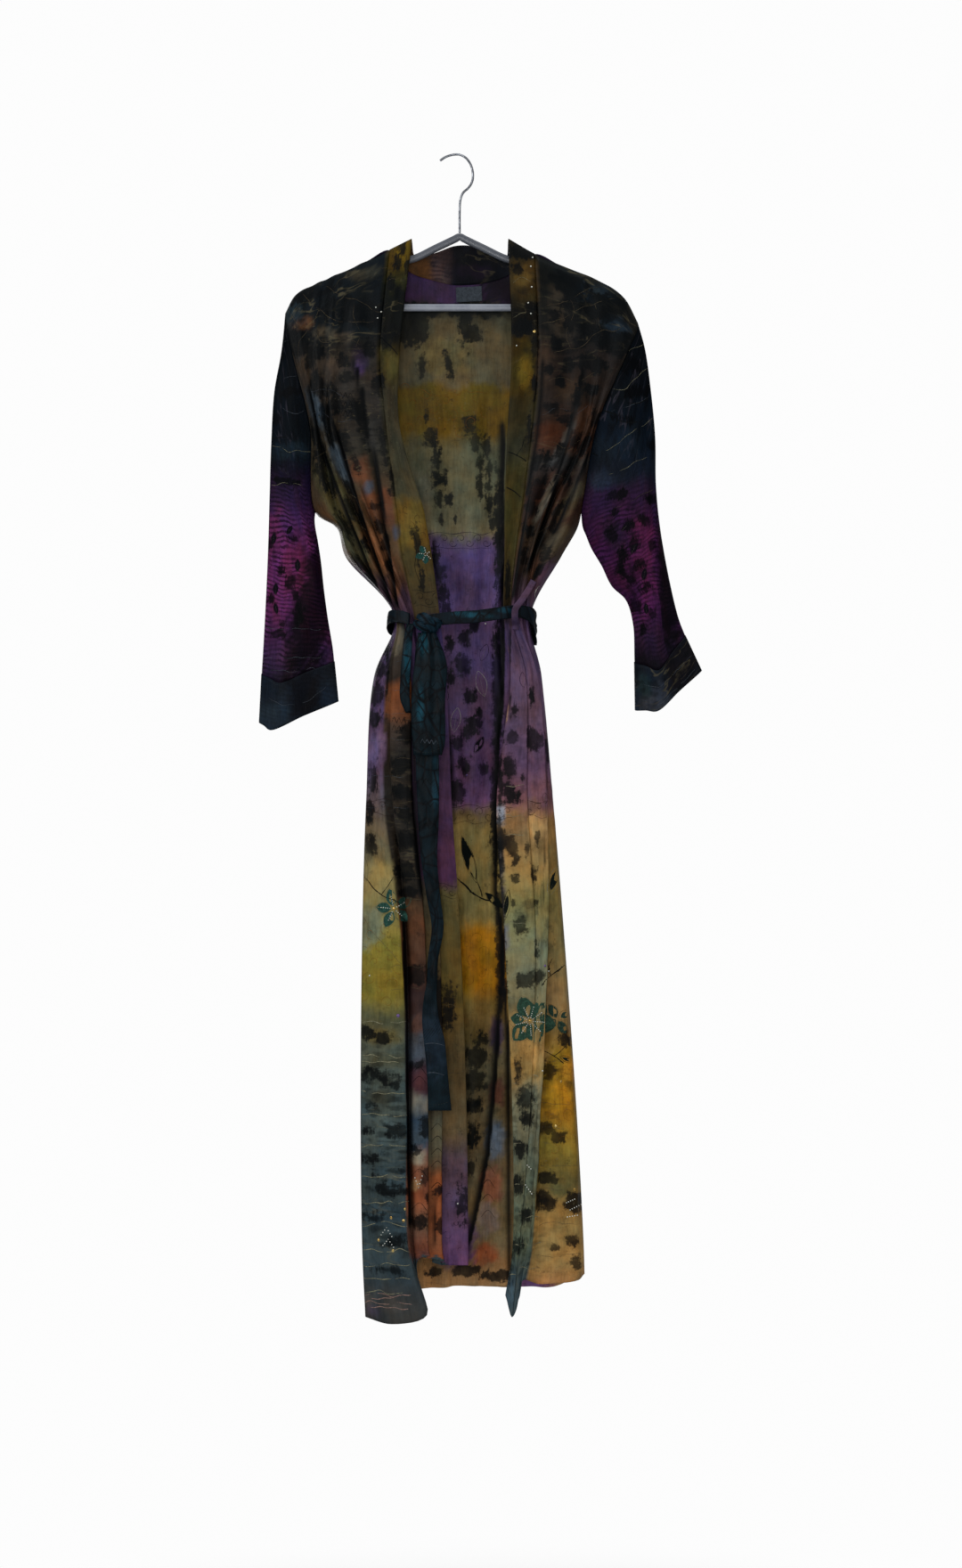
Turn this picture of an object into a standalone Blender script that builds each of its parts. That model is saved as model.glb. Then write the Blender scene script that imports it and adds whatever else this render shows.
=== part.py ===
"""A long open kimono robe with its tie belt, on a clothes hanger, in metres with +Z up.

The front faces -Y. The origin is the inner top of the hanger's hook. Each cut and sewn piece is one
solid: a cloth wall laid through sections that come from short tables, in millimetres, with a row for
each fold or section. "right" and "left" are the wearer's own sides, so "right" lies at -X.
"""

import math

import bpy
import numpy as np

MM = 0.001

# Cloth and seams
WALL = 1.0
THINNEST = 0.6  # inside the tightest creases
FOLD_SHARE = 0.8
SEAM_GAP = 0.3
NECK_SEAM_GAP = 0.8  # between mid surfaces that meet at an angle
CUFF_SEAM_GAP = 0.5  # along the cloth, where the wall turns at the seam
EDGE_Y = 0.75  # half the distance between front and back where they are sewn together

# Sections of the body, as heights under the hook
YOKE, CHEST, UNDERARM, RIB, WAIST = -255, -346, -454, -511, -587
HIP, THIGH, KNEE, CALF, SHIN = -664, -823, -993, -1220, -1390
ARMPIT = -474  # between underarm and rib, where the side seams turn down
ARMPIT_SHIFT = {"right": 14.0, "left": 4.0}  # how far the side seam lies off a straight run there
ARMPIT_REACH = 30.0  # the shift fades out this far from the side seam
LEVELS = (YOKE, CHEST, UNDERARM, RIB, WAIST, HIP, THIGH, KNEE, CALF, SHIN)
OVER_ARM_DROP = 6.5  # below the shoulder line, where the cloth has passed over the hanger
OVER_ARM_Y = 7.5
ARMHOLE_Y = 10.0  # half the width of the slot between the two edges of an armhole
ARMHOLE_ROWS = (0, 4)  # knots of a side edge that bound the armhole, from shoulder to underarm

# Hanger
ARM_HALF_HEIGHT = 4.6
ARM_TIP_HALF_HEIGHT = 3.2
ARM_HALF_DEPTH = 3.8
ARM_CLEARANCE = 0.35
ARM_NECK_DIP = 9.0  # how far the arms lie under the shoulder line near the neck
ARM_TIP_DIP = 0.8
ARM_DIP_FADE = (90, 150)  # between these X the one dip passes into the other
ARM_TAPER = (150, 185)  # between these X the arm gets thinner
ARM_END_BULGE = 5.5
ARM_REACH = 196
ARM_APEX_Z = -103
ARM_NEAR_NECK = ((5, -105.5), (30, -117.5), (60, -131.5))
BAR_Z = -193.5
WIRE_RADIUS = 1.5

# Belt
BELT_HALF_WIDTH = 94.5
BELT_HALF_DEPTH = 36.5
BELT_CENTRE_X = 3.2
BELT_HALF_HEIGHT = 7.5
BELT_HALF_THICK = 3.2
BELT_ROUNDING = 3.0  # exponent of the belt's oval, 2 being an ellipse

# How far the cloth of a front lies from the middle plane, and how deep its folds are, at each section
FRONT_Y = {"yoke": 13, "chest": 16, "underarm": 19, "rib": 21}
FRONT_FOLD = {"yoke": 1.5, "chest": 3.5, "underarm": 6, "rib": 5.5}
BACK_Y = {"yoke": 14, "chest": 17, "underarm": 20, "rib": 22}
BACK_FOLD = {"yoke": 1.5, "chest": 3, "underarm": 4.5, "rib": 5.5}

# Each row is one fold line from shoulder to hem. "turn" is +1 on a ridge and -1 in a furrow above the
# waist. "waist_y", "hip_y" and "knee_y" are its distances from the middle plane. The rest are its X.
FOLD_COLUMNS = (
    "fold", "top_z", "hem_z", "turn", "waist_y", "hip_y", "knee_y",
    "top", "yoke", "chest", "underarm", "rib", "waist", "hip", "thigh", "knee", "calf", "shin", "hem",
)
FRONT_RIGHT_FOLDS = (
    ("side", -201, -1479, 0, 0.75, 0.75, 0.75,
     -222, -212, -190, -184, -145, -83, -109, -119, -124, -126, -124, -120),
    ("outer", -180, -1485, 0.2, 7, 16, 18,
     -211, -205, -186, -173, -138, -82, -100, -106, -100, -101, -98, -86),
    ("outer_edge", -171, -1471, 0.8, 12, 20, 31,
     -200, -199, -183, -163, -133, -81, -94, -97, -75, -68, -65, -41),
    ("furrow_d", -166, -1427, -0.8, 11, 18, 13,
     -188, -192, -179, -155, -126, -79, -79, -80, -68, -64, -60, -53),
    ("strip_left", -161, -1402, 0.3, 16, 32, 23,
     -179, -185, -176, -149, -120, -77, -86, -84, -61, -58, -54, -52),
    ("strip_right", -158, -1397, 0.9, 19.2, 32, 27,
     -170, -178, -173, -141, -115, -73.4, -62, -59, -43, -39, -39, -37),
    ("furrow_c", -153, -1399, -1, 15.3, 25.5, 20,
     -161, -171, -169, -133, -109, -74.6, -72, -69, -54, -50, -49, -48),
    ("rib_2", -149, -1405, 1, 21.1, 24, 18.5,
     -150, -160, -161, -125, -101, -65.1, -50, -41, -25, -22, -22, -20),
    ("furrow_b", -144, -1407, -1, 13.9, 18, 14,
     -138, -149, -152, -117, -93, -64.9, -60, -54, -41, -36, -35, -34),
    ("rib_3", -137, -1409, 1, 16.7, 14, 10.5,
     -125, -134, -133, -107, -89, -60.1, -58, -51, -37, -33, -32, -31),
    ("furrow_a", -131, -1410, -1, 16.3, 13, 9.5,
     -109, -119, -112, -96, -84, -58.7, -53, -48, -34, -30, -28, -27),
    ("seam", -120, -1411, 0, 20, 14, 10,
     -89, -101, -93, -79, -73, -56, -49, -43, -30, -25, -24, -23),
    ("free", -106, -1411, 0.4, 31.8, 16, 12,
     -61, -76, -76, -45, -35, -25, -17, -10, 1, 9, 11, 11),
)
FRONT_LEFT_FOLDS = (
    ("side", -213, -1424, 0, 0.75, 0.75, 0.75,
     227, 212, 174, 155, 129, 90, 104, 119, 133, 149, 158, 159),
    ("outer", -183, -1429, 0.3, 7, 15, 17,
     211, 202, 170, 142, 116, 89, 103, 117, 129, 144, 150, 150),
    ("furrow_s", -169, -1432, -0.9, 10, 19, 19,
     195, 191, 167, 128, 100, 88.3, 100, 111, 123, 134, 138, 137),
    ("rib_s", -161, -1432, 0.8, 15, 24, 23,
     180, 180, 163, 120, 97, 85.7, 98, 107, 115, 124, 126, 124),
    ("furrow_q", -154, -1434, -0.9, 14, 21, 18,
     166, 169, 160, 114, 94, 82.3, 93, 96, 99, 102, 102, 100),
    ("fold_edge", -148, -1427, 0.9, 20, 31, 31,
     150, 152, 149, 107, 90, 78, 99, 111, 112, 102, 88, 80),
    ("furrow_p", -142, -1447, -1, 18, 29, 29,
     135, 136, 136, 100, 84, 75, 94, 102, 107, 98, 84, 76),
    ("rib_p", -134, -1464, 1, 24, 30, 30,
     115, 118, 114, 89, 77, 70, 90, 94, 102, 93, 79, 72),
    ("seam", -125, -1474, -0.3, 23, 28, 28,
     95, 99, 92, 78, 70, 66, 84, 86, 96, 89, 75, 67),
    ("free", -106, -1447, 0.3, 30, 24, 24,
     62, 66, 61, 57, 57, 56, 64, 47, 57, 67, 67, 58),
)
BACK_FOLDS = (
    ("side_right", -201, -1479, 0, 0.75, 0.75, 0.75,
     -222, -212, -190, -184, -145, -83, -109, -119, -124, -126, -124, -120),
    ("furrow_0", -177, -1471, -0.6, 4, 11, 12,
     -208, -203, -181, -175, -139, -82.6, -106, -115, -119, -121, -119, -116),
    ("ridge_1", -166, -1463, 1, 9, 22, 26,
     -188, -188, -170, -163, -130, -81, -101, -111, -111, -114, -111, -110),
    ("furrow_1", -149, -1455, -1, 13, 14, 16,
     -150, -154, -145, -141, -116, -76, -93, -98, -96, -98, -96, -96),
    ("ridge_2", -134, -1451, 1, 21, 27, 31,
     -118, -120, -116, -111, -95, -67, -79, -82, -79, -79, -78, -77),
    ("furrow_2", -120, -1448, -1, 17, 15, 17,
     -89, -98, -91, -86, -75, -56, -64, -66, -62, -61, -60, -60),
    ("ridge_3", -146, -1447, 1, 31, 29, 33,
     -65, -68, -64, -60, -52, -42, -48, -47, -41, -39, -39, -37),
    ("furrow_3", -157, -1446, -1, 20, 17, 18,
     -35, -41, -36, -34, -30, -25, -27, -22, -19, -19, -20, -20),
    ("ridge_4", -163, -1444, 1, 32.4, 28, 30,
     -9, -12, -9, -9, -7, -7, -6, -2, -2, -3, -5, -5),
    ("furrow_4", -163, -1444, -1, 21, 18, 19,
     11, 14, 16, 16, 16, 14, 16, 18, 16, 15, 15, 15),
    ("ridge_5", -160, -1445, 1, 32, 29, 32,
     36, 39, 39, 36, 34, 32, 34, 36, 36, 35, 34, 34),
    ("furrow_5", -151, -1445, -1, 20, 16, 17,
     62, 64, 61, 57, 52, 45, 50, 54, 56, 56, 56, 56),
    ("ridge_6", -125, -1445, 1, 26, 28, 31,
     95, 96, 89, 82, 68, 58, 67, 76, 83, 86, 89, 90),
    ("furrow_6", -140, -1444, -1, 16, 15, 17,
     129, 132, 120, 107, 84, 70, 82, 95, 104, 114, 118, 120),
    ("ridge_7", -159, -1436, 1, 12, 22, 25,
     175, 175, 150, 134, 104, 83, 95, 109, 121, 134, 141, 142),
    ("furrow_7", -181, -1430, -0.6, 5, 11, 12,
     209, 200, 163, 145, 117, 88.5, 100, 114, 127, 142, 150, 151),
    ("side_left", -213, -1424, 0, 0.75, 0.75, 0.75,
     227, 212, 174, 155, 129, 90, 104, 119, 133, 149, 158, 159),
)
NECK_FOLDS = ("ridge_3", "furrow_3", "ridge_4", "furrow_4", "ridge_5", "furrow_5")
BACK_STEPS = 2
FRONT_STEPS = 2
DOWN_STEPS = 2
NECK_Y = 9.0  # the back neck hangs this far behind the middle plane, clear of the hanger
NECKBAND_BOW = 1.0

# The free upper edge of the neckband behind the neck, above each fold row of the back that it joins
NECKBAND_COLUMNS = ("fold", "free_x", "free_z", "free_y")
NECKBAND_STATIONS = (
    ("furrow_2", -61, -106, 0.75),
    ("ridge_3", -56, -128, 9.5),
    ("furrow_3", -31, -122, 8.5),
    ("ridge_4", -7, -113, 10.5),
    ("furrow_4", 14, -113, 8.5),
    ("ridge_5", 31, -118, 11.0),
    ("furrow_5", 58, -131, 9.5),
    ("ridge_6", 62, -106, 0.75),
)

# Each row is one section of a sleeve: the outer edge, the crease on its front and the inner edge
SLEEVE_COLUMNS = ("outer_x", "outer_z", "crease_x", "crease_z", "crease_y", "inner_x", "inner_z", "depth")
SLEEVE_RIGHT = (
    (-227, -250, -205, -356, 12, -185, -463, 11),
    (-236, -301, -208, -398, 13, -184, -474, 12),
    (-240, -369, -205, -440, 14, -181, -490, 13),
    (-242, -437, -198, -478, 15, -177, -516, 14),
    (-244, -505, -185, -540, 15, -173, -553, 14),
    (-247, -573, -198, -586, 16, -168, -590, 13),
    (-250, -628, -214, -634, 16, -162, -626, 13),
    (-252, -660, -229, -672, 16, -160, -644, 13),
)
CUFF_HEM_RIGHT = (-255, -721, -240, -732, 15, -155, -695, 14)
SLEEVE_LEFT = (
    (236, -246, 202, -350, 12, 157, -473, 11),
    (243, -295, 213, -390, 13, 161, -483, 12),
    (249, -358, 225, -430, 14, 168, -500, 13),
    (250, -420, 238, -462, 15, 181, -522, 14),
    (255, -473, 247, -500, 15, 194, -548, 14),
    (268, -545, 252, -566, 16, 212, -566, 13),
    (279, -590, 252, -622, 16, 221, -596, 13),
    (287, -611, 252, -656, 16, 223, -645, 13),
)
CUFF_HEM_LEFT = (308, -656, 251, -708, 15, 224, -706, 14)
SLEEVE_SAMPLES = 24
SLEEVE_SWELL = 0.25  # how far the cloth beside the front crease swells, as a share of the depth
SLEEVE_BACK = ((0.72, 0.75), (0.45, 1.0), (0.2, 0.75))  # shares along and behind a section

# The hook's wire from its tip over the top and down to the hanger
HOOK_ROUTE = (
    (-25, -6.2), (-18, -1.5), (-10, 1.2), (0, 1.5), (8.5, -3.2), (14.8, -13), (17, -25),
    (15.5, -34), (11, -41), (4.5, -47), (1, -56), (0, -72), (0, -98.1),
)

# Belt pieces that hang: the left and right edge and the distance in front at each height
STRIP_COLUMNS = ("z", "left_x", "right_x", "y")
BELT_TAIL = (
    (-609.6, -52, -30, 41), (-640, -56, -30, 41), (-690, -56, -30, 40), (-765, -55, -26, 40),
    (-845, -52, -26, 40), (-896, -48, -28, 39), (-943, -41, -24, 38), (-981, -35, -20, 37),
    (-1023, -40, -27, 37), (-1050, -41, -28, 37), (-1066, -44, -29, 37), (-1095, -47, -26, 37),
    (-1122, -45, -19, 37), (-1163, -41, -15, 36), (-1212, -39, -10, 36),
)
BELT_END = (
    (-608.8, -47, -30, 46), (-648, -56, -16, 50), (-695, -60, -18, 51), (-747, -59, -18, 50),
    (-764, -57, -22, 49),
)
BELT_LOOP = (
    (-598.0, -66, -58, 33), (-612, -69, -59, 41), (-630, -71, -60, 46), (-668, -74, -62.5, 47), (-694, -74, -62.5, 47),
    (-711, -67, -61, 46),
)
# A carrier's ends lie on the cloth, and between them it stands clear of the belt: X, Z and, where it
# is off the cloth, its distance from the middle plane. The left one shows in front, the right one is
# behind the right side.
CARRIER_ROUTE = {
    "left": (
        (94, -543, None), (91, -548, None), (88, -553, None), (79, -568, 38), (70.5, -580, 41),
        (70, -592, 41), (71, -600, None), (71, -605, None),
    ),
    "right": (
        (-86, -546, None), (-85, -551, None), (-84, -556, None), (-82, -569, 34), (-80, -582, 37),
        (-80, -596, 35), (-81, -606, None), (-81, -611, None),
    ),
}
CARRIER_WIDTH = 8.0
CARRIER_SPARE = 0.9  # the cloth isn't level under a carrier's width
KNOT_CENTRE = (-40, -45, -600)
KNOT_SIZE = (17, 10, 9.5)
KNOT_OVER_BELT = 4.0  # how far the knot reaches over the ends of the belt round the waist

LABEL_SIZE = (33, 19)
LABEL_CENTRE = (12, -175)
LABEL_TILT = math.radians(3)

COLOURS = {
    "silk_dark": (0.045, 0.042, 0.030),
    "silk_back": (0.130, 0.095, 0.060),
    "silk_band": (0.110, 0.080, 0.025),
    "silk_sleeve": (0.060, 0.020, 0.070),
    "silk_cuff": (0.030, 0.035, 0.050),
    "silk_belt": (0.008, 0.035, 0.050),
    "silk_carrier": (0.120, 0.060, 0.140),
    "label_cloth": (0.300, 0.320, 0.320),
    "hanger_plastic": (0.550, 0.560, 0.600),
    "hook_steel": (0.300, 0.310, 0.330),
}


def clear_objects():
    for thing in list(bpy.data.objects):
        bpy.data.objects.remove(thing, do_unlink=True)


def material(name, roughness=0.45, metallic=0.0):
    made = bpy.data.materials.get(name)
    if made is None:
        made = bpy.data.materials.new(name)
        made.use_nodes = True
        shader = made.node_tree.nodes["Principled BSDF"]
        shader.inputs["Base Color"].default_value = (*COLOURS[name], 1.0)
        shader.inputs["Roughness"].default_value = roughness
        shader.inputs["Metallic"].default_value = metallic
    return made


def smooth(knots, steps, axis=0, closed=False):
    """Curve through the knots along an axis, with steps pieces between two knots.

    Each piece is a cubic. Its slope at a knot weighs the chords on both sides by the square roots of
    their lengths, so long and short stretches meet without overshoot.
    """
    points = np.moveaxis(np.asarray(knots, float), axis, 0)
    if closed:
        points = np.concatenate([points[-1:], points, points[:2]])
    span = np.maximum(np.sqrt(np.linalg.norm(np.diff(points, axis=0), axis=-1)), 1e-6)[..., None]
    chord = np.diff(points, axis=0) / span
    slope = np.empty_like(points)
    across = (points[2:] - points[:-2]) / (span[1:] + span[:-1])
    slope[1:-1] = chord[:-1] - across + chord[1:]
    slope[0] = chord[0]
    slope[-1] = chord[-1]
    if closed:
        points, slope, span = points[1:-1], slope[1:-1], span[1:-1]
    pieces = []
    for step in range(steps):
        t = step / steps
        a = 2 * t**3 - 3 * t**2 + 1
        b = t**3 - 2 * t**2 + t
        c = 3 * t**2 - 2 * t**3
        d = t**3 - t**2
        pieces.append(
            a * points[:-1] + b * span * slope[:-1] + c * points[1:] + d * span * slope[1:]
        )
    woven = np.stack(pieces, axis=1)
    woven = woven.reshape(-1, *points.shape[1:])
    if not closed:
        woven = np.concatenate([woven, points[-1:]])
    return np.moveaxis(woven, 0, axis)


def mesh_object(name, points, faces, cloth, roughness=0.45, metallic=0.0):
    mesh = bpy.data.meshes.new(name)
    mesh.from_pydata((points * MM).tolist(), [], faces)
    mesh.materials.append(material(cloth, roughness, metallic))
    mesh.update()
    mesh.shade_smooth()
    thing = bpy.data.objects.new(name, mesh)
    bpy.context.scene.collection.objects.link(thing)
    return thing


def normals_of(grid, closed=False):
    """Unit normals at a grid's points, each the mean of those of the quads that meet there."""
    ring = np.concatenate([grid, grid[:1]]) if closed else grid
    quads = np.cross(ring[1:, 1:] - ring[:-1, :-1], ring[:-1, 1:] - ring[1:, :-1])
    quads /= np.linalg.norm(quads, axis=-1, keepdims=True)
    quads = np.pad(quads, ((0, 0), (1, 1), (0, 0)), mode="edge")
    if closed:
        quads = np.concatenate([quads[-1:], quads])
    else:
        quads = np.pad(quads, ((1, 1), (0, 0), (0, 0)), mode="edge")
    normals = quads[1:, 1:] + quads[:-1, 1:] + quads[1:, :-1] + quads[:-1, :-1]
    return normals / np.linalg.norm(normals, axis=-1, keepdims=True)


def triangles_of(index, points):
    """The triangles of a grid's quads, each quad split along its shorter diagonal."""
    a, b = index[:-1, :-1].ravel(), index[1:, :-1].ravel()
    c, d = index[1:, 1:].ravel(), index[:-1, 1:].ravel()
    first = np.linalg.norm(points[a] - points[c], axis=1)
    second = np.linalg.norm(points[b] - points[d], axis=1)
    short = (first <= second)[:, None]
    one = np.where(short, np.stack([a, b, c], axis=1), np.stack([a, b, d], axis=1))
    other = np.where(short, np.stack([a, c, d], axis=1), np.stack([b, c, d], axis=1))
    return np.concatenate([one, other])


def half_walls(grid, wall):
    """Half the wall at each point: less in a tight fold, so that its two sides can't cross there.

    Where two legs of length L meet at an opening angle a, the wall stays under L sin(a / 2) each side.
    """
    legs = np.diff(grid, axis=0)
    lengths = np.linalg.norm(legs, axis=-1)
    units = legs / lengths[..., None]
    straightness = (units[1:] * units[:-1]).sum(axis=-1)
    reach = np.full(grid.shape[:2], np.inf)
    reach[1:-1] = np.minimum(lengths[1:], lengths[:-1]) * np.sqrt((1 + straightness) / 2)
    padded = np.pad(reach, ((1, 1), (0, 0)), constant_values=np.inf)
    limit = np.minimum(np.minimum(padded[:-2], padded[2:]), reach)
    return np.clip(FOLD_SHARE * limit, THINNEST / 2, wall / 2)[..., None]


def cloth(name, grid, colour, wall=WALL, closed=False, normals=None):
    """A closed wall of cloth through a grid of points, half of its thickness on each side of them."""
    if normals is None:
        normals = normals_of(grid, closed)
    half = wall / 2 if closed else half_walls(grid, wall)
    outer = grid + normals * half
    inner = grid - normals * half
    count = grid.shape[0] * grid.shape[1]
    front = np.arange(count).reshape(grid.shape[:2])
    if closed:
        front = np.concatenate([front, front[:1]])
    back = front + count
    rims = [(front[:, 0], back[:, 0]), (back[:, -1], front[:, -1])]
    if not closed:
        rims += [(back[0], front[0]), (front[-1], back[-1])]
    faces = triangles_of(front, grid.reshape(-1, 3))
    sides = faces.tolist() + (faces[:, ::-1] + count).tolist()
    for one, other in rims:
        sides += np.stack([one[:-1], other[:-1], other[1:], one[1:]], axis=-1).tolist()
    points = np.concatenate([outer.reshape(-1, 3), inner.reshape(-1, 3)])
    return mesh_object(name, points, sides, colour)


def side_rows(rows):
    """The rows of a table that lie on the side seams, by the wearer's side."""
    found = [dict(zip(FOLD_COLUMNS, row)) for row in rows if row[0].startswith("side")]
    return {"left" if at["underarm"] > 0 else "right": at for at in found}


def fold_knots(rows, side):
    """Knots of a panel, one line for each fold row. side is -1 for a front and +1 for the back."""
    lines = []
    base, fold = (FRONT_Y, FRONT_FOLD) if side < 0 else (BACK_Y, BACK_FOLD)
    for row in rows:
        at = dict(zip(FOLD_COLUMNS, row))
        edge = at["fold"].startswith("side")
        neck = side > 0 and at["fold"] in NECK_FOLDS
        top_y = NECK_Y if neck else EDGE_Y
        line = [(at["top"], side * top_y, at["top_z"])]
        over_y = NECK_Y + 0.5 if neck else OVER_ARM_Y
        line.append((at["top"], side * (4.5 if edge else over_y), at["top_z"] - OVER_ARM_DROP))
        for level, z in zip(("yoke", "chest", "underarm", "rib"), LEVELS):
            depth = base[level] + at["turn"] * fold[level]
            if edge:
                depth = ARMHOLE_Y if z > UNDERARM else EDGE_Y
            line.append((at[level], side * depth, z))
        share = (UNDERARM - ARMPIT) / (UNDERARM - RIB)
        armpit = np.array(line[-2]) * (1 - share) + np.array(line[-1]) * share
        for name, row_at_side in side_rows(rows).items():
            away = abs(at["underarm"] - row_at_side["underarm"])
            armpit[0] += ARMPIT_SHIFT[name] * max(0.0, 1 - away / ARMPIT_REACH)
        line.insert(-1, tuple(armpit))
        line.append((at["waist"], side * at["waist_y"], WAIST))
        for level, z in zip(("hip", "thigh"), LEVELS[5:]):
            line.append((at[level], side * at["hip_y"], z))
        for level, z in zip(("knee", "calf", "shin"), LEVELS[7:]):
            line.append((at[level], side * at["knee_y"], z))
        line.append((at["hem"], side * at["knee_y"], at["hem_z"]))
        lines.append(line)
    return np.array(lines, float)


def panel_grid(rows, side, steps_across):
    down = smooth(fold_knots(rows, side), DOWN_STEPS, axis=1)
    return smooth(down, steps_across, axis=0)


def make_fronts():
    """Both fronts, and the neckband's two long stretches that continue them to the free edge."""
    edges = {}
    for side_name, rows in (("right", FRONT_RIGHT_FOLDS), ("left", FRONT_LEFT_FOLDS)):
        grid = panel_grid(rows, -1, FRONT_STEPS)
        edges[side_name] = grid[0]
        normals = normals_of(grid)
        seam = FRONT_STEPS * (len(rows) - 2)
        front, band = grid[: seam + 1], grid[seam:].copy()
        toward = band[1] - band[0]
        band[0] += toward / np.linalg.norm(toward, axis=-1, keepdims=True) * SEAM_GAP
        for name, piece, facing, colour in (
            ("front_", front, normals[: seam + 1], "silk_dark"),
            ("neckband_", band, normals[seam:], "silk_band"),
        ):
            cloth(name + side_name, piece, colour, normals=facing)
    return edges


def make_back():
    """The back, and the neckband's stretch behind the neck, which rises from the back's top edge."""
    grid = panel_grid(BACK_FOLDS, 1, BACK_STEPS)
    cloth("back", grid[::-1], "silk_back")
    names = [row[0] for row in BACK_FOLDS]
    at = dict(zip(NECKBAND_COLUMNS, zip(*NECKBAND_STATIONS)))
    first, last = (names.index(at["fold"][k]) * BACK_STEPS for k in (0, -1))
    seam = grid[first : last + 1, 0]
    free = smooth(np.stack([at["free_x"], at["free_y"], at["free_z"]], axis=1), BACK_STEPS)
    rise = free - seam
    rise /= np.linalg.norm(rise, axis=-1, keepdims=True)
    seam = seam + rise * NECK_SEAM_GAP
    middle = (seam + free) / 2 + np.array([0, NECKBAND_BOW, 0])
    band = smooth(np.stack([seam, middle, free], axis=1), 2, axis=1)
    cloth("neckband_back", band, "silk_band")
    return {"right": grid[0], "left": grid[-1]}


def even(line, count):
    """A line's points spread evenly along its length."""
    run = np.concatenate([[0], np.cumsum(np.linalg.norm(np.diff(line, axis=0), axis=1))])
    wanted = np.linspace(0, run[-1], count)
    return np.stack([np.interp(wanted, run, line[:, k]) for k in range(3)], axis=1)


def armhole_ring(front_edge, back_edge, outward):
    """The ring where a sleeve meets its armhole, moved out from both panels by the seam's gap."""
    half = SLEEVE_SAMPLES // 2
    first, last = (row * DOWN_STEPS for row in ARMHOLE_ROWS)
    front = even(front_edge[first : last + 1], half + 1)
    back = even(back_edge[first : last + 1], half + 1)
    front[[0, -1], 1] = 0.0
    ring = np.concatenate([front, back[-2:0:-1]])
    return ring + np.array([outward * (WALL / 2 + NECK_SEAM_GAP), 0, 0])


def sleeve_ring(row):
    """A closed section: outer edge, front crease, inner edge and a rounded back, as an even spline."""
    at = dict(zip(SLEEVE_COLUMNS, row))
    outer = np.array([at["outer_x"], 0.0, at["outer_z"]])
    inner = np.array([at["inner_x"], 0.0, at["inner_z"]])
    crease = np.array([at["crease_x"], -at["crease_y"], at["crease_z"]])
    depth = np.array([0.0, at["depth"], 0.0])
    along = inner - outer
    knots = [
        outer,
        (outer + crease) / 2 - depth * SLEEVE_SWELL,
        crease,
        (crease + inner) / 2 - depth * SLEEVE_SWELL,
        inner,
        *(outer + along * share + depth * rise for share, rise in SLEEVE_BACK),
    ]
    steps = 8
    ring = smooth(np.array(knots), steps, closed=True)
    half = SLEEVE_SAMPLES // 2
    middle = steps * 4
    front = even(ring[: middle + 1], half + 1)
    back = even(np.concatenate([ring[middle:], ring[:1]]), half + 1)
    return np.concatenate([front, back[1:-1]])


def make_sleeves(front_edges, back_edges):
    plan = (
        ("right", SLEEVE_RIGHT, CUFF_HEM_RIGHT, -1),
        ("left", SLEEVE_LEFT, CUFF_HEM_LEFT, 1),
    )
    for name, sleeve_rows, cuff_hem, outward in plan:
        first = armhole_ring(front_edges[name], back_edges[name], outward)
        rings = np.stack([first] + [sleeve_ring(row) for row in sleeve_rows])
        around = rings.transpose(1, 0, 2)
        hem = sleeve_ring(cuff_hem)
        down = hem - rings[-1]
        start = rings[-1] + down / np.linalg.norm(down, axis=1, keepdims=True) * CUFF_SEAM_GAP
        cuff = np.stack([start, (start + hem) / 2, hem], axis=1)
        if outward < 0:
            around = around[::-1]
            cuff = cuff[::-1]
        cloth("sleeve_" + name, around, "silk_sleeve", closed=True)
        cloth("cuff_" + name, cuff, "silk_cuff", closed=True)


def swept(name, centres, sideways, upward, colour, closed=False, sides=10, **look):
    """A solid rod whose section is an oval with the two half axes given at each centre."""
    turn = np.linspace(0, 2 * np.pi, sides, endpoint=False)
    rings = (
        centres[:, None]
        + np.cos(turn)[None, :, None] * sideways[:, None]
        + np.sin(turn)[None, :, None] * upward[:, None]
    )
    count = len(centres)
    index = np.arange(count * sides).reshape(count, sides)
    index = np.concatenate([index, index[:, :1]], axis=1)
    if closed:
        index = np.concatenate([index, index[:1]])
    quads = np.stack([index[:-1, :-1], index[:-1, 1:], index[1:, 1:], index[1:, :-1]], axis=-1)
    faces = quads.reshape(-1, 4).tolist()
    if not closed:
        faces.append(index[0, :-1][::-1].tolist())
        faces.append(index[-1, :-1].tolist())
    return mesh_object(name, rings.reshape(-1, 3), faces, colour, **look)


def across_path(centres, upward, closed=False):
    """Unit vectors across a path, square to its direction and to the upward side."""
    if closed:
        ahead = np.roll(centres, -1, axis=0) - np.roll(centres, 1, axis=0)
    else:
        ahead = np.gradient(centres, axis=0)
    across = np.cross(upward, ahead)
    return across / np.linalg.norm(across, axis=1, keepdims=True)


def shoulder_line(rows):
    """The shoulder's X and Z from neck to tip, read from a front's fold rows."""
    line = sorted((row[FOLD_COLUMNS.index("top")], row[FOLD_COLUMNS.index("top_z")]) for row in rows)
    return np.array(line, float)


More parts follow.
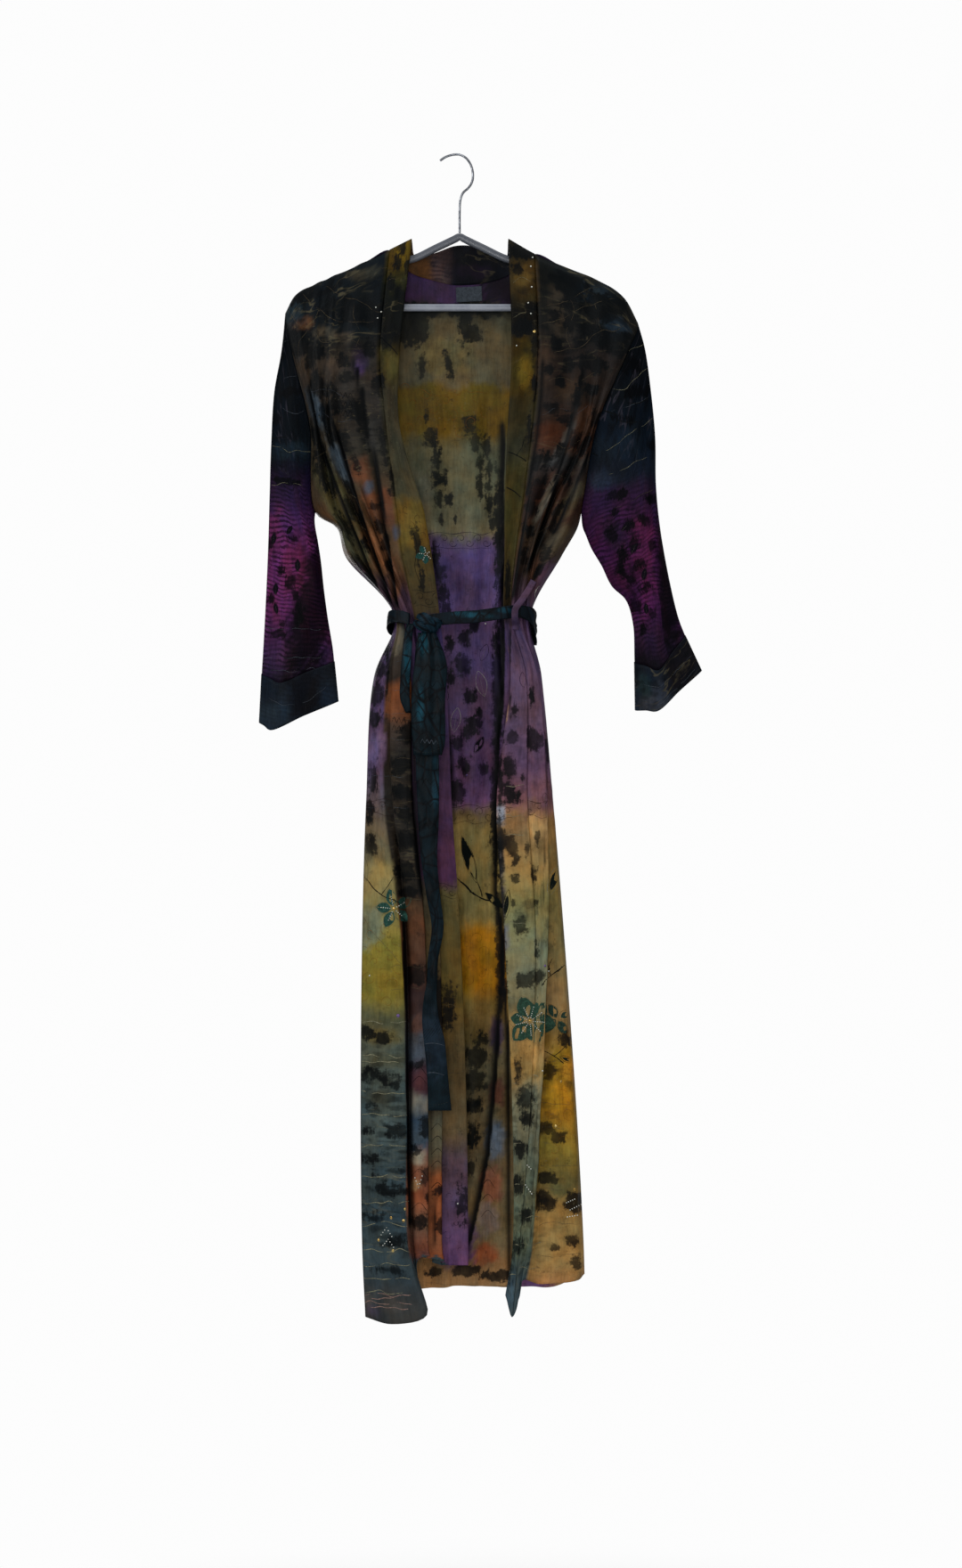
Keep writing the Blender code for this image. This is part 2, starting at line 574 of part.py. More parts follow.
def make_hanger():
    """One closed frame: two arms that come up to the shoulders, round ends and a straight bar."""
    half = {}
    for name, rows, neck, tip in (
        ("right", FRONT_RIGHT_FOLDS, -89, -ARM_REACH),
        ("left", FRONT_LEFT_FOLDS, 95, ARM_REACH + 5),
    ):
        line = shoulder_line(rows)
        xs = np.linspace(neck, tip, 6)
        slope = np.gradient(np.interp(xs, line[:, 0], line[:, 1]), xs)
        under = (ARM_HALF_HEIGHT + WALL / 2 + ARM_CLEARANCE) * np.sqrt(1 + slope**2)
        dip = np.interp(np.abs(xs), ARM_DIP_FADE, (ARM_NECK_DIP, ARM_TIP_DIP))
        zs = np.interp(xs, line[:, 0], line[:, 1]) - under - dip
        sign = math.copysign(1, tip)
        end = [
            (tip + sign * ARM_END_BULGE, (zs[-1] + BAR_Z) / 2 - 1),
            (tip - sign * 4, BAR_Z),
            (tip * 0.9, BAR_Z),
        ]
        inner = [(sign * x, z) for x, z in ARM_NEAR_NECK]
        half[name] = np.array(inner + list(zip(xs, zs)) + end + [(tip * 0.5, BAR_Z)])
    path = np.concatenate([
        [(0, ARM_APEX_Z)], half["right"], [(0, BAR_Z)], half["left"][::-1],
    ])
    knots = np.stack([path[:, 0], np.zeros(len(path)), path[:, 1]], axis=1)
    centres = smooth(knots, 2, closed=True)
    depthwise = np.tile([0.0, 1.0, 0.0], (len(centres), 1))
    across = across_path(centres, depthwise, closed=True)
    heights = np.interp(np.abs(centres[:, 0]), ARM_TAPER, (ARM_HALF_HEIGHT, ARM_TIP_HALF_HEIGHT))
    swept(
        "hanger_frame", centres, across * heights[:, None], depthwise * ARM_HALF_DEPTH,
        "hanger_plastic", closed=True, sides=8, roughness=0.35,
    )


def make_hook():
    route = np.array([(x, 0, z) for x, z in HOOK_ROUTE], float)
    points = smooth(route, 3)
    depthwise = np.tile([0.0, 1.0, 0.0], (len(points), 1))
    across = across_path(points, depthwise)
    swept(
        "hook", points, across * WIRE_RADIUS, depthwise * WIRE_RADIUS,
        "hook_steel", sides=8, roughness=0.3, metallic=1.0,
    )


def belt_oval(angle):
    """A point of the belt's oval round the waist, angle 0 at the left side and -90 in front."""
    c, s = np.cos(angle), np.sin(angle)
    power = 2 / BELT_ROUNDING
    x = BELT_CENTRE_X + BELT_HALF_WIDTH * np.sign(c) * np.abs(c) ** power
    y = BELT_HALF_DEPTH * np.sign(s) * np.abs(s) ** power
    return np.stack([x, y], axis=-1)


def belt_front_angle(x):
    """The angle at which the belt's oval passes an X in front."""
    share = (x - BELT_CENTRE_X) / BELT_HALF_WIDTH
    return -math.acos(math.copysign(abs(share) ** (BELT_ROUNDING / 2), share))


def belt_height(x, y):
    """The belt's mid height: it climbs to the left side in front and sags a little behind."""
    front = np.interp(x, (-95, -60, -20, 20, 55, 75, 102), (-586, -590, -595, -588, -582, -583, -588))
    behind = np.interp(x, (-95, 0, 102), (-586, -593, -588))
    share = np.clip(0.5 - y / 20, 0, 1)
    return front * share + behind * (1 - share)


def make_belt_waist():
    """The stretch that goes round the waist, from the knot's left side all the way to its right."""
    start = belt_front_angle(KNOT_CENTRE[0] + KNOT_SIZE[0] - KNOT_OVER_BELT)
    end = belt_front_angle(KNOT_CENTRE[0] - KNOT_SIZE[0] + KNOT_OVER_BELT) + 2 * math.pi
    angle = np.linspace(start, end, 53)
    flat = belt_oval(angle)
    z = belt_height(flat[:, 0], flat[:, 1])
    centres = np.stack([flat[:, 0], flat[:, 1], z], axis=1)
    upward = np.tile([0.0, 0.0, 1.0], (len(centres), 1))
    across = across_path(centres, upward)
    swell = 1 + 0.08 * np.sin(angle * 9)
    swept(
        "belt_waist", centres, across * BELT_HALF_THICK,
        upward * (BELT_HALF_HEIGHT * swell)[:, None], "silk_belt", sides=10,
    )


def make_knot():
    """The tied knot: a squashed ball with two soft grooves where the strands cross."""
    across = np.linspace(0, np.pi, 11)
    around = np.linspace(0, 2 * np.pi, 20, endpoint=False)
    a, b = np.meshgrid(across, around, indexing="ij")
    ripple = 1 + 0.09 * np.cos(3 * b + 1.6 * a)
    points = np.stack(
        [
            KNOT_CENTRE[0] + KNOT_SIZE[0] * np.cos(a),
            KNOT_CENTRE[1] + KNOT_SIZE[1] * ripple * np.sin(a) * np.cos(b),
            KNOT_CENTRE[2] + KNOT_SIZE[2] * ripple * np.sin(a) * np.sin(b),
        ],
        axis=-1,
    )
    inner = points[1:-1].reshape(-1, 3)
    poles = points[[0, -1], 0]
    rows, columns = points.shape[0] - 2, points.shape[1]
    index = np.arange(rows * columns).reshape(rows, columns)
    wrap = np.concatenate([index, index[:, :1]], axis=1)
    faces = np.stack([wrap[:-1, :-1], wrap[1:, :-1], wrap[1:, 1:], wrap[:-1, 1:]], axis=-1)
    faces = faces.reshape(-1, 4).tolist()
    first, last = rows * columns, rows * columns + 1
    for k in range(columns):
        faces.append([first, int(wrap[0, k]), int(wrap[0, k + 1])])
        faces.append([last, int(wrap[-1, k + 1]), int(wrap[-1, k])])
    mesh_object("belt_knot", np.concatenate([inner, poles]), faces, "silk_belt")


def make_strip(name, rows, wall, bow, steps=2):
    """A hanging strip of the belt, two layers thick, its middle bowed forward."""
    at = dict(zip(STRIP_COLUMNS, np.array(rows, float).T))
    columns = []
    for share in (0, 0.25, 0.5, 0.75, 1):
        x = at["left_x"] + (at["right_x"] - at["left_x"]) * share
        lift = bow * math.sin(math.pi * share)
        columns.append(np.stack([x, -at["y"] - lift, at["z"]], axis=1))
    grid = smooth(np.stack(columns), steps, axis=1)
    cloth(name, grid, "silk_belt", wall=wall)


def make_belt():
    make_belt_waist()
    make_knot()
    make_strip("belt_tail", BELT_TAIL, 1.6, 1.5)
    make_strip("belt_end", BELT_END, 1.6, 2.5)
    make_strip("belt_loop", BELT_LOOP, 1.6, 2.0)


def outermost(grid, x, z, side):
    """The Y of a panel's outermost layer, toward the given side, at a place of the front view."""
    at = grid[..., (0, 2)]
    y = grid[..., 1]
    corners = [at[:-1, :-1], at[1:, :-1], at[1:, 1:], at[:-1, 1:]]
    depths = [y[:-1, :-1], y[1:, :-1], y[1:, 1:], y[:-1, 1:]]
    found = []
    for a, b, c in ((0, 1, 2), (0, 2, 3)):
        one, two = corners[b] - corners[a], corners[c] - corners[a]
        to = np.array([x, z]) - corners[a]
        area = one[..., 0] * two[..., 1] - one[..., 1] * two[..., 0]
        u = (to[..., 0] * two[..., 1] - to[..., 1] * two[..., 0]) / area
        v = (one[..., 0] * to[..., 1] - one[..., 1] * to[..., 0]) / area
        inside = (u >= 0) & (v >= 0) & (u + v <= 1)
        depth = depths[a] + u * (depths[b] - depths[a]) + v * (depths[c] - depths[a])
        found.append(depth[inside])
    return side * (side * np.concatenate(found)).max()


def make_carriers():
    """A narrow loop near each side seam that holds the belt, both of its ends sewn to the robe."""
    carried_by = {"left": (FRONT_LEFT_FOLDS, -1), "right": (BACK_FOLDS, 1)}
    off_cloth = WALL + SEAM_GAP + CARRIER_SPARE
    for name, route in CARRIER_ROUTE.items():
        rows, side = carried_by[name]
        grid = panel_grid(rows, side, 2)
        middle = np.array([(x, z) for x, z, _ in route], float)
        run = np.gradient(smooth(middle, 1), axis=0)
        sideways = np.stack([-run[:, 1], run[:, 0]], axis=1)
        sideways /= np.linalg.norm(sideways, axis=1, keepdims=True)
        across = np.linspace(-0.5, 0.5, 5)[:, None, None] * CARRIER_WIDTH * sideways[None]
        places = middle[None] + across
        depths = []
        for k, (_, _, depth) in enumerate(route):
            if depth is None:
                depth = max(side * outermost(grid, x, z, side) for x, z in places[:, k]) + off_cloth
            depths.append(side * depth)
        depths = np.broadcast_to(np.array(depths), places.shape[:2])
        lines = np.stack([places[..., 0], depths, places[..., 1]], axis=-1)
        strip = smooth(lines, 2, axis=1)
        cloth("carrier_" + name, strip, "silk_carrier")


def make_label(back_y):
    """The bare woven label sewn inside the back neck, its face toward the front opening."""
    half_w, half_h = LABEL_SIZE[0] / 2, LABEL_SIZE[1] / 2
    u, v = np.meshgrid(np.linspace(-half_w, half_w, 5), np.linspace(-half_h, half_h, 3), indexing="ij")
    c, s = math.cos(LABEL_TILT), math.sin(LABEL_TILT)
    x = LABEL_CENTRE[0] + u * c - v * s
    z = LABEL_CENTRE[1] + u * s + v * c
    y = back_y(x, z) - WALL / 2 - SEAM_GAP - 0.4
    cloth("neck_label", np.stack([x, y, z], axis=-1), "label_cloth", wall=0.8)


def back_surface(x, z):
    """The back panel's mid surface near the neck, as its least Y close to a point."""
    grid = panel_grid(BACK_FOLDS, 1, 2).reshape(-1, 3)
    apart = np.hypot(grid[None, None, :, 0] - x[..., None], grid[None, None, :, 2] - z[..., None])
    near = np.where(apart < 22, grid[None, None, :, 1], np.inf)
    return near.min(axis=-1)


def main():
    clear_objects()
    front_edges = make_fronts()
    back_edges = make_back()
    make_sleeves(front_edges, back_edges)
    make_hanger()
    make_hook()
    make_belt()
    make_carriers()
    make_label(back_surface)


main()
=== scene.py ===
import math

import bpy
import numpy as np
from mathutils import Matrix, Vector
from mathutils.bvhtree import BVHTree


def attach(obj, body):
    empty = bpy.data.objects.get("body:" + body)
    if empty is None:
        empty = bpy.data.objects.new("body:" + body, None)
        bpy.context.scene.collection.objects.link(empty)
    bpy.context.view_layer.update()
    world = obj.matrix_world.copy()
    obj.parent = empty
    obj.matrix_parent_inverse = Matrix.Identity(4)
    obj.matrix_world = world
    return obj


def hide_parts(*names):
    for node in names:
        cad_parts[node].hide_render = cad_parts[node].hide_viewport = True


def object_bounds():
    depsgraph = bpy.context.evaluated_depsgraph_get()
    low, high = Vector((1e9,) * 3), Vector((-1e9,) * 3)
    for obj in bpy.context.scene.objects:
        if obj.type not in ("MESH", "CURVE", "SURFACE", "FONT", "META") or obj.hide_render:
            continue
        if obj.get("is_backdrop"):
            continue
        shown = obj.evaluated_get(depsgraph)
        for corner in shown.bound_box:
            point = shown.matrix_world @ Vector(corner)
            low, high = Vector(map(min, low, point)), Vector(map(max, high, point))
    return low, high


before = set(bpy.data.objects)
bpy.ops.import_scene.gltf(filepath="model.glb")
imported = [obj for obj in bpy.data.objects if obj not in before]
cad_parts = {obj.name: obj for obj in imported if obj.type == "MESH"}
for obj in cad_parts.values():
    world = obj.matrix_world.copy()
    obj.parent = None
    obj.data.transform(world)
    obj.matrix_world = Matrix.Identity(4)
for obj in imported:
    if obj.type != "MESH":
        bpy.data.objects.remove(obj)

cad_box = [list(corner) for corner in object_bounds()]
MM = 0.001

# Camera
# Straight at the robe's front from 3.6 m, as high as the middle of the picture. Positions of printed
# marks are given in picture points of a front view, PICTURE_POINT millimetres apart at the robe.
PICTURE_POINT = 1.135
PICTURE_SIZE = (1080, 1760)
HOOK_POINT = (516, 175)
CAMERA_DISTANCE = 3600.0
camera_x = (PICTURE_SIZE[0] / 2 - HOOK_POINT[0]) * PICTURE_POINT
camera_z = (HOOK_POINT[1] - PICTURE_SIZE[1] / 2) * PICTURE_POINT
camera_data = bpy.data.cameras.new("camera")
camera_data.sensor_fit = "AUTO"
camera_data.sensor_width = 36.0
camera_data.lens = 36.0 * CAMERA_DISTANCE / (PICTURE_SIZE[1] * PICTURE_POINT)
camera = bpy.data.objects.new("camera", camera_data)
camera.location = (camera_x * MM, -CAMERA_DISTANCE * MM, camera_z * MM)
camera.rotation_euler = (math.pi / 2, 0, 0)
bpy.context.scene.collection.objects.link(camera)
bpy.context.scene.camera = camera
bpy.context.scene.view_settings.view_transform = "Standard"

# Floor and light
# A pale floor that fades out into the pale surroundings, a broad soft light from the left, weaker
# ones from the right and from in front, one from above and one from behind.
FLOOR_Z = -2.1
FLOOR_RADIUS = 2.4
FLOOR_SIDES = 64
turn = np.linspace(0, 2 * np.pi, FLOOR_SIDES, endpoint=False)
floor_points = np.full((FLOOR_SIDES, 3), FLOOR_Z)
floor_points[:, 0] = np.cos(turn) * FLOOR_RADIUS
floor_points[:, 1] = np.sin(turn) * FLOOR_RADIUS
floor_mesh = bpy.data.meshes.new("floor")
floor_mesh.from_pydata(floor_points.tolist(), [], [list(range(FLOOR_SIDES))])
floor = bpy.data.objects.new("floor", floor_mesh)
bpy.context.scene.collection.objects.link(floor)
floor_material = bpy.data.materials.new("pale_floor")
floor_material.use_nodes = True
tree = floor_material.node_tree
floor_shader = tree.nodes["Principled BSDF"]
floor_shader.inputs["Base Color"].default_value = (0.9, 0.9, 0.9, 1)
floor_shader.inputs["Roughness"].default_value = 0.9
floor_shader.inputs["Specular IOR Level"].default_value = 0.1
place = tree.nodes.new("ShaderNodeTexCoord")
flat_place = tree.nodes.new("ShaderNodeVectorMath")
flat_place.operation = "MULTIPLY"
flat_place.inputs[1].default_value = (1, 1, 0)
reach = tree.nodes.new("ShaderNodeVectorMath")
reach.operation = "LENGTH"
fade = tree.nodes.new("ShaderNodeMapRange")
fade.interpolation_type = "SMOOTHSTEP"
tree.links.new(place.outputs["Object"], flat_place.inputs[0])
tree.links.new(flat_place.outputs["Vector"], reach.inputs[0])
tree.links.new(reach.outputs["Value"], fade.inputs["Value"])
for key, number in (("From Min", 0.4), ("From Max", 1.3), ("To Min", 1.0), ("To Max", 0.0)):
    fade.inputs[key].default_value = number
tree.links.new(fade.outputs["Result"], floor_shader.inputs["Alpha"])
floor_mesh.materials.append(floor_material)
floor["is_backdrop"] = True

world = bpy.data.worlds.new("surroundings")
bpy.context.scene.world = world
world.use_nodes = True
tree = world.node_tree
tree.nodes.clear()
seen = tree.nodes.new("ShaderNodeBackground")
seen.inputs["Color"].default_value = (1.0, 1.0, 1.0, 1)
seen.inputs["Strength"].default_value = 0.98
lighting = tree.nodes.new("ShaderNodeBackground")
lighting.inputs["Color"].default_value = (0.95, 0.98, 1.0, 1)
lighting.inputs["Strength"].default_value = 0.3
path = tree.nodes.new("ShaderNodeLightPath")
choose = tree.nodes.new("ShaderNodeMixShader")
world_out = tree.nodes.new("ShaderNodeOutputWorld")
tree.links.new(path.outputs["Is Camera Ray"], choose.inputs["Fac"])
tree.links.new(lighting.outputs["Background"], choose.inputs[1])
tree.links.new(seen.outputs["Background"], choose.inputs[2])
tree.links.new(choose.outputs["Shader"], world_out.inputs["Surface"])

AIM = (0.0, 0.0, -0.75)
# name, x, y, z, size, watts
LIGHTS = (
    ("light_left", -2.4, -2.3, 0.7, 1.6, 47.0),
    ("light_right", 2.6, -2.4, -0.6, 1.8, 8.0),
    ("light_front", -0.3, -4.3, -0.3, 1.2, 33.0),
    ("light_top", 0.2, -0.7, 2.4, 1.4, 30.0),
    ("light_behind", -0.8, 2.8, -0.2, 2.0, 42.0),
)
for name, x, y, z, size, watts in LIGHTS:
    light_data = bpy.data.lights.new(name, "AREA")
    light_data.size = size
    light_data.energy = watts
    light = bpy.data.objects.new(name, light_data)
    light.location = (x, y, z)
    aim = np.array(AIM) - np.array([x, y, z])
    yaw = math.atan2(aim[1], aim[0]) - math.pi / 2
    pitch = math.atan2(math.hypot(aim[0], aim[1]), -aim[2])
    light.rotation_euler = (pitch, 0, yaw)
    bpy.context.scene.collection.objects.link(light)

# Back of the robe
# One silk panel from the shoulders to the hem, gathered by the belt. Its fold lines run from top to
# hem, and the cloth is a smooth surface through them. The silk is dyed by hand in zones.
LEVELS = (-255, -346, -454, -511, -587, -664, -823, -993, -1220, -1390)
UNDERARM, ARMPIT, RIB, WAIST = -454, -474, -511, -587
ARMPIT_SHIFT = {"right": 14.0, "left": 4.0}
ARMPIT_REACH = 30.0
FRONT_Y = (13, 16, 19, 21)
FRONT_FOLD = (1.5, 3.5, 6, 5.5)
BACK_Y = (14, 17, 20, 22)
BACK_FOLD = (1.5, 3, 4.5, 5.5)
FOLD_COLUMNS = (
    "fold", "top_z", "hem_z", "turn", "waist_y", "hip_y", "knee_y",
    "top", "yoke", "chest", "underarm", "rib", "waist", "hip", "thigh", "knee", "calf", "shin", "hem",
)
BACK_FOLDS = (
    ("side_right", -201, -1479, 0, 0.75, 0.75, 0.75,
     -222, -212, -190, -184, -145, -83, -109, -119, -124, -126, -124, -120),
    ("furrow_0", -177, -1471, -0.6, 4, 11, 12,
     -208, -203, -181, -175, -139, -82.6, -106, -115, -119, -121, -119, -116),
    ("ridge_1", -166, -1463, 1, 9, 22, 26,
     -188, -188, -170, -163, -130, -81, -101, -111, -111, -114, -111, -110),
    ("furrow_1", -149, -1455, -1, 13, 14, 16,
     -150, -154, -145, -141, -116, -76, -93, -98, -96, -98, -96, -96),
    ("ridge_2", -134, -1451, 1, 21, 27, 31,
     -118, -120, -116, -111, -95, -67, -79, -82, -79, -79, -78, -77),
    ("furrow_2", -120, -1448, -1, 17, 15, 17,
     -89, -98, -91, -86, -75, -56, -64, -66, -62, -61, -60, -60),
    ("ridge_3", -146, -1447, 1, 31, 29, 33,
     -65, -68, -64, -60, -52, -42, -48, -47, -41, -39, -39, -37),
    ("furrow_3", -157, -1446, -1, 20, 17, 18,
     -35, -41, -36, -34, -30, -25, -27, -22, -19, -19, -20, -20),
    ("ridge_4", -163, -1444, 1, 32.4, 28, 30,
     -9, -12, -9, -9, -7, -7, -6, -2, -2, -3, -5, -5),
    ("furrow_4", -163, -1444, -1, 21, 18, 19,
     11, 14, 16, 16, 16, 14, 16, 18, 16, 15, 15, 15),
    ("ridge_5", -160, -1445, 1, 32, 29, 32,
     36, 39, 39, 36, 34, 32, 34, 36, 36, 35, 34, 34),
    ("furrow_5", -151, -1445, -1, 20, 16, 17,
     62, 64, 61, 57, 52, 45, 50, 54, 56, 56, 56, 56),
    ("ridge_6", -125, -1445, 1, 26, 28, 31,
     95, 96, 89, 82, 68, 58, 67, 76, 83, 86, 89, 90),
    ("furrow_6", -140, -1444, -1, 16, 15, 17,
     129, 132, 120, 107, 84, 70, 82, 95, 104, 114, 118, 120),
    ("ridge_7", -159, -1436, 1, 12, 22, 25,
     175, 175, 150, 134, 104, 83, 95, 109, 121, 134, 141, 142),
    ("furrow_7", -181, -1430, -0.6, 5, 11, 12,
     209, 200, 163, 145, 117, 88.5, 100, 114, 127, 142, 150, 151),
    ("side_left", -213, -1424, 0, 0.75, 0.75, 0.75,
     227, 212, 174, 155, 129, 90, 104, 119, 133, 149, 158, 159),
)
NECK_FOLDS = ("ridge_3", "furrow_3", "ridge_4", "furrow_4", "ridge_5", "furrow_5")
NECK_Y = 9.0
EDGE_Y = 0.75
EDGE_OVER_ARM_Y = 4.5
SEAM_Y = 0.3
SEAM_REACH = 4.0
ARMHOLE_Y = 10.0
OVER_ARM_DROP = 6.5
OVER_ARM_Y = 7.5
SHELL = 0.5
# millimetres between neighbouring points of the cloth's mesh: of sleeves, and of panels down and across
CLOTH_STEP = 3.9
DOWN_STEP = CLOTH_STEP * 1.1
ACROSS_STEP = CLOTH_STEP * 0.72
# how many waves make uneven hills, the cloth's low wrinkles in millimetres across and down, and how
# square the ovals of the dye marks are
WAVE_COUNT = 9
WRINKLE_ACROSS, WRINKLE_ALONG = 26.0, 170.0
OVAL_POWER = 2.6
CALM_KEEP = 0.35
# how calm each fold of the back is, full from the second fold number to the third
CALM_FOLDS = (3, 6, 12, 14)
CALM_FROM_LEVEL = 2


def through(knots, counts, closed=False):
    """Points on a smooth line through the knots along the first axis, counts[k] steps after knot k.

    Each piece is a cubic that leaves and meets its knots with slopes that weigh the chords on both
    sides by the square roots of their lengths.
    """
    points = np.asarray(knots, float)
    if closed:
        points = np.concatenate([points[-1:], points, points[:2]])
    span = np.maximum(np.sqrt(np.linalg.norm(np.diff(points, axis=0), axis=-1)), 1e-6)[..., None]
    chord = np.diff(points, axis=0) / span
    slope = np.empty_like(points)
    slope[1:-1] = chord[:-1] - (points[2:] - points[:-2]) / (span[1:] + span[:-1]) + chord[1:]
    slope[0], slope[-1] = chord[0], chord[-1]
    if closed:
        points, slope, span = points[1:-1], slope[1:-1], span[1:-1]
    piece = np.repeat(np.arange(len(counts)), counts)
    t = np.concatenate([np.arange(count) / count for count in counts])
    t = t.reshape((-1,) + (1,) * (points.ndim - 1))
    woven = (
        (2 * t**3 - 3 * t**2 + 1) * points[piece]
        + (t**3 - 2 * t**2 + t) * span[piece] * slope[piece]
        + (3 * t**2 - 2 * t**3) * points[piece + 1]
        + (t**3 - t**2) * span[piece] * slope[piece + 1]
    )
    return woven if closed else np.concatenate([woven, points[-1:]])


def steps_for(knots, step):
    """How many steps each stretch between knots takes, so that points lie about one step apart."""
    lengths = np.linalg.norm(np.diff(knots, axis=0), axis=-1)
    lengths = lengths.reshape(len(lengths), -1).mean(axis=1)
    return np.maximum(3, np.round(lengths / step)).astype(int)


def fold_knots(rows, side):
    """Knots of a panel, one line for each fold row. side is -1 for a front and +1 for the back."""
    base, fold = (FRONT_Y, FRONT_FOLD) if side < 0 else (BACK_Y, BACK_FOLD)
    table = [dict(zip(FOLD_COLUMNS, row)) for row in rows]
    edges = [at["underarm"] for at in table if "side" in at["fold"]]
    seams = [("right" if x < 0 else "left", x) for x in edges]
    lines = []
    for at in table:
        edge = at["fold"].startswith("side")
        neck = side > 0 and at["fold"] in NECK_FOLDS
        top_y, over_y = (NECK_Y, NECK_Y + 0.5) if neck else (EDGE_Y, OVER_ARM_Y)
        line = [
            (at["top"], side * top_y, at["top_z"]),
            (at["top"], side * (EDGE_OVER_ARM_Y if edge else over_y), at["top_z"] - OVER_ARM_DROP),
        ]
        for k, level in enumerate(("yoke", "chest", "underarm", "rib")):
            depth = base[k] + at["turn"] * fold[k]
            if edge:
                depth = ARMHOLE_Y if k < 2 else EDGE_Y
            line.append((at[level], side * depth, LEVELS[k]))
        share = (UNDERARM - ARMPIT) / (UNDERARM - RIB)
        armpit = np.array(line[-2]) * (1 - share) + np.array(line[-1]) * share
        for name, seam_x in seams:
            armpit[0] += ARMPIT_SHIFT[name] * max(0.0, 1 - abs(at["underarm"] - seam_x) / ARMPIT_REACH)
        line.insert(-1, tuple(armpit))
        line.append((at["waist"], side * at["waist_y"], WAIST))
        for level, z in zip(("hip", "thigh"), LEVELS[5:]):
            line.append((at[level], side * at["hip_y"], z))
        for level, z in zip(("knee", "calf", "shin"), LEVELS[7:]):
            line.append((at[level], side * at["knee_y"], z))
        line.append((at["hem"], side * at["knee_y"], at["hem_z"]))
        lines.append(line)
    return np.array(lines, float)


def calmed(knots):
    """The back's knots with shallower folds where it shows between the fronts.

    A fold there keeps CALM_KEEP of its distance from the mean of its two neighbours and twice itself.
    """
    y = knots[..., 1]
    level = y.copy()
    level[1:-1] = (y[:-2] + 2 * y[1:-1] + y[2:]) / 4
    middle = np.interp(np.arange(len(y)), CALM_FOLDS, (0, 1, 1, 0))[:, None] * (1 - CALM_KEEP)
    middle = middle * np.where(np.arange(y.shape[1]) >= CALM_FROM_LEVEL, 1.0, 0.0)
    calm = knots.copy()
    calm[..., 1] += (level - y) * middle
    return calm


def panel_surface(rows, side):
    """A panel's points, folds by heights, and the fold number of each column of points."""
    knots = fold_knots(rows, side)
    if side > 0:
        knots = calmed(knots)
    knots = knots.transpose(1, 0, 2)
    down = through(knots, steps_for(knots, DOWN_STEP)).transpose(1, 0, 2)
    counts = steps_for(down, ACROSS_STEP)
    points = through(down, counts)
    columns_of_folds = np.concatenate([[0], np.cumsum(counts)])
    return points, np.interp(np.arange(len(points)), columns_of_folds, np.arange(len(rows)))


def normals_of(grid, closed=False):
    """Unit normals at a grid's points, each the mean of those of the quads that meet there."""
    ring = np.concatenate([grid, grid[:1]]) if closed else grid
    quads = np.cross(ring[1:, 1:] - ring[:-1, :-1], ring[:-1, 1:] - ring[1:, :-1])
    quads /= np.maximum(np.linalg.norm(quads, axis=-1, keepdims=True), 1e-9)
    quads = np.pad(quads, ((0, 0), (1, 1), (0, 0)), mode="edge")
    if closed:
        quads = np.concatenate([quads[-1:], quads])
    else:
        quads = np.pad(quads, ((1, 1), (0, 0), (0, 0)), mode="edge")
    normals = quads[1:, 1:] + quads[:-1, 1:] + quads[1:, :-1] + quads[:-1, :-1]
    return normals / np.maximum(np.linalg.norm(normals, axis=-1, keepdims=True), 1e-9)


def waves(u, v, seed, across, along):
    """Smooth uneven hills: a sum of sine waves with mixed directions, lengths and starts.

    Most of them lie between -1 and 1, and none is beyond 2.
    """
    draw = np.random.default_rng(seed)
    total = np.zeros(np.broadcast(u, v).shape)
    for _ in range(WAVE_COUNT):
        kx = 2 * np.pi / (across * draw.uniform(0.6, 1.7)) * draw.choice([-1, 1])
        kz = 2 * np.pi / (along * draw.uniform(0.6, 1.7))
        total += np.sin(kx * u + kz * v + draw.uniform(0, 2 * np.pi))
    return total / WAVE_COUNT**0.5 / 1.5


def spread(grid):
    """The cloth's own measures at each point, in millimetres: mean arc length across and down."""
    legs = np.linalg.norm(np.diff(grid, axis=0), axis=-1).mean(axis=1)
    falls = np.linalg.norm(np.diff(grid, axis=1), axis=-1).mean(axis=0)
    u = np.concatenate([[0], np.cumsum(legs)])[:, None]
    v = np.concatenate([[0], np.cumsum(falls)])[None, :]
    return u, v


def wrinkled(points, seed, size):
    """The surface with low uneven folds added along its normals, fading out at the top and the seams."""
    u, v = spread(points)
    lift = size * waves(u, v, seed, WRINKLE_ACROSS, WRINKLE_ALONG)
    finer = waves(u, v, seed + 9, WRINKLE_ACROSS * 0.45, WRINKLE_ALONG * 0.3)
    lift = lift + 0.35 * size * finer
    fade = np.clip(v / 40, 0, 1) * np.clip(u / 8, 0, 1) * np.clip((u[-1] - u) / 8, 0, 1)
    return points + normals_of(points) * (lift * fade)[..., None]


def seamed(points, edges, side):
    """The side seams pressed shut below the armholes.

    Within about SEAM_REACH of an edge the cloth moves in depth as far as the edge has to, to lie SEAM_Y
    from the middle. An edge farther than SEAM_REACH away from it belongs to an armhole and stays.
    """
    moved = points.copy()
    for edge in edges:
        off = points[edge][:, 1]
        apart = np.linalg.norm(points - points[edge], axis=-1)
        weight = np.exp(-((apart / SEAM_REACH) ** 2)) * np.clip((SEAM_REACH - np.abs(off)) / 2, 0, 1)
        moved[..., 1] += weight * (side * SEAM_Y - off)
    return moved


def in_folds(fold_number, first, last):
    """1 on the columns of points whose fold lies in the range, 0 on the others."""
    return ((fold_number >= first) & (fold_number <= last)).astype(float)[:, None]


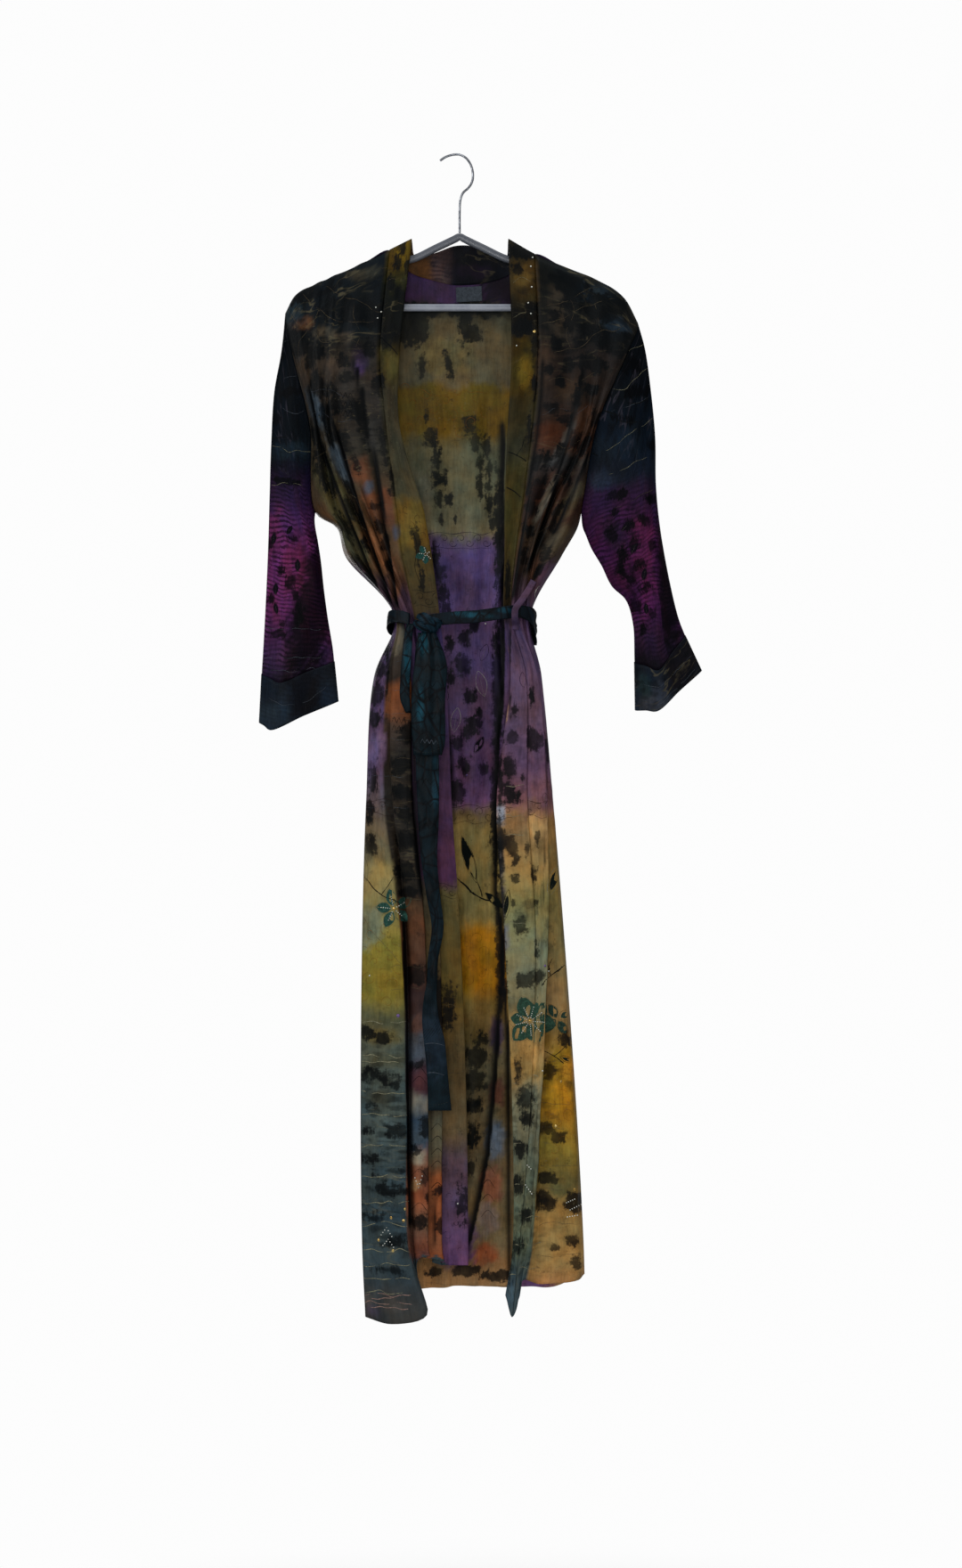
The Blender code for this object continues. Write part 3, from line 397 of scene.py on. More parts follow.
def pleated(points, fold_number, rows):
    """The surface with listed pleats, each along a line of picture points.

    The columns are first fold, last fold, side, width, depth, shade and line. On one side of the line,
    right for +1 and left for -1, stands the pleat's edge, a ridge of depth * exp(-(d / width - 1.4)^2).
    On the other lies its furrow, depth * exp(-(d / width + 0.6)^2).
    """
    px, py = picture_place(points)
    moved = points.copy()
    for first, last, side, width, depth, _, line in rows:
        xs, ys = np.array(line, float).T
        share = np.clip((py - ys[0]) / (ys[-1] - ys[0]), 0, 1)
        away = (px - np.interp(py, ys, xs)) * side / width
        shape = np.exp(-((away - 1.4) ** 2)) - np.exp(-((away + 0.6) ** 2))
        moved[..., 1] -= depth * shape * np.sqrt(np.sin(np.pi * share)) * in_folds(fold_number, first, last)
    return moved


def shaded(places, fold_number, rows):
    """The painted shade of the furrows: full on the pleat's line, gone 2.6 widths away from it on the
    furrow's side and 0.4 widths away on the edge's side.
    """
    px, py = places
    total = np.zeros(px.shape)
    for first, last, side, width, _, shade, line in rows:
        xs, ys = np.array(line, float).T
        away = (px - np.interp(py, ys, xs)) * side / width
        weight = np.clip(np.where(away < 0, 1 + away / 2.6, 1 - away / 0.4), 0, 1)
        ends = np.clip(np.minimum(py - ys[0], ys[-1] - py) / 14 + 0.4, 0, 1)
        total = np.maximum(total, weight * ends * shade * in_folds(fold_number, first, last))
    return total


def picture_place(points):
    """Where points show in the front view, in picture points."""
    nearer = CAMERA_DISTANCE / (CAMERA_DISTANCE + points[..., 1])
    px = PICTURE_SIZE[0] / 2 + (points[..., 0] - camera_x) * nearer / PICTURE_POINT
    py = PICTURE_SIZE[1] / 2 - (points[..., 2] - camera_z) * nearer / PICTURE_POINT
    return px, py


def linear(code):
    """A colour written as six hex digits of the usual screen scale, as linear light."""
    part = np.array([int(code[k : k + 2], 16) for k in (0, 2, 4)]) / 255
    return np.where(part <= 0.04045, part / 12.92, ((part + 0.055) / 1.055) ** 2.4)


def banded(places, fold_number, tables, seed):
    """The zone colours down a panel: a table is (first fold, last fold, heights with their dyes).

    Between two heights the dyes mix evenly, and the heights wander by a few picture points. The first
    table covers the whole panel, a later one only its own folds and heights.
    """
    px, py = places
    level = py + 5 * waves(px, py, seed, 46, 60) + 2.5 * waves(px, py, seed + 1, 11, 16)
    colour = np.zeros(px.shape + (3,))
    for k, (first, last, rows) in enumerate(tables):
        heights = [height for height, _ in rows]
        dyes = np.array([linear(dye) for _, dye in rows])
        mixed = np.stack([np.interp(level, heights, dyes[:, part]) for part in range(3)], axis=-1)
        reached = (k == 0) | ((level >= heights[0]) & (level <= heights[-1]))
        inside = in_folds(fold_number, first, last) * reached
        colour = np.where(inside[..., None] > 0, mixed, colour)
    return colour


def oval_distance(places, x, y, half_x, half_y, lean):
    """Distance from an oval's centre, 1 on its edge: (|a|^p + |b|^p)^(1/p), p being OVAL_POWER."""
    px, py = places
    turn = math.radians(lean)
    dx, dy = px - x, py - y
    a = (dx * math.cos(turn) + dy * math.sin(turn)) / half_x
    b = (dy * math.cos(turn) - dx * math.sin(turn)) / half_y
    return (np.abs(a) ** OVAL_POWER + np.abs(b) ** OVAL_POWER) ** (1 / OVAL_POWER)


def spotted(colour, places, fold_number, tables, seed):
    """The colour under soft spots, laid one over the other: mostly dye, some painted highlights and painted
    shade. A table belongs to a range of folds.

    Its columns are x, y, half width, half height, lean in degrees and dye.
    """
    px, py = places
    wobble = 0.2 * waves(px, py, seed, 26, 24) + 0.14 * waves(px, py, seed + 1, 9, 9)
    for (first, last), rows in tables.items():
        for x, y, half_x, half_y, lean, dye in rows:
            weight = np.clip((1.3 - oval_distance(places, x, y, half_x, half_y, lean) - wobble) / 0.7, 0, 1)
            weight = weight * weight * (3 - 2 * weight) * 0.92 * in_folds(fold_number, first, last)
            colour = colour + (linear(dye) - colour) * weight[..., None]
    return colour


def cover(places, fold_number, tables, seed):
    """How strongly a mark covers each point, 0 to 1: the strongest of soft ragged ovals.

    The columns are x, y, half width, half height, and, where they aren't 0 and 1, lean and strength.
    """
    px, py = places
    total = np.zeros(px.shape)
    wobble = 0.16 * waves(px, py, seed, 16, 14) + 0.12 * waves(px, py, seed + 1, 6, 7)
    for (first, last), rows in tables.items():
        for row in rows:
            x, y, half_x, half_y, lean, strength = row + (0, 1.0)[len(row) - 4 :]
            far = oval_distance(places, x, y, half_x, half_y, lean) + wobble
            weight = np.clip(0.5 + (1 - far) * min(max(half_x / 9, 0.8), 1.5), 0, 1) * strength
            total = np.maximum(total, weight * in_folds(fold_number, first, last))
    return total


def quads_of(index):
    """The four corners of each cell of a grid of numbered points."""
    corners = (index[:-1, :-1], index[1:, :-1], index[1:, 1:], index[:-1, 1:])
    return np.stack(corners, axis=-1).reshape(-1, 4)


def made(name, points, faces, material, smooth=True):
    """An object from points in millimetres and faces, placed in the scene with its material."""
    mesh = bpy.data.meshes.new(name)
    mesh.from_pydata((points * MM).tolist(), [], faces)
    if smooth:
        mesh.shade_smooth()
    mesh.materials.append(material)
    piece = bpy.data.objects.new(name, mesh)
    bpy.context.scene.collection.objects.link(piece)
    return piece


def coloured(mesh, name, colours):
    """Keeps a colour for each point of a mesh, of three values or with a fourth."""
    if colours.shape[1] == 3:
        colours = np.concatenate([colours, np.ones((len(colours), 1))], axis=1)
    layer = mesh.attributes.new(name, "FLOAT_COLOR", "POINT")
    layer.data.foreach_set("color", colours.astype(np.float32).ravel())


def shell(name, grid, material, paint, closed=False, thickness=SHELL, other_side=None):
    """A closed thin cloth: the grid's points moved half the thickness to each side, joined at the rims.

    paint holds the named values of each point, which both faces take over unless other_side holds
    those of the second. The map "cloth" is in metres along the cloth.
    """
    normals = normals_of(grid, closed)
    rows, columns = grid.shape[:2]
    count = rows * columns
    half = normals * thickness / 2
    points = np.concatenate([(grid + half).reshape(-1, 3), (grid - half).reshape(-1, 3)])
    front = np.arange(count).reshape(rows, columns)
    if closed:
        front = np.concatenate([front, front[:1]])
    back = front + count
    faces = [quads_of(front), quads_of(back)[:, ::-1]]
    rims = [(front[:, 0], back[:, 0]), (back[:, -1], front[:, -1])]
    if not closed:
        rims += [(back[0], front[0]), (front[-1], back[-1])]
    faces += [np.stack([one[:-1], other[:-1], other[1:], one[1:]], axis=-1) for one, other in rims]
    faces = np.concatenate(faces)
    piece = made(name, points, faces.tolist(), material)
    u, v = spread(grid)
    row_of = (faces % count) // columns
    across = u[row_of, 0]
    if closed:
        turn = np.linalg.norm(grid[-1] - grid[0], axis=-1).mean() + u[-1, 0]
        wraps = (row_of.max(axis=1) == rows - 1) & (row_of.min(axis=1) == 0)
        across = np.where(wraps[:, None] & (row_of == 0), turn, across)
    uv = np.stack([across, -v[0, (faces % count) % columns]], axis=-1) * MM
    layer = piece.data.uv_layers.new(name="cloth")
    layer.data.foreach_set("uv", uv.ravel())
    for key, values in paint.items():
        second = (other_side or paint)[key]
        both = np.concatenate([values.reshape(count, -1), second.reshape(count, -1)])
        if values.ndim == 3:
            coloured(piece.data, key, both)
        else:
            attribute = piece.data.attributes.new(key, "FLOAT", "POINT")
            attribute.data.foreach_set("value", both.astype(np.float32).ravel())
    return piece


class Recipe:
    """A material's nodes in short words: each call adds a node, links its inputs and gives its output."""

    def __init__(self, name):
        self.material = bpy.data.materials.new(name)
        self.material.use_nodes = True
        self.tree = self.material.node_tree
        self.shader = self.tree.nodes["Principled BSDF"]

    def fill(self, node, inputs):
        for key, value in inputs.items():
            socket = node.inputs[int(key[1:])] if key[0] == "_" else node.inputs[key.replace("_", " ")]
            if isinstance(value, bpy.types.NodeSocket):
                self.tree.links.new(value, socket)
            else:
                socket.default_value = value
        return node

    def add(self, kind, settings=(), **inputs):
        node = self.tree.nodes.new(kind)
        for key, value in dict(settings).items():
            setattr(node, key, value)
        return self.fill(node, inputs)

    def surface(self, **inputs):
        """The finished surface: its colour, roughness and other inputs."""
        self.fill(self.shader, inputs)
        return self.material

    def math(self, operation, a, b=0.0):
        return self.add("ShaderNodeMath", {"operation": operation}, _0=a, _1=b).outputs[0]

    def fade(self, value, low, high, start=0.0, end=1.0):
        node = self.add(
            "ShaderNodeMapRange", {"interpolation_type": "SMOOTHSTEP"},
            Value=value, From_Min=low, From_Max=high, To_Min=start, To_Max=end,
        )
        return node.outputs["Result"]

    def mix(self, share, a, b, blend="MIX"):
        node = self.add("ShaderNodeMix", {"data_type": "RGBA", "blend_type": blend}, _0=share, _6=a, _7=b)
        return node.outputs[2]

    def dyed(self, share, colour, code):
        """A colour with a share of a dye over it."""
        return self.mix(share, colour, (*linear(code), 1))

    def toned(self, colour, red, green, blue):
        """A colour with each of its parts made stronger or weaker."""
        tone = self.add("ShaderNodeCombineColor", {}, _0=red, _1=green, _2=blue).outputs[0]
        return self.mix(1.0, colour, tone, "MULTIPLY")

    def noise(self, place, scale, detail, roughness=0.5):
        grain = {"Scale": scale, "Detail": detail, "Roughness": roughness}
        return self.add("ShaderNodeTexNoise", {}, Vector=place, **grain).outputs["Fac"]

    def cells(self, place, randomness=1.0, edges=True):
        """The distance to the nearest edge between uneven cells, or to the nearest cell's middle."""
        feature = {"feature": "DISTANCE_TO_EDGE" if edges else "F1"}
        node = self.add("ShaderNodeTexVoronoi", feature, Vector=place, Scale=1.0, Randomness=randomness)
        return node.outputs["Distance"]

    def stretch(self, place, scale, turn=0.0):
        node = self.add("ShaderNodeMapping", {}, Vector=place, Rotation=(0, 0, turn), Scale=scale)
        return node.outputs["Vector"]

    def cloth_map(self):
        return self.add("ShaderNodeUVMap", {"uv_map": "cloth"}).outputs["UV"]

    def place(self):
        return self.add("ShaderNodeTexCoord").outputs["Object"]

    def along(self, place, axis):
        return self.add("ShaderNodeSeparateXYZ", {}, Vector=place).outputs[axis]

    def value_of(self, name, output="Fac"):
        return self.add("ShaderNodeAttribute", {"attribute_name": name}).outputs[output]

    def bump(self, height, strength, depth):
        self.surface(Normal=self.add(
            "ShaderNodeBump", {}, Strength=strength, Distance=depth, Height=height,
        ).outputs["Normal"])

    def crumpled(self, uv, depth, strength):
        """Satin's fine warp and its small soft crumples, as a bump."""
        weave = self.noise(self.stretch(uv, (1500.0, 420.0, 1.0)), 1.0, 2.0)
        crumple = self.noise(self.stretch(uv, (62.0, 24.0, 1.0)), 1.0, 4.0, 0.55)
        self.bump(self.math("ADD", self.math("MULTIPLY", weave, 0.16), crumple), strength, depth)


STRIPE_STEP = 0.0058
PAINTED_PLEAT_SHADE = (0.0018, 0.0022, 0.0026, 1)


def silk(name, blot_and_shadow="070a0c", vein="6b6248", stripe="100c16", stripe_lean=0.0, roughness=0.42, shine=0.05):
    """Hand dyed satin silk that takes its zones from the cloth's own points.

    ground is the zone colour. The blotch value, above one half, is a dark blotch with a feathered edge:
    mostly dye, but painted shadow where the tables lay it in long strips along the gaps between panels.
    shade is painted shade inside the pleats' furrows. marks holds the weights of fine stripes, dark
    drops, tied cells with paler wisps, and pale flecks.
    """
    n = Recipe(name)
    uv = n.cloth_map()
    marks = n.add("ShaderNodeAttribute", {"attribute_name": "marks"})
    stripes, drops, cells = n.add("ShaderNodeSeparateColor", {}, Color=marks.outputs["Color"]).outputs[:3]
    flecks = marks.outputs["Alpha"]
    cloud = n.noise(uv, 24.0, 6.0, 0.66)
    hue = n.noise(n.stretch(uv, (31.0, 19.0, 1.0)), 1.0, 4.0, 0.6)
    fleck = n.noise(uv, 160.0, 4.0, 0.65)
    streak = n.noise(n.stretch(uv, (330.0, 34.0, 1.0)), 1.0, 4.0, 0.62)
    tone = n.math("ADD", n.fade(cloud, 0.28, 0.72, 0.62, 1.36), n.fade(streak, 0.3, 0.7, -0.16, 0.16))
    warm = n.math("MULTIPLY", tone, n.fade(hue, 0.3, 0.7, 0.86, 1.16))
    cool = n.math("MULTIPLY", tone, n.fade(hue, 0.3, 0.7, 1.14, 0.84))
    colour = n.toned(n.value_of("ground", "Color"), warm, tone, cool)
    # fine stripes round the arm
    drift = n.add("ShaderNodeTexNoise", {}, Vector=uv, Scale=13.0, Detail=2.0).outputs["Color"]
    bend = {"operation": "MULTIPLY_ADD"}
    bent = n.add("ShaderNodeVectorMath", bend, _0=drift, _1=(0.012, 0.012, 0), _2=uv).outputs[0]
    fall = n.math("ADD", n.along(n.place(), "Z"), n.math("MULTIPLY", n.along(n.place(), "X"), stripe_lean))
    fall = n.math("ADD", fall, n.fade(n.noise(uv, 17.0, 2.0), 0.3, 0.7, -0.004, 0.004))
    wave = n.math("SINE", n.math("MULTIPLY", fall, 2 * math.pi / STRIPE_STEP))
    wave = n.math("ADD", wave, n.fade(fleck, 0.3, 0.7, -0.7, 0.7))
    striped = n.math("MULTIPLY", stripes, n.fade(cloud, 0.38, 0.62, 0.3, 0.95))
    colour = n.dyed(n.math("MULTIPLY", n.fade(wave, -0.4, 0.7), striped), colour, stripe)
    # dark drops in loose rows
    rows = n.cells(n.stretch(bent, (58.0, 44.0, 1.0)), 0.8, edges=False)
    ragged = n.math("ADD", rows, n.fade(fleck, 0.3, 0.7, -0.14, 0.14))
    colour = n.dyed(n.math("MULTIPLY", n.fade(ragged, 0.2, 0.42, 0.85, 0.0), drops), colour, "0e0a12")
    # tied cells: dark squares with soft pale wisps between them
    tied = n.cells(n.stretch(bent, (52.0, 84.0, 1.0)), 0.95)
    tied = n.math("ADD", tied, n.fade(fleck, 0.3, 0.7, -0.05, 0.05))
    colour = n.dyed(n.math("MULTIPLY", n.fade(tied, 0.08, 0.3, 0.0, 0.6), cells), colour, blot_and_shadow)
    drawn_out = n.noise(n.stretch(bent, (15.0, 40.0, 1.0)), 1.0, 3.0, 0.5)
    wisp = n.fade(n.math("ABSOLUTE", n.math("SUBTRACT", drawn_out, 0.5)), 0.0, 0.022, 0.5, 0.0)
    wisp = n.math("MULTIPLY", wisp, n.fade(cloud, 0.42, 0.62, 0.0, 0.8))
    colour = n.dyed(n.math("MULTIPLY", wisp, cells), colour, vein)
    # feathered dark blotches of dye, and painted shadow strips along the gaps between panels
    feather = n.fade(n.noise(uv, 75.0, 6.0, 0.75), 0.3, 0.7, -0.4, 0.4)
    feather = n.math("ADD", feather, n.fade(streak, 0.3, 0.7, -0.22, 0.22))
    blot_and_shadow_share = n.fade(n.math("ADD", n.value_of("blot_and_shadow"), feather), 0.22, 0.74)
    blot_and_shadow_share = n.math("MULTIPLY", blot_and_shadow_share, n.fade(hue, 0.3, 0.7, 0.76, 0.98))
    colour = n.dyed(blot_and_shadow_share, colour, blot_and_shadow)
    # pale flecks
    grain = n.math("MULTIPLY", n.fade(n.noise(uv, 210.0, 2.0, 0.7), 0.6, 0.72, 0.0, 0.7), flecks)
    colour = n.dyed(grain, colour, vein)
    # painted shade inside the pleats' furrows
    colour = n.mix(n.fade(n.value_of("shade"), 0.1, 0.85, 0.0, 0.97), colour, PAINTED_PLEAT_SHADE)
    n.crumpled(uv, 0.0016, 0.42)
    rough = n.fade(cloud, 0.3, 0.7, roughness - 0.06, roughness + 0.08)
    return n.surface(Base_Color=colour, Roughness=rough, Specular_IOR_Level=shine)


def painted(points, fold_number, bands, spots=None, blots_and_shadow=None, marks=None, pleats=(), *, seed):
    """All values that the silk reads, for the points of a panel: see silk.

    marks holds a table for each of its four weights by number: 0 stripes, 1 drops, 2 cells, 3 flecks.
    """
    places = picture_place(points)
    ground = banded(places, fold_number, bands, seed)
    weights = [cover(places, fold_number, (marks or {}).get(channel, {}), seed + 5) for channel in range(4)]
    return {
        "ground": spotted(ground, places, fold_number, spots or {}, seed + 2),
        "blot_and_shadow": cover(places, fold_number, blots_and_shadow or {}, seed + 3),
        "shade": shaded(places, fold_number, pleats),
        "marks": np.stack(weights, axis=-1),
    }


back_points, back_folds = panel_surface(BACK_FOLDS, 1)
back_points = wrinkled(back_points, 11, 1.0)
BACK_BANDS = (
    (0, 16, (
        (296, "2a2034"), (336, "352440"), (344, "22231f"), (362, "4c4633"), (380, "544b35"),
        (428, "564d37"), (436, "584616"), (486, "5c4a18"), (502, "56533c"), (570, "5c5a44"),
        (598, "70684e"), (608, "5a4a60"), (622, "564470"), (700, "5e4a74"), (790, "5c4668"),
        (850, "64466a"), (900, "744e72"), (914, "7c6a4a"), (930, "94804c"), (1030, "98824a"),
        (1048, "b47e1c"), (1106, "b07818"), (1126, "8c7038"), (1180, "685c40"), (1250, "6a5c40"),
        (1310, "746244"), (1380, "7a6644"), (1412, "906e48"), (1445, "9a764e"),
    )),
)
BACK_SPOTS = {(0, 16): (
    (462, 322, 24, 16, 0, "40294c"), (562, 324, 22, 22, 0, "0e0b13"), (366, 345, 46, 56, 0, "12171a"),
    (662, 345, 46, 56, 0, "12171a"), (384, 470, 28, 60, 0, "2c2822"), (640, 470, 26, 60, 0, "2c2420"),
    (500, 400, 30, 20, 0, "625838"), (470, 560, 14, 30, 0, "6c6650"), (528, 1160, 16, 14, 0, "6c5c34"),
    (558, 1160, 8, 20, 0, "40344a"), (558, 1226, 9, 16, 0, "5c3a30"), (556, 1280, 11, 20, 0, "626c78"),
    (552, 1330, 12, 22, 0, "94604a"), (548, 1368, 12, 18, 0, "8a7466"), (545, 1408, 14, 12, 0, "96502f"),
    (512, 1392, 22, 28, 0, "62426a"), (600, 1440, 20, 14, 0, "6f4a78"),
)}
BACK_BLOTS_AND_SHADOW = {(0, 16): (
    (464, 368, 18, 22), (468, 347, 34, 7), (532, 348, 30, 9), (522, 362, 7, 24), (474, 408, 4, 13),
    (504, 410, 3.5, 18, -12), (530, 374, 12, 10), (479, 468, 2, 13), (484, 492, 8, 11), (490, 515, 5, 11),
    (492, 537, 5.5, 10), (500, 537, 3, 10), (493, 560, 5, 9), (505, 560, 3.5, 9), (495, 581, 1.8, 8),
    (511, 584, 1.8, 7), (527, 477, 7, 10), (533, 496, 6, 10), (539, 520, 4, 12), (539, 545, 4, 14),
    (549, 537, 3, 18), (549, 565, 4, 13), (553, 588, 4, 10), (546, 500, 4, 12), (488, 628, 6, 11),
    (495, 647, 5, 9), (498, 665, 5, 8), (501, 684, 6, 8), (505, 724, 5, 9), (521, 716, 7, 9),
    (520, 746, 9, 12), (527, 781, 7, 9), (532, 813, 8, 9), (524, 823, 6, 8), (513, 834, 7, 8),
    # the four long narrow blots from (560, 600) down to (563, 1050) are painted shadow in the gap beside
    # the left front's edge
    (560, 600, 5, 70), (559, 770, 6, 80), (557, 910, 6, 60), (563, 1050, 6, 70), (500, 870, 5, 9, 10),
    (521, 860, 7, 10), (513, 888, 9, 13), (505, 760, 4, 12, 8), (532, 700, 5, 8), (490, 720, 5, 12),
    (538, 800, 5, 6), (543, 862, 5, 7), (534, 1188, 12, 12), (533, 1214, 13, 11), (532, 1241, 10, 9),
    (515, 1205, 6, 12), (540, 1166, 8, 9, 0, 0.8), (530, 1276, 8, 14, 14), (526, 1310, 7, 10),
    (522, 1426, 18, 6), (486, 1428, 8, 5), (560, 1432, 22, 6),
)}
BACK_MARKS = {
    1: {(0, 16): ((535, 1215, 26, 44, 0, 0.8),)},
    2: {(0, 16): ((545, 1230, 40, 60, 0, 0.5), (515, 352, 60, 16, 0, 0.5), (516, 850, 30, 40, 0, 0.3))},
    3: {(0, 16): ((520, 470, 60, 60, 0, 0.4), (530, 1000, 40, 60, 0, 0.4))},
}
# columns of pleats: first and last fold, side of the edge, width in picture points, depth in
# millimetres, shade, and the line in picture points. shade is the strength of the painted shade in
# the furrow: the first three lines follow the gap beside the left front's edge and the last the
# right front's, so their shade is painted shadow of those edges
BACK_PLEATS = (
    (0, 16, 1, 4.4, 1.0, 1.0, (
        (566, 470), (566, 600), (566, 740), (565, 790), (560, 830), (559, 910), (558, 1000), (565, 1050),
        (566, 1130))),
    (0, 16, 1, 4.6, 1.0, 1.0, ((565, 1090), (558, 1200), (549, 1295), (538, 1350), (527, 1400))),
    (0, 16, 1, 3.4, 0.5, 1.0, ((568, 1110), (572, 1180), (573, 1300), (574, 1440))),
    (0, 16, -1, 2.6, 0.5, 0.8, ((486, 600), (489, 700), (506, 850), (508, 930))),
)
back_points = seamed(pleated(back_points, back_folds, BACK_PLEATS), (0, -1), 1)
back_paint = painted(
    back_points, back_folds, BACK_BANDS, BACK_SPOTS, BACK_BLOTS_AND_SHADOW, BACK_MARKS, BACK_PLEATS, seed=21,
)
# outside, the same zones with blots of dye strewn in uneven rows, and no painted shade of pleats or gaps
strewn = np.random.default_rng(29)
OUTER_BLOTS = {(0, 16): [
    (
        x + strewn.uniform(-9, 9), y + strewn.uniform(-9, 9),
        *strewn.uniform((4, 6), (9, 13)), strewn.uniform(-14, 14), 0.95,
    )
    for y in range(352, 1430, 34)
    for x in range(372, 664, 42)
    if strewn.random() < 0.6
]}
OUTER_MARKS = {**BACK_MARKS, 2: {(0, 16): ((516, 340, 190, 50, 0, 0.8), (516, 1290, 130, 90, 0, 0.6))}}
outer_paint = painted(back_points, back_folds, BACK_BANDS, BACK_SPOTS, OUTER_BLOTS, OUTER_MARKS, seed=25)
sides = [{key: value[::-1] for key, value in paint.items()} for paint in (back_paint, outer_paint)]
if normals_of(back_points[::-1])[..., 1].mean() > 0:
    sides.reverse()
back_silk = silk("back_silk", blot_and_shadow="0a0f10", vein="6a5f42")
back = shell("robe_back", back_points[::-1], back_silk, sides[0], other_side=sides[1])
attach(back, "root")
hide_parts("back")

# Fronts and the long neckband
# Each front is one panel from the shoulder to the hem. Its last fold is the neckband, a doubled strip
# sewn to the front all the way down and pressed flat.
FRONT_RIGHT_FOLDS = (
    ("side", -201, -1479, 0, 0.75, 0.75, 0.75,
     -222, -212, -190, -184, -145, -83, -109, -119, -124, -126, -124, -120),
    ("outer", -180, -1485, 0.2, 7, 16, 18,
     -211, -205, -186, -173, -138, -82, -100, -106, -100, -101, -98, -86),
    ("outer_edge", -171, -1471, 0.8, 12, 20, 31,
     -200, -199, -183, -163, -133, -81, -94, -97, -75, -68, -65, -41),
    ("furrow_d", -166, -1427, -0.8, 11, 18, 13,
     -188, -192, -179, -155, -126, -79, -79, -80, -68, -64, -60, -53),
    ("strip_left", -161, -1402, 0.3, 16, 32, 23,
     -179, -185, -176, -149, -120, -77, -86, -84, -61, -58, -54, -52),
    ("strip_right", -158, -1397, 0.9, 19.2, 32, 27,
     -170, -178, -173, -141, -115, -73.4, -62, -59, -43, -39, -39, -37),
    ("furrow_c", -153, -1399, -1, 15.3, 25.5, 20,
     -161, -171, -169, -133, -109, -74.6, -72, -69, -54, -50, -49, -48),
    ("rib_2", -149, -1405, 1, 21.1, 24, 18.5,
     -150, -160, -161, -125, -101, -65.1, -50, -41, -25, -22, -22, -20),
    ("furrow_b", -144, -1407, -1, 13.9, 18, 14,
     -138, -149, -152, -117, -93, -64.9, -60, -54, -41, -36, -35, -34),
    ("rib_3", -137, -1409, 1, 16.7, 14, 10.5,
     -125, -134, -133, -107, -89, -60.1, -58, -51, -37, -33, -32, -31),
    ("furrow_a", -131, -1410, -1, 16.3, 13, 9.5,
     -109, -119, -112, -96, -84, -58.7, -53, -48, -34, -30, -28, -27),
    ("seam", -120, -1411, 0, 20, 14, 10,
     -89, -101, -93, -79, -73, -56, -49, -43, -30, -25, -24, -23),
    ("free", -106, -1411, 0.4, 31.8, 16, 12,
     -61, -76, -76, -45, -35, -25, -17, -10, 1, 9, 11, 11),
)
FRONT_LEFT_FOLDS = (
    ("side", -213, -1424, 0, 0.75, 0.75, 0.75,
     227, 212, 174, 155, 129, 90, 104, 119, 133, 149, 158, 159),
    ("outer", -183, -1429, 0.3, 7, 15, 17,
     211, 202, 170, 142, 116, 89, 103, 117, 129, 144, 150, 150),
    ("furrow_s", -169, -1432, -0.9, 10, 19, 19,
     195, 191, 167, 128, 100, 88.3, 100, 111, 123, 134, 138, 137),
    ("rib_s", -161, -1432, 0.8, 15, 24, 23,
     180, 180, 163, 120, 97, 85.7, 98, 107, 115, 124, 126, 124),
    ("furrow_q", -154, -1434, -0.9, 14, 21, 18,
     166, 169, 160, 114, 94, 82.3, 93, 96, 99, 102, 102, 100),
    ("fold_edge", -148, -1427, 0.9, 20, 31, 31,
     150, 152, 149, 107, 90, 78, 99, 111, 112, 102, 88, 80),
    ("furrow_p", -142, -1447, -1, 18, 29, 29,
     135, 136, 136, 100, 84, 75, 94, 102, 107, 98, 84, 76),
    ("rib_p", -134, -1464, 1, 24, 30, 30,
     115, 118, 114, 89, 77, 70, 90, 94, 102, 93, 79, 72),
    ("seam", -125, -1474, -0.3, 23, 28, 28,
     95, 99, 92, 78, 70, 66, 84, 86, 96, 89, 75, 67),
    ("free", -106, -1447, 0.3, 30, 24, 24,
     62, 66, 61, 57, 57, 56, 64, 47, 57, 67, 67, 58),
)
front_right_points, front_right_folds = panel_surface(FRONT_RIGHT_FOLDS, -1)
front_left_points, front_left_folds = panel_surface(FRONT_LEFT_FOLDS, -1)
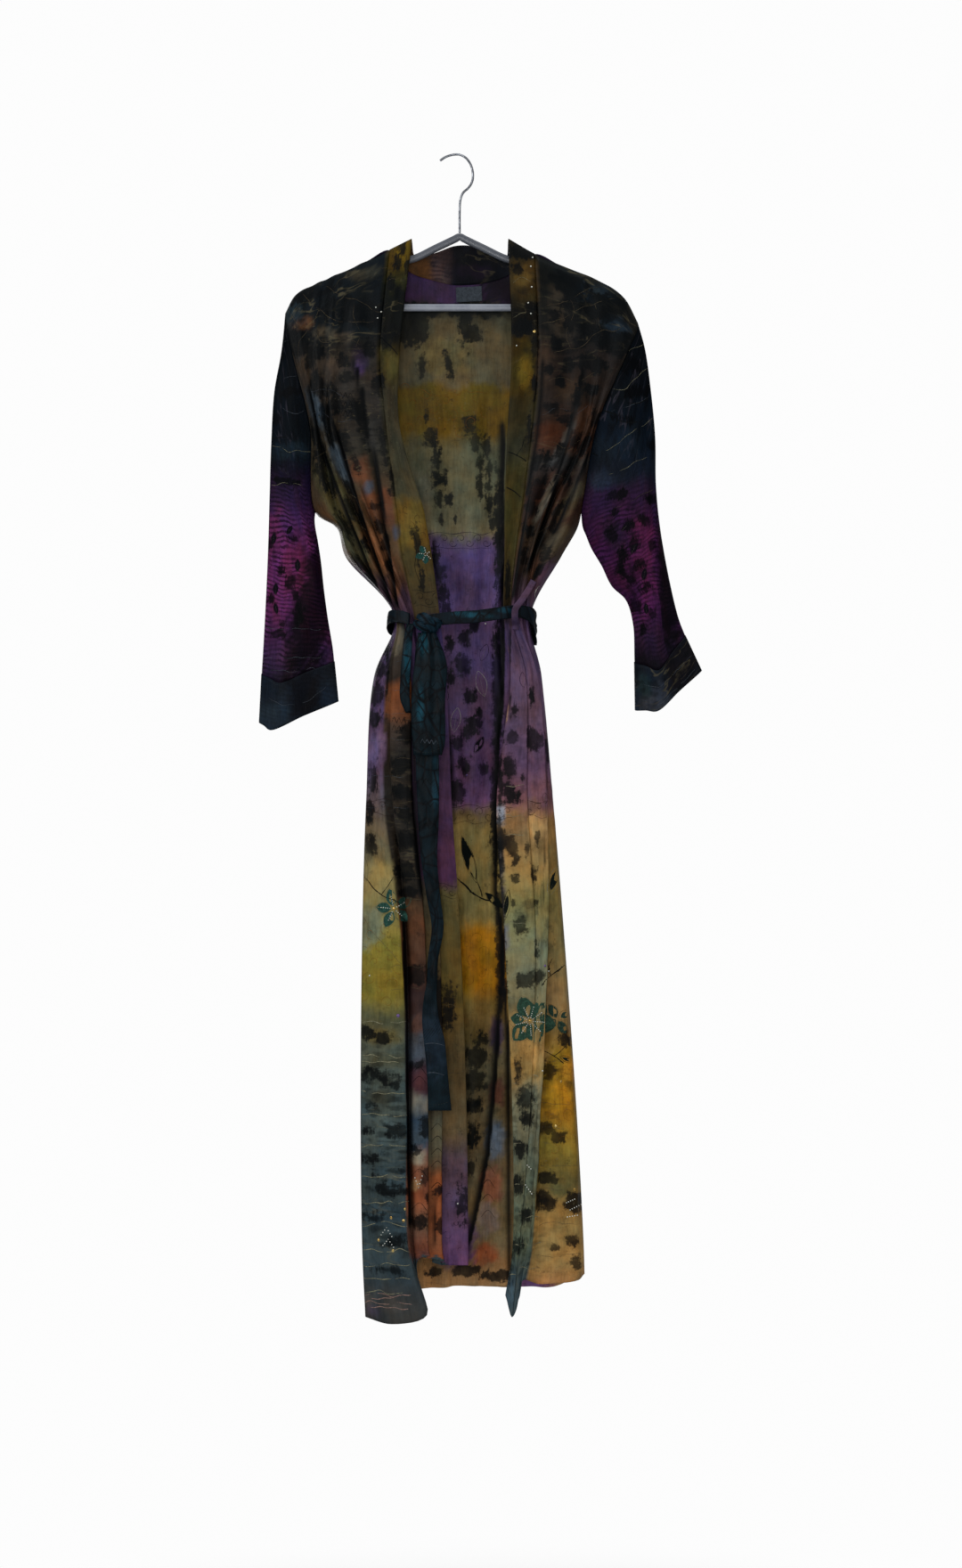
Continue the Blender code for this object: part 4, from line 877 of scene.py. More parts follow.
FRONT_RIGHT_BANDS = (
    (0, 12, (
        (270, "0c1216"), (372, "0d1317"), (386, "191918"), (402, "2b2621"), (430, "302923"),
        (470, "292521"), (520, "363025"), (560, "453526"), (600, "523b27"), (640, "563f29"),
        (664, "4a3743"), (690, "46374e"), (800, "523f5e"), (860, "5e4864"), (890, "62545f"),
        (915, "5a5044"), (950, "6a5e44"), (990, "7e704a"), (1030, "7e7440"), (1060, "7c702c"),
        (1118, "746828"), (1142, "5c5a3e"), (1180, "50584e"), (1240, "485452"), (1330, "38464a"),
        (1430, "364246"), (1450, "3a3f41"), (1480, "3e3e3c"),
    )),
    (2.2, 6.2, (
        (700, "201d1a"), (722, "332e28"), (762, "302823"), (768, "7e4c2e"), (800, "704329"),
        (812, "42332a"), (850, "2a2622"), (1000, "2e2821"), (1012, "4c3a2a"), (1040, "5e3c28"),
        (1090, "4c3225"), (1110, "30201e"), (1140, "40302e"), (1162, "4e525a"), (1186, "52565c"),
        (1200, "402b31"), (1226, "442e35"), (1236, "6c6c64"), (1250, "303d4a"), (1286, "384652"),
        (1300, "7c513a"), (1330, "804831"), (1350, "90553a"), (1372, "5e4738"), (1400, "6c4030"),
        (1412, "5c3a34"),
    )),
    (6.2, 11, (
        (700, "3c2a44"), (840, "4e3654"), (985, "523556"), (1000, "5a4c36"), (1085, "5c4c2e"),
        (1110, "42321f"), (1210, "3c2b23"), (1240, "302821"), (1262, "5c5642"), (1300, "5e5642"),
        (1318, "8e5230"), (1415, "864c2f"),
    )),
    (11, 12, (
        (262, "35290b"), (300, "372c0c"), (316, "2a2a14"), (332, "0e100c"), (378, "0a0c0c"),
        (392, "302a12"), (426, "342d15"), (440, "312e22"), (500, "393526"), (556, "423d2a"),
        (570, "5c481c"), (606, "5e481a"), (622, "43391d"), (690, "3e3321"), (700, "51406a"),
        (840, "4c3858"), (985, "502f49"), (1000, "5e522f"), (1120, "5c4a20"), (1180, "5a4c30"),
        (1270, "5e5038"), (1300, "50404a"), (1385, "59405e"), (1420, "6a4468"),
    )),
)
FRONT_RIGHT_SPOTS = {
    (0, 11): (
        (340, 363, 12, 8, 0, "4c3422"), (364, 373, 14, 6, 0, "3e382d"), (388, 379, 10, 6, 0, "3e372e"),
        # the slate spots at (358, 318) and (330, 350) and the long slate streaks at (356, 460) and (382,
        # 520) are painted highlights of the satin on its folds
        (412, 307, 20, 6, -10, "2e2c24"), (358, 318, 22, 8, -24, "18242c"),
        (330, 350, 10, 16, -20, "1a2730"), (343, 412, 7, 10, 0, "33291f"), (376, 410, 10, 10, 0, "3e332a"),
        (404, 404, 9, 13, 0, "2c2434"), (403, 413, 4, 9, -10, "42304e"), (356, 460, 7, 24, -20, "3c4852"),
        (382, 520, 7, 30, -22, "4a545c"), (413, 480, 8, 26, -14, "38342f"),
        (404, 528, 12, 16, -20, "5e3a27"), (418, 566, 8, 22, -20, "663e28"),
        (434, 570, 8, 24, -8, "603a27"), (426, 622, 12, 26, -20, "7c5236"),
        (378, 560, 14, 40, -26, "484228"), (398, 612, 12, 28, -34, "464430"),
        (402, 655, 14, 26, -38, "50405f"), (445, 598, 4, 9, 0, "40424c"), (442, 650, 7, 24, -10, "684430"),
        (414, 548, 5, 8, 0, "3c4450"),
    ),
    (0, 2.2): (
        (424, 840, 16, 16, 0, "685474"), (414, 1040, 16, 26, 30, "78785c"), (428, 984, 16, 18, 0, "8a7a4a"),
        (436, 1190, 24, 8, 0, "4a4c3c"), (430, 1163, 20, 9, 0, "5c5432"),
        (424, 1459, 20, 2.6, -5, "4c4846"), (447, 1467, 14, 2.6, 5, "4e4a46"),
        (418, 1448, 14, 2.2, 4, "6c6456"), (420, 1470, 10, 4, 0, "4a4250"), (424, 1232, 20, 8, 0, "3c4038"),
    ),
    (2.2, 6.2): (
        (446, 716, 7, 16, 0, "645c4c"), (470, 1150, 8, 10, 0, "5a4038"), (474, 1215, 9, 12, 0, "4a2c30"),
        (466, 1330, 6, 6, 0, "b08c66"), (482, 1240, 8, 9, 0, "7a7468"), (470, 1300, 8, 8, 0, "9a8c74"),
    ),
    (11, 12): ((452, 284, 8, 18, 0, "54450e"), (462, 590, 12, 16, 0, "6a5624"),
     (440, 408, 9, 14, 0, "463d1c")),
}
FRONT_RIGHT_BLOTS = {
    (0, 11): (
        (356, 430, 8, 14, -10), (348, 404, 6, 10), (362, 534, 6, 22, -24), (354, 490, 5, 16, -20),
        (384, 404, 7, 8), (414, 390, 8, 9), (372, 490, 5, 12, -18), (400, 520, 4, 12, -18),
        (392, 548, 4, 12, -20), (386, 590, 5, 16, -28), (402, 630, 4, 12, -34), (426, 590, 4, 10, -14),
        (345, 325, 34, 12, -20), (400, 350, 40, 14, 8), (335, 385, 16, 16), (366, 438, 10, 9),
        (394, 458, 8, 13), (354, 396, 12, 8), (376, 452, 9, 11), (407, 470, 6, 28, -12),
        (361, 512, 7, 14, -16), (395, 571, 6, 13, -20), (423, 568, 7, 5), (432, 609, 5, 9),
        (404, 580, 4, 8, -20), (414, 646, 4, 14, -30), (372, 545, 6, 12, -24), (386, 492, 6, 12, -20),
        (430, 500, 5, 22, -8), (440, 540, 4, 18, -8), (366, 470, 5, 14, -20), (410, 610, 4, 10, -24),
        (437, 636, 4, 10, -10), (390, 424, 8, 7), (424, 430, 7, 14),
    ),
    (0, 2.2): (
        (429, 724, 9, 13), (426, 752, 9, 9), (422, 780, 9, 12), (419, 806, 10, 9),
        (419, 874, 6, 18, 0, 0.8), (415, 909, 4.5, 16), (416, 948, 6, 13), (440, 892, 5, 9, 20, 0.7),
        (430, 1165, 9, 8), (412, 1158, 8, 8), (415, 1206, 11, 9, 0, 0.8), (440, 1213, 12, 10, 0, 0.8),
        (416, 1242, 10, 6, 0, 0.6), (444, 1270, 14, 8, 0, 0.8), (414, 1300, 12, 8, 0, 0.7),
        (440, 1334, 18, 9, 0, 0.7), (418, 1364, 14, 7, 0, 0.7), (446, 1392, 18, 8, 0, 0.7),
        (430, 1426, 24, 6, 0, 0.7), (412, 1268, 8, 5, 0, 0.7), (424, 1320, 9, 5, 0, 0.6),
        (450, 1310, 7, 5, 0, 0.6),
    ),
    (2.2, 6.2): (
        (457, 821, 9, 13), (449, 859, 11, 10), (452, 889, 11, 9), (454, 914, 10, 9), (455, 943, 11, 11),
        (455, 978, 11, 10), (458, 1002, 11, 6), (466, 1095, 12, 12), (478, 1264, 6, 11), (478, 1320, 6, 11),
        (472, 1372, 10, 8), (467, 1293, 5, 6), (482, 1345, 5, 8), (468, 1196, 8, 5),
    ),
    (6.2, 11): ((486, 1130, 12, 40), (492, 1336, 6, 5), (496, 1376, 6, 9)),
    (11, 12): (
        (452, 276, 4, 10), (446, 294, 4, 9), (438, 318, 5, 11, 10), (448, 330, 5, 9), (434, 384, 7, 8),
        (428, 430, 3.5, 18), (469, 612, 3, 20, -6), (474, 652, 2.5, 14), (464, 600, 2.5, 9, -20),
        (503, 1130, 9, 26, 0, 0.8), (519, 1352, 7, 22, 0, 0.8), (457, 300, 3, 8),
    ),
}
FRONT_RIGHT_MARKS = {
    1: {(0, 2.2): ((426, 780, 30, 60, 0, 0.5),), (2.2, 6.2): ((455, 930, 16, 80, 0, 0.7),)},
    2: {
        (0, 12): ((375, 350, 90, 50, 0, 1.0), (385, 470, 50, 60, 0, 0.4)),
        (0, 2.2): ((430, 1300, 44, 130, 0, 0.9), (426, 780, 24, 60, 0, 0.4)),
        (2.2, 6.2): ((455, 930, 20, 90, 0, 0.7),),
    },
    3: {(0, 12): ((400, 500, 60, 100, 0, 0.4),), (0, 2.2): ((425, 1060, 30, 60, 0, 0.6),)},
}
# the shade column is painted shade in each furrow; the pleat from (461, 820) down to (470, 1010) paints the
# shadow beside the belt's tail
FRONT_RIGHT_PLEATS = (
    (0.5, 12, 1, 3.4, 2.2, 0.95, ((346, 430), (362, 500), (388, 570), (432, 678))),
    (0.5, 12, 1, 4.0, 2.6, 0.95, ((366, 450), (384, 500), (404, 570), (442, 682))),
    (0.5, 12, 1, 3.6, 2.6, 1.0, ((398, 400), (412, 460), (424, 530), (448, 686))),
    (0.5, 12, -1, 2.2, 1.2, 0.6, ((392, 500), (412, 570), (440, 660))),
    (0, 2.3, -1, 2.4, 0.8, 0.9, ((434, 700), (434, 780), (440, 880), (444, 960))),
    (2.2, 12, -1, 4.2, 1.2, 1.0, ((461, 820), (463, 900), (467, 960), (470, 1010))),
    (2.2, 12, -1, 4.2, 0.8, 1.0, ((452, 1020), (453, 1120), (456, 1250), (459, 1380))),
    (2.2, 12, 1, 2.2, 0.8, 0.7, ((484, 1120), (486, 1250), (489, 1400))),
)
FRONT_LEFT_BANDS = (
    (0, 9, (
        (270, "0e1315"), (330, "131514"), (380, "151515"), (400, "1f1a18"), (450, "261e1a"),
        (470, "35241b"), (500, "3c2419"), (516, "2c2a28"), (545, "36251e"), (580, "3c281e"),
        (600, "382c21"), (640, "3a2b23"), (662, "48343c"), (690, "4e3d5a"), (800, "5c465a"),
        (860, "60435a"), (900, "72505c"), (918, "8c6c48"), (960, "967646"), (1010, "867846"),
        (1040, "7c7a54"), (1090, "74745a"), (1120, "787050"), (1160, "8e764a"), (1200, "a08048"),
        (1228, "74725a"), (1280, "606250"), (1340, "626650"), (1400, "4e5848"), (1440, "3c4a50"),
    )),
    (0, 4.6, (
        (700, "523f5e"), (800, "5e475c"), (880, "6e4c5e"), (905, "86605c"), (925, "8c6c40"),
        (1000, "7a6838"), (1080, "7e6a40"), (1110, "86704a"), (1150, "8a6c40"), (1180, "90701f"),
        (1250, "986e1d"), (1290, "84702c"), (1330, "6c5e34"), (1370, "a07c44"), (1420, "a4804a"),
        (1460, "b0744a"),
    )),
    (8, 9, (
        (262, "16160f"), (288, "1e1a0f"), (300, "3a2d14"), (330, "382c14"), (345, "100e0a"),
        (372, "0f0d09"), (384, "382c0d"), (440, "362b0c"), (456, "312c18"), (508, "302d1e"),
        (530, "3a3418"), (600, "3e3618"), (640, "3c3219"), (690, "302418"), (700, "4a3a4c"),
    )),
)
FRONT_LEFT_SPOTS = {
    (0, 8): (
        (625, 345, 9, 26, 0, "2e2a24"), (606, 405, 14, 30, 0, "30261f"), (640, 440, 16, 12, 0, "33281f"),
        (616, 484, 14, 10, 0, "48291b"), (655, 470, 12, 16, 20, "3e281b"), (601, 552, 10, 12, 0, "48281c"),
        # the slate spots at (668, 330) and (690, 366) and the long pale streaks from (633, 496) to (622,
        # 610) are painted highlights of the satin on its folds
        (668, 330, 22, 12, 20, "1a252e"), (690, 366, 16, 12, 30, "1c2832"), (634, 366, 12, 18, 0, "2c2721"),
        (623, 536, 9, 10, 20, "4e3429"), (633, 496, 4, 26, 28, "54524f"), (612, 562, 4, 34, 26, "58554c"),
        (642, 560, 8, 28, 34, "4c4230"), (622, 610, 8, 26, 36, "524634"), (616, 648, 12, 20, 34, "543b4c"),
        (600, 640, 5, 20, 20, "543c30"), (596, 928, 14, 14, 0, "bc925a"), (590, 1060, 20, 16, 0, "6a6e58"),
        (600, 1186, 16, 12, 0, "b48e54"), (588, 1204, 8, 8, 0, "8a7a58"),
    ),
    (0, 4.6): ((628, 1232, 14, 16, 0, "bc8620"), (640, 1200, 10, 14, 0, "b88428"),
     (630, 1336, 14, 7, 0, "56502e")),
    (8, 9): (
        (567, 750, 4, 26, 0, "8a5230"), (567, 794, 3, 16, 0, "9a7a5a"), (562, 914, 5, 12, 0, "8a94a4"),
        (561, 960, 5, 30, 0, "44464c"), (562, 1014, 5, 26, 0, "4c4450"), (590, 418, 8, 18, 0, "5a4712"),
        (586, 312, 9, 10, 0, "54421e"), (566, 1052, 5, 14, 0, "6e6a70"), (578, 1452, 8, 8, 0, "46565c"),
    ),
}
FRONT_LEFT_BLOTS_AND_SHADOW = {
    (0, 8): (
        (672, 345, 26, 14, 20), (640, 320, 24, 12, 20), (622, 356, 6, 9), (664, 372, 16, 10, 20),
        (690, 340, 14, 9, 30), (626, 386, 7, 7), (652, 386, 8, 7), (628, 428, 6, 8), (620, 458, 6, 7),
        (634, 470, 6, 8), (628, 506, 5, 9, 10), (612, 540, 4, 8, 20), (620, 590, 4, 10, 30),
        (604, 640, 3, 12, 24), (670, 410, 10, 10), (668, 470, 6, 10, 20), (639, 340, 8, 8),
        (642, 362, 9, 8), (692, 385, 20, 14, 20), (617, 414, 6, 7), (638, 408, 8, 8), (664, 438, 7, 7),
        (648, 446, 6, 13, 10), (660, 405, 10, 9), (603, 518, 4, 12, 6), (614, 515, 3.5, 11, 6),
        (602, 549, 10, 10), (597, 570, 7, 8), (594, 597, 6, 9), (589, 624, 5, 9), (647, 493, 7, 9),
        (636, 537, 6, 8), (608, 606, 4, 10, 20), (614, 622, 6, 8, 20), (656, 500, 5, 16, 30),
        (626, 572, 4, 12, 30), (643, 520, 4, 14, 34), (598, 829, 11, 13), (597, 781, 3, 9),
        (590, 1068, 14, 11), (597, 981, 6, 9), (603, 940, 2.5, 9), (600, 1013, 4, 3), (604, 1096, 8, 7),
    ),
    (4.6, 9): (
        (575, 827, 6, 9), (572, 863, 7, 12), (570, 884, 8, 8), (577, 895, 10, 7), (587, 874, 2.5, 6),
        (578, 796, 3, 7), (572, 949, 9, 12), (592, 952, 3, 8), (579, 966, 4, 5), (579, 986, 5, 5),
        (584, 1040, 8, 9), (576, 1015, 3, 5), (590, 1100, 12, 9), (582, 1202, 4, 11), (590, 1232, 9, 13),
        (592, 1256, 8, 9), (584, 1290, 8, 10), (582, 1330, 6, 10), (590, 1364, 6, 9), (580, 1398, 7, 9),
    ),
    (0, 4.6): (
        (617, 1202, 8, 9), (611, 1267, 10, 7), (627, 1277, 10, 6, -10), (611, 1349, 13, 12),
        (645, 1349, 11, 11), (642, 1394, 7, 7), (646, 1417, 7, 7), (614, 1322, 12, 7), (620, 1400, 8, 4),
        (614, 840, 6, 12), (634, 1166, 7, 8),
    ),
    (8, 9): (
        (586, 282, 16, 9), (580, 303, 7, 6), (596, 345, 9, 7), (588, 368, 12, 10), (600, 388, 4, 14),
        # the long narrow blots from (561, 860) down to (572, 1400) are painted shadow along the band's free
        # edge
        (600, 430, 3, 20), (594, 480, 3, 16), (570, 655, 3, 26), (561, 860, 3, 60), (561, 960, 4, 60),
        (563, 1040, 4, 60), (565, 1120, 4, 50), (567, 1200, 4, 50), (569, 1300, 3, 60), (572, 1400, 3, 40),
    ),
}
FRONT_LEFT_MARKS = {
    1: {(0, 9): ((595, 1040, 30, 40, 0, 0.5),), (0, 4.6): ((634, 1236, 26, 50, 0, 0.5),)},
    2: {(0, 9): (
        (660, 355, 80, 60, 0, 1.0), (620, 530, 40, 60, 0, 0.4), (590, 1250, 24, 50, 0, 0.7),
        (580, 1380, 30, 80, 0, 0.7), (590, 845, 30, 40, 0, 0.3),
    )},
    3: {(0, 9): ((610, 1000, 50, 60, 0, 0.4),), (0, 4.6): ((634, 1300, 30, 80, 0, 0.5),)},
}
# the shade column is painted shade in each furrow
FRONT_LEFT_PLEATS = (
    (0.5, 8, -1, 3.0, 1.6, 1.0, ((608, 400), (603, 470), (590, 570), (574, 676))),
    (0.5, 8, -1, 4.0, 2.6, 1.0, ((654, 410), (646, 450), (618, 560), (589, 646))),
    (0.5, 8, -1, 3.4, 2.4, 0.95, ((686, 450), (664, 500), (630, 580), (598, 650))),
    (0.5, 8, 1, 2.2, 1.2, 0.6, ((640, 480), (612, 570), (586, 650))),
    (8, 9, 1, 2.0, 0.5, 0.8, ((574, 700), (573, 760), (574, 812))),
    (0, 6, 1, 1.8, 1.0, 0.6, ((612, 720), (616, 820), (611, 1000), (606, 1100), (603, 1250), (596, 1400))),
)
BAND_PROUD = 0.75
BAND_THICK = 0.9


def front_parts(side_name, points, fold_number, seam, seed, bands, spots, blots_and_shadow, marks, pleats):
    """The front up to its seam line, and the neckband beyond it, from one surface."""
    points = seamed(pleated(wrinkled(points, seed, 0.9), fold_number, pleats), (0,), -1)
    last = int(np.argmin(np.abs(fold_number - seam)))
    paint = painted(points, fold_number, bands, spots, blots_and_shadow, marks, pleats, seed=seed + 20)
    band_points = points[last:].copy()
    band_points[..., 1] -= BAND_PROUD
    front = shell(
        "robe_front_" + side_name, points[: last + 1], silk("front_silk_" + side_name),
        {key: value[: last + 1] for key, value in paint.items()},
    )
    band = shell(
        "robe_neckband_" + side_name, band_points, silk("band_silk_" + side_name, roughness=0.5),
        {key: value[last:] for key, value in paint.items()}, thickness=BAND_THICK,
    )
    for piece, node in ((front, "front_" + side_name), (band, "neckband_" + side_name)):
        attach(piece, "root")
        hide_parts(node)
    return front, band


front_right, band_right = front_parts(
    "right", front_right_points, front_right_folds, 11, 31,
    FRONT_RIGHT_BANDS, FRONT_RIGHT_SPOTS, FRONT_RIGHT_BLOTS, FRONT_RIGHT_MARKS, FRONT_RIGHT_PLEATS,
)
front_left, band_left = front_parts(
    "left", front_left_points, front_left_folds, 8, 51,
    FRONT_LEFT_BANDS, FRONT_LEFT_SPOTS, FRONT_LEFT_BLOTS_AND_SHADOW, FRONT_LEFT_MARKS, FRONT_LEFT_PLEATS,
)

# Neckband behind the neck
# The same doubled strip goes on round the back of the neck and rises from the back's top edge.
NECKBAND_COLUMNS = ("fold", "free_x", "free_z", "free_y")
NECKBAND_STATIONS = (
    ("furrow_2", -61, -106, 0.75),
    ("ridge_3", -56, -128, 9.5),
    ("furrow_3", -31, -122, 8.5),
    ("ridge_4", -7, -113, 10.5),
    ("furrow_4", 14, -113, 8.5),
    ("ridge_5", 31, -118, 11.0),
    ("furrow_5", 58, -131, 9.5),
    ("ridge_6", 62, -106, 0.75),
)
NECKBAND_BOW = 1.0
fold_names = [row[0] for row in BACK_FOLDS]
station = dict(zip(NECKBAND_COLUMNS, zip(*NECKBAND_STATIONS)))
numbers = [fold_names.index(name) for name in station["fold"]]
whole_back, whole_folds = panel_surface(BACK_FOLDS, 1)
seam_rows = (whole_folds >= numbers[0] - 1e-6) & (whole_folds <= numbers[-1] + 1e-6)
neck_seam = whole_back[seam_rows, 0]
free_knots = np.stack([station["free_x"], station["free_y"], station["free_z"]], axis=1).astype(float)
fine_free = through(free_knots, [20] * (len(free_knots) - 1))
fine_numbers = np.linspace(numbers[0], numbers[-1], len(fine_free))
neck_free = [np.interp(whole_folds[seam_rows], fine_numbers, fine_free[:, k]) for k in range(3)]
share = np.linspace(0, 1, 12)[None, :, None]
bow = np.array([0, NECKBAND_BOW, 0]) * 4 * share * (1 - share)
neckband_points = neck_seam[:, None] * (1 - share) + np.stack(neck_free, axis=1)[:, None] * share + bow
neckband_number = np.arange(len(neckband_points), dtype=float)
NECKBAND_SPOTS = {(0, 999): (
    (470, 305, 16, 30, 0, "50371f"), (496, 300, 12, 30, 0, "40302e"), (540, 300, 34, 30, 0, "08090e"),
    (530, 305, 20, 8, 0, "140f1c"),
)}
NECKBAND_MARKS = {
    0: {(0, 999): ((497, 300, 16, 20, 0, 0.5),)},
    2: {(0, 999): ((540, 300, 40, 30, 0, 0.5),)},
}
band_back = shell(
    "robe_neckband_back", neckband_points, silk("band_silk_back", roughness=0.5),
    painted(
        neckband_points, neckband_number, ((0, 999, ((250, "10121a"), (400, "10121a"))),), NECKBAND_SPOTS,
        marks=NECKBAND_MARKS, seed=71,
    ),
    thickness=BAND_THICK,
)
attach(band_back, "root")
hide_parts("neckband_back")

# Sleeves and cuffs
# Three-quarter sleeves sewn into the low armholes, each pressed along one crease in front, and a
# separate cuff sewn to each. The first section of a sleeve is the armhole's own edge.
SLEEVE_COLUMNS = ("outer_x", "outer_z", "crease_x", "crease_z", "crease_y", "inner_x", "inner_z", "depth")
SLEEVE_RIGHT = (
    (-227, -250, -205, -356, 12, -185, -463, 11),
    (-236, -301, -208, -398, 13, -184, -474, 12),
    (-240, -369, -205, -440, 14, -181, -490, 13),
    (-242, -437, -198, -478, 15, -177, -516, 14),
    (-244, -505, -185, -540, 15, -173, -553, 14),
    (-247, -573, -198, -586, 16, -168, -590, 13),
    (-250, -628, -214, -634, 16, -162, -626, 13),
    (-252, -660, -229, -672, 16, -160, -644, 13),
)
CUFF_HEM_RIGHT = (-255, -721, -240, -732, 15, -155, -695, 14)
SLEEVE_LEFT = (
    (236, -246, 202, -350, 12, 157, -473, 11),
    (243, -295, 213, -390, 13, 161, -483, 12),
    (249, -358, 225, -430, 14, 168, -500, 13),
    (250, -420, 238, -462, 15, 181, -522, 14),
    (255, -473, 247, -500, 15, 194, -548, 14),
    (268, -545, 252, -566, 16, 212, -566, 13),
    (279, -590, 252, -622, 16, 221, -596, 13),
    (287, -611, 252, -656, 16, 223, -645, 13),
)
CUFF_HEM_LEFT = (308, -656, 251, -708, 15, 224, -706, 14)
SLEEVE_SWELL = 0.25
SLEEVE_BACK = ((0.72, 0.75), (0.45, 1.0), (0.2, 0.75))
AROUND = 88
KNOT_STEPS = 16
ARMHOLE_TUCK = 0.93
CUFF_PROUD = 0.55
CUFF_THICK = 0.7


def run_along(line):
    """The length along a line up to each of its points."""
    return np.concatenate([[0], np.cumsum(np.linalg.norm(np.diff(line, axis=0), axis=1))])


def evenly(line, count):
    """A line's points spread evenly along its length."""
    run = run_along(line)
    wanted = np.linspace(0, run[-1], count)
    return np.stack([np.interp(wanted, run, line[:, k]) for k in range(3)], axis=1)


def sleeve_section(row):
    """A closed section through the outer edge, the front crease, the inner edge and a rounded back."""
    at = dict(zip(SLEEVE_COLUMNS, row))
    outer = np.array([at["outer_x"], 0.0, at["outer_z"]])
    inner = np.array([at["inner_x"], 0.0, at["inner_z"]])
    crease = np.array([at["crease_x"], -at["crease_y"], at["crease_z"]])
    depth = np.array([0.0, at["depth"], 0.0])
    knots = [
        outer, (outer + crease) / 2 - depth * SLEEVE_SWELL,
        crease, (crease + inner) / 2 - depth * SLEEVE_SWELL,
        inner, *(outer + (inner - outer) * share + depth * rise for share, rise in SLEEVE_BACK),
    ]
    ring = through(np.array(knots), [KNOT_STEPS] * len(knots), closed=True)
    front = evenly(ring[: KNOT_STEPS * 4 + 1], AROUND // 2 + 1)
    back = evenly(np.concatenate([ring[KNOT_STEPS * 4 :], ring[:1]]), AROUND // 2 + 1)
    return np.concatenate([front, back[1:-1]])


def armhole_section(front_edge, back_edge):
    """The ring of the two panels' edges from shoulder to underarm, tucked just inside them."""
    front = evenly(front_edge[front_edge[:, 2] >= UNDERARM - 0.01], AROUND // 2 + 1)
    back = evenly(back_edge[back_edge[:, 2] >= UNDERARM - 0.01], AROUND // 2 + 1)
    ring = np.concatenate([front, back[-2:0:-1]])
    ring[:, 1] *= ARMHOLE_TUCK
    ring[[0, AROUND // 2], 1] = 0
    return ring


SLEEVE_RIGHT_BANDS = ((0, 99, (
    (230, "05090d"), (380, "05080c"), (440, "070c11"), (490, "070d13"), (512, "0c141b"), (528, "120f1e"),
    (560, "2a1a38"), (590, "4a2552"), (620, "62285a"), (680, "602858"), (705, "54264e"), (730, "402648"),
    (762, "201826"),
)),)
SLEEVE_RIGHT_SPOTS = {
    (0, 99): ((306, 600, 12, 26, 0, "5c2650"), (330, 640, 12, 30, 0, "64264e"),
     (322, 506, 20, 9, -6, "142029")),
    # past the front crease the sleeve turns away from the light: this dark stretch is darker dye and
    # painted shade together
    (16, 56): ((354, 680, 26, 100, 14, "0d090d"),),
}
SLEEVE_LEFT_BANDS = ((0, 99, (
    (230, "06090e"), (400, "070b10"), (450, "090f16"), (500, "0d151e"), (535, "131925"), (550, "27182f"),
    (580, "33183a"), (620, "3a1638"), (690, "3e1a3c"), (715, "2c1a33"), (742, "141018"),
)),)
SLEEVE_LEFT_SPOTS = {
    (0, 99): (
        (690, 500, 26, 16, -14, "121c27"), (676, 540, 14, 10, -14, "1e2736"),
        (722, 612, 14, 30, 0, "561f46"), (728, 668, 10, 26, 0, "521e48"), (690, 600, 12, 20, -30, "2e1a34"),
    ),
    # past the front crease the sleeve turns away from the light: this dark stretch is darker dye and
    # painted shade together
    (0, 20): ((752, 640, 14, 110, 0, "0c0b0f"),),
}
SLEEVE_BLOTS = {(0, 99): (
    (706, 590, 6, 7, 20), (724, 584, 6, 5), (713, 610, 7, 6, -20), (700, 622, 6, 8, -30), (718, 634, 7, 6),
    (733, 612, 5, 7), (708, 650, 5, 7, -20), (724, 660, 6, 6), (732, 690, 4, 7), (690, 574, 5, 4),
    (722, 706, 4, 6), (686, 600, 7, 10, -20), (698, 640, 5, 10, -20), (714, 680, 6, 9, -10),
    (692, 556, 12, 5, -14), (730, 560, 9, 5), (326, 654, 6, 8), (336, 690, 6, 12), (312, 712, 9, 5),
    (296, 588, 5, 8), (690, 400, 18, 9, 20), (676, 440, 10, 12, 10), (708, 410, 12, 8), (302, 612, 5, 5),
    (314, 640, 5, 6), (330, 604, 6, 4), (304, 672, 4, 5), (318, 700, 5, 5), (332, 668, 4, 6),
    (716, 440, 16, 6, -10), (700, 470, 14, 4, 12), (734, 500, 8, 5, -10), (322, 540, 16, 4, 8),
    (306, 470, 10, 6, 10), (326, 440, 12, 5, -8), (310, 400, 10, 7), (296, 520, 8, 6),
)}
SLEEVE_MARKS = {
    0: {(0, 99): ((318, 655, 70, 130, 0, 0.85), (715, 652, 80, 104, 0, 0.75))},
    1: {(0, 99): ((316, 650, 40, 60, 0, 0.6), (712, 620, 40, 60, 0, 0.8))},
    2: {(0, 99): ((700, 430, 60, 90, 0, 0.8), (312, 430, 50, 100, 0, 0.7))},
}
CUFF_BANDS = ((0, 99, ((700, "12141a"), (760, "141a22"), (800, "1c2530"))),)
CUFF_SPOTS = {(0, 99): (
    (306, 800, 26, 10, 0, "1e2a36"), (342, 780, 18, 34, 0, "0e0e12"), (735, 785, 16, 18, 0, "30343d"),
    (765, 750, 20, 34, 0, "100f14"), (724, 770, 8, 14, 0, "1a2a30"),
)}
CUFF_MARKS = {0: {(0, 99): ((300, 760, 400, 60, 0, 0.3),)}, 2: {(0, 99): ((750, 750, 60, 60, 0, 0.8),)}}
edges = {
    "right": (front_right_points[0], whole_back[0]),
    "left": (front_left_points[0], whole_back[-1]),
}
SLEEVES = (
    ("right", SLEEVE_RIGHT, CUFF_HEM_RIGHT, SLEEVE_RIGHT_BANDS, SLEEVE_RIGHT_SPOTS, 0.1, 81),
    ("left", SLEEVE_LEFT, CUFF_HEM_LEFT, SLEEVE_LEFT_BANDS, SLEEVE_LEFT_SPOTS, -0.35, 91),
)
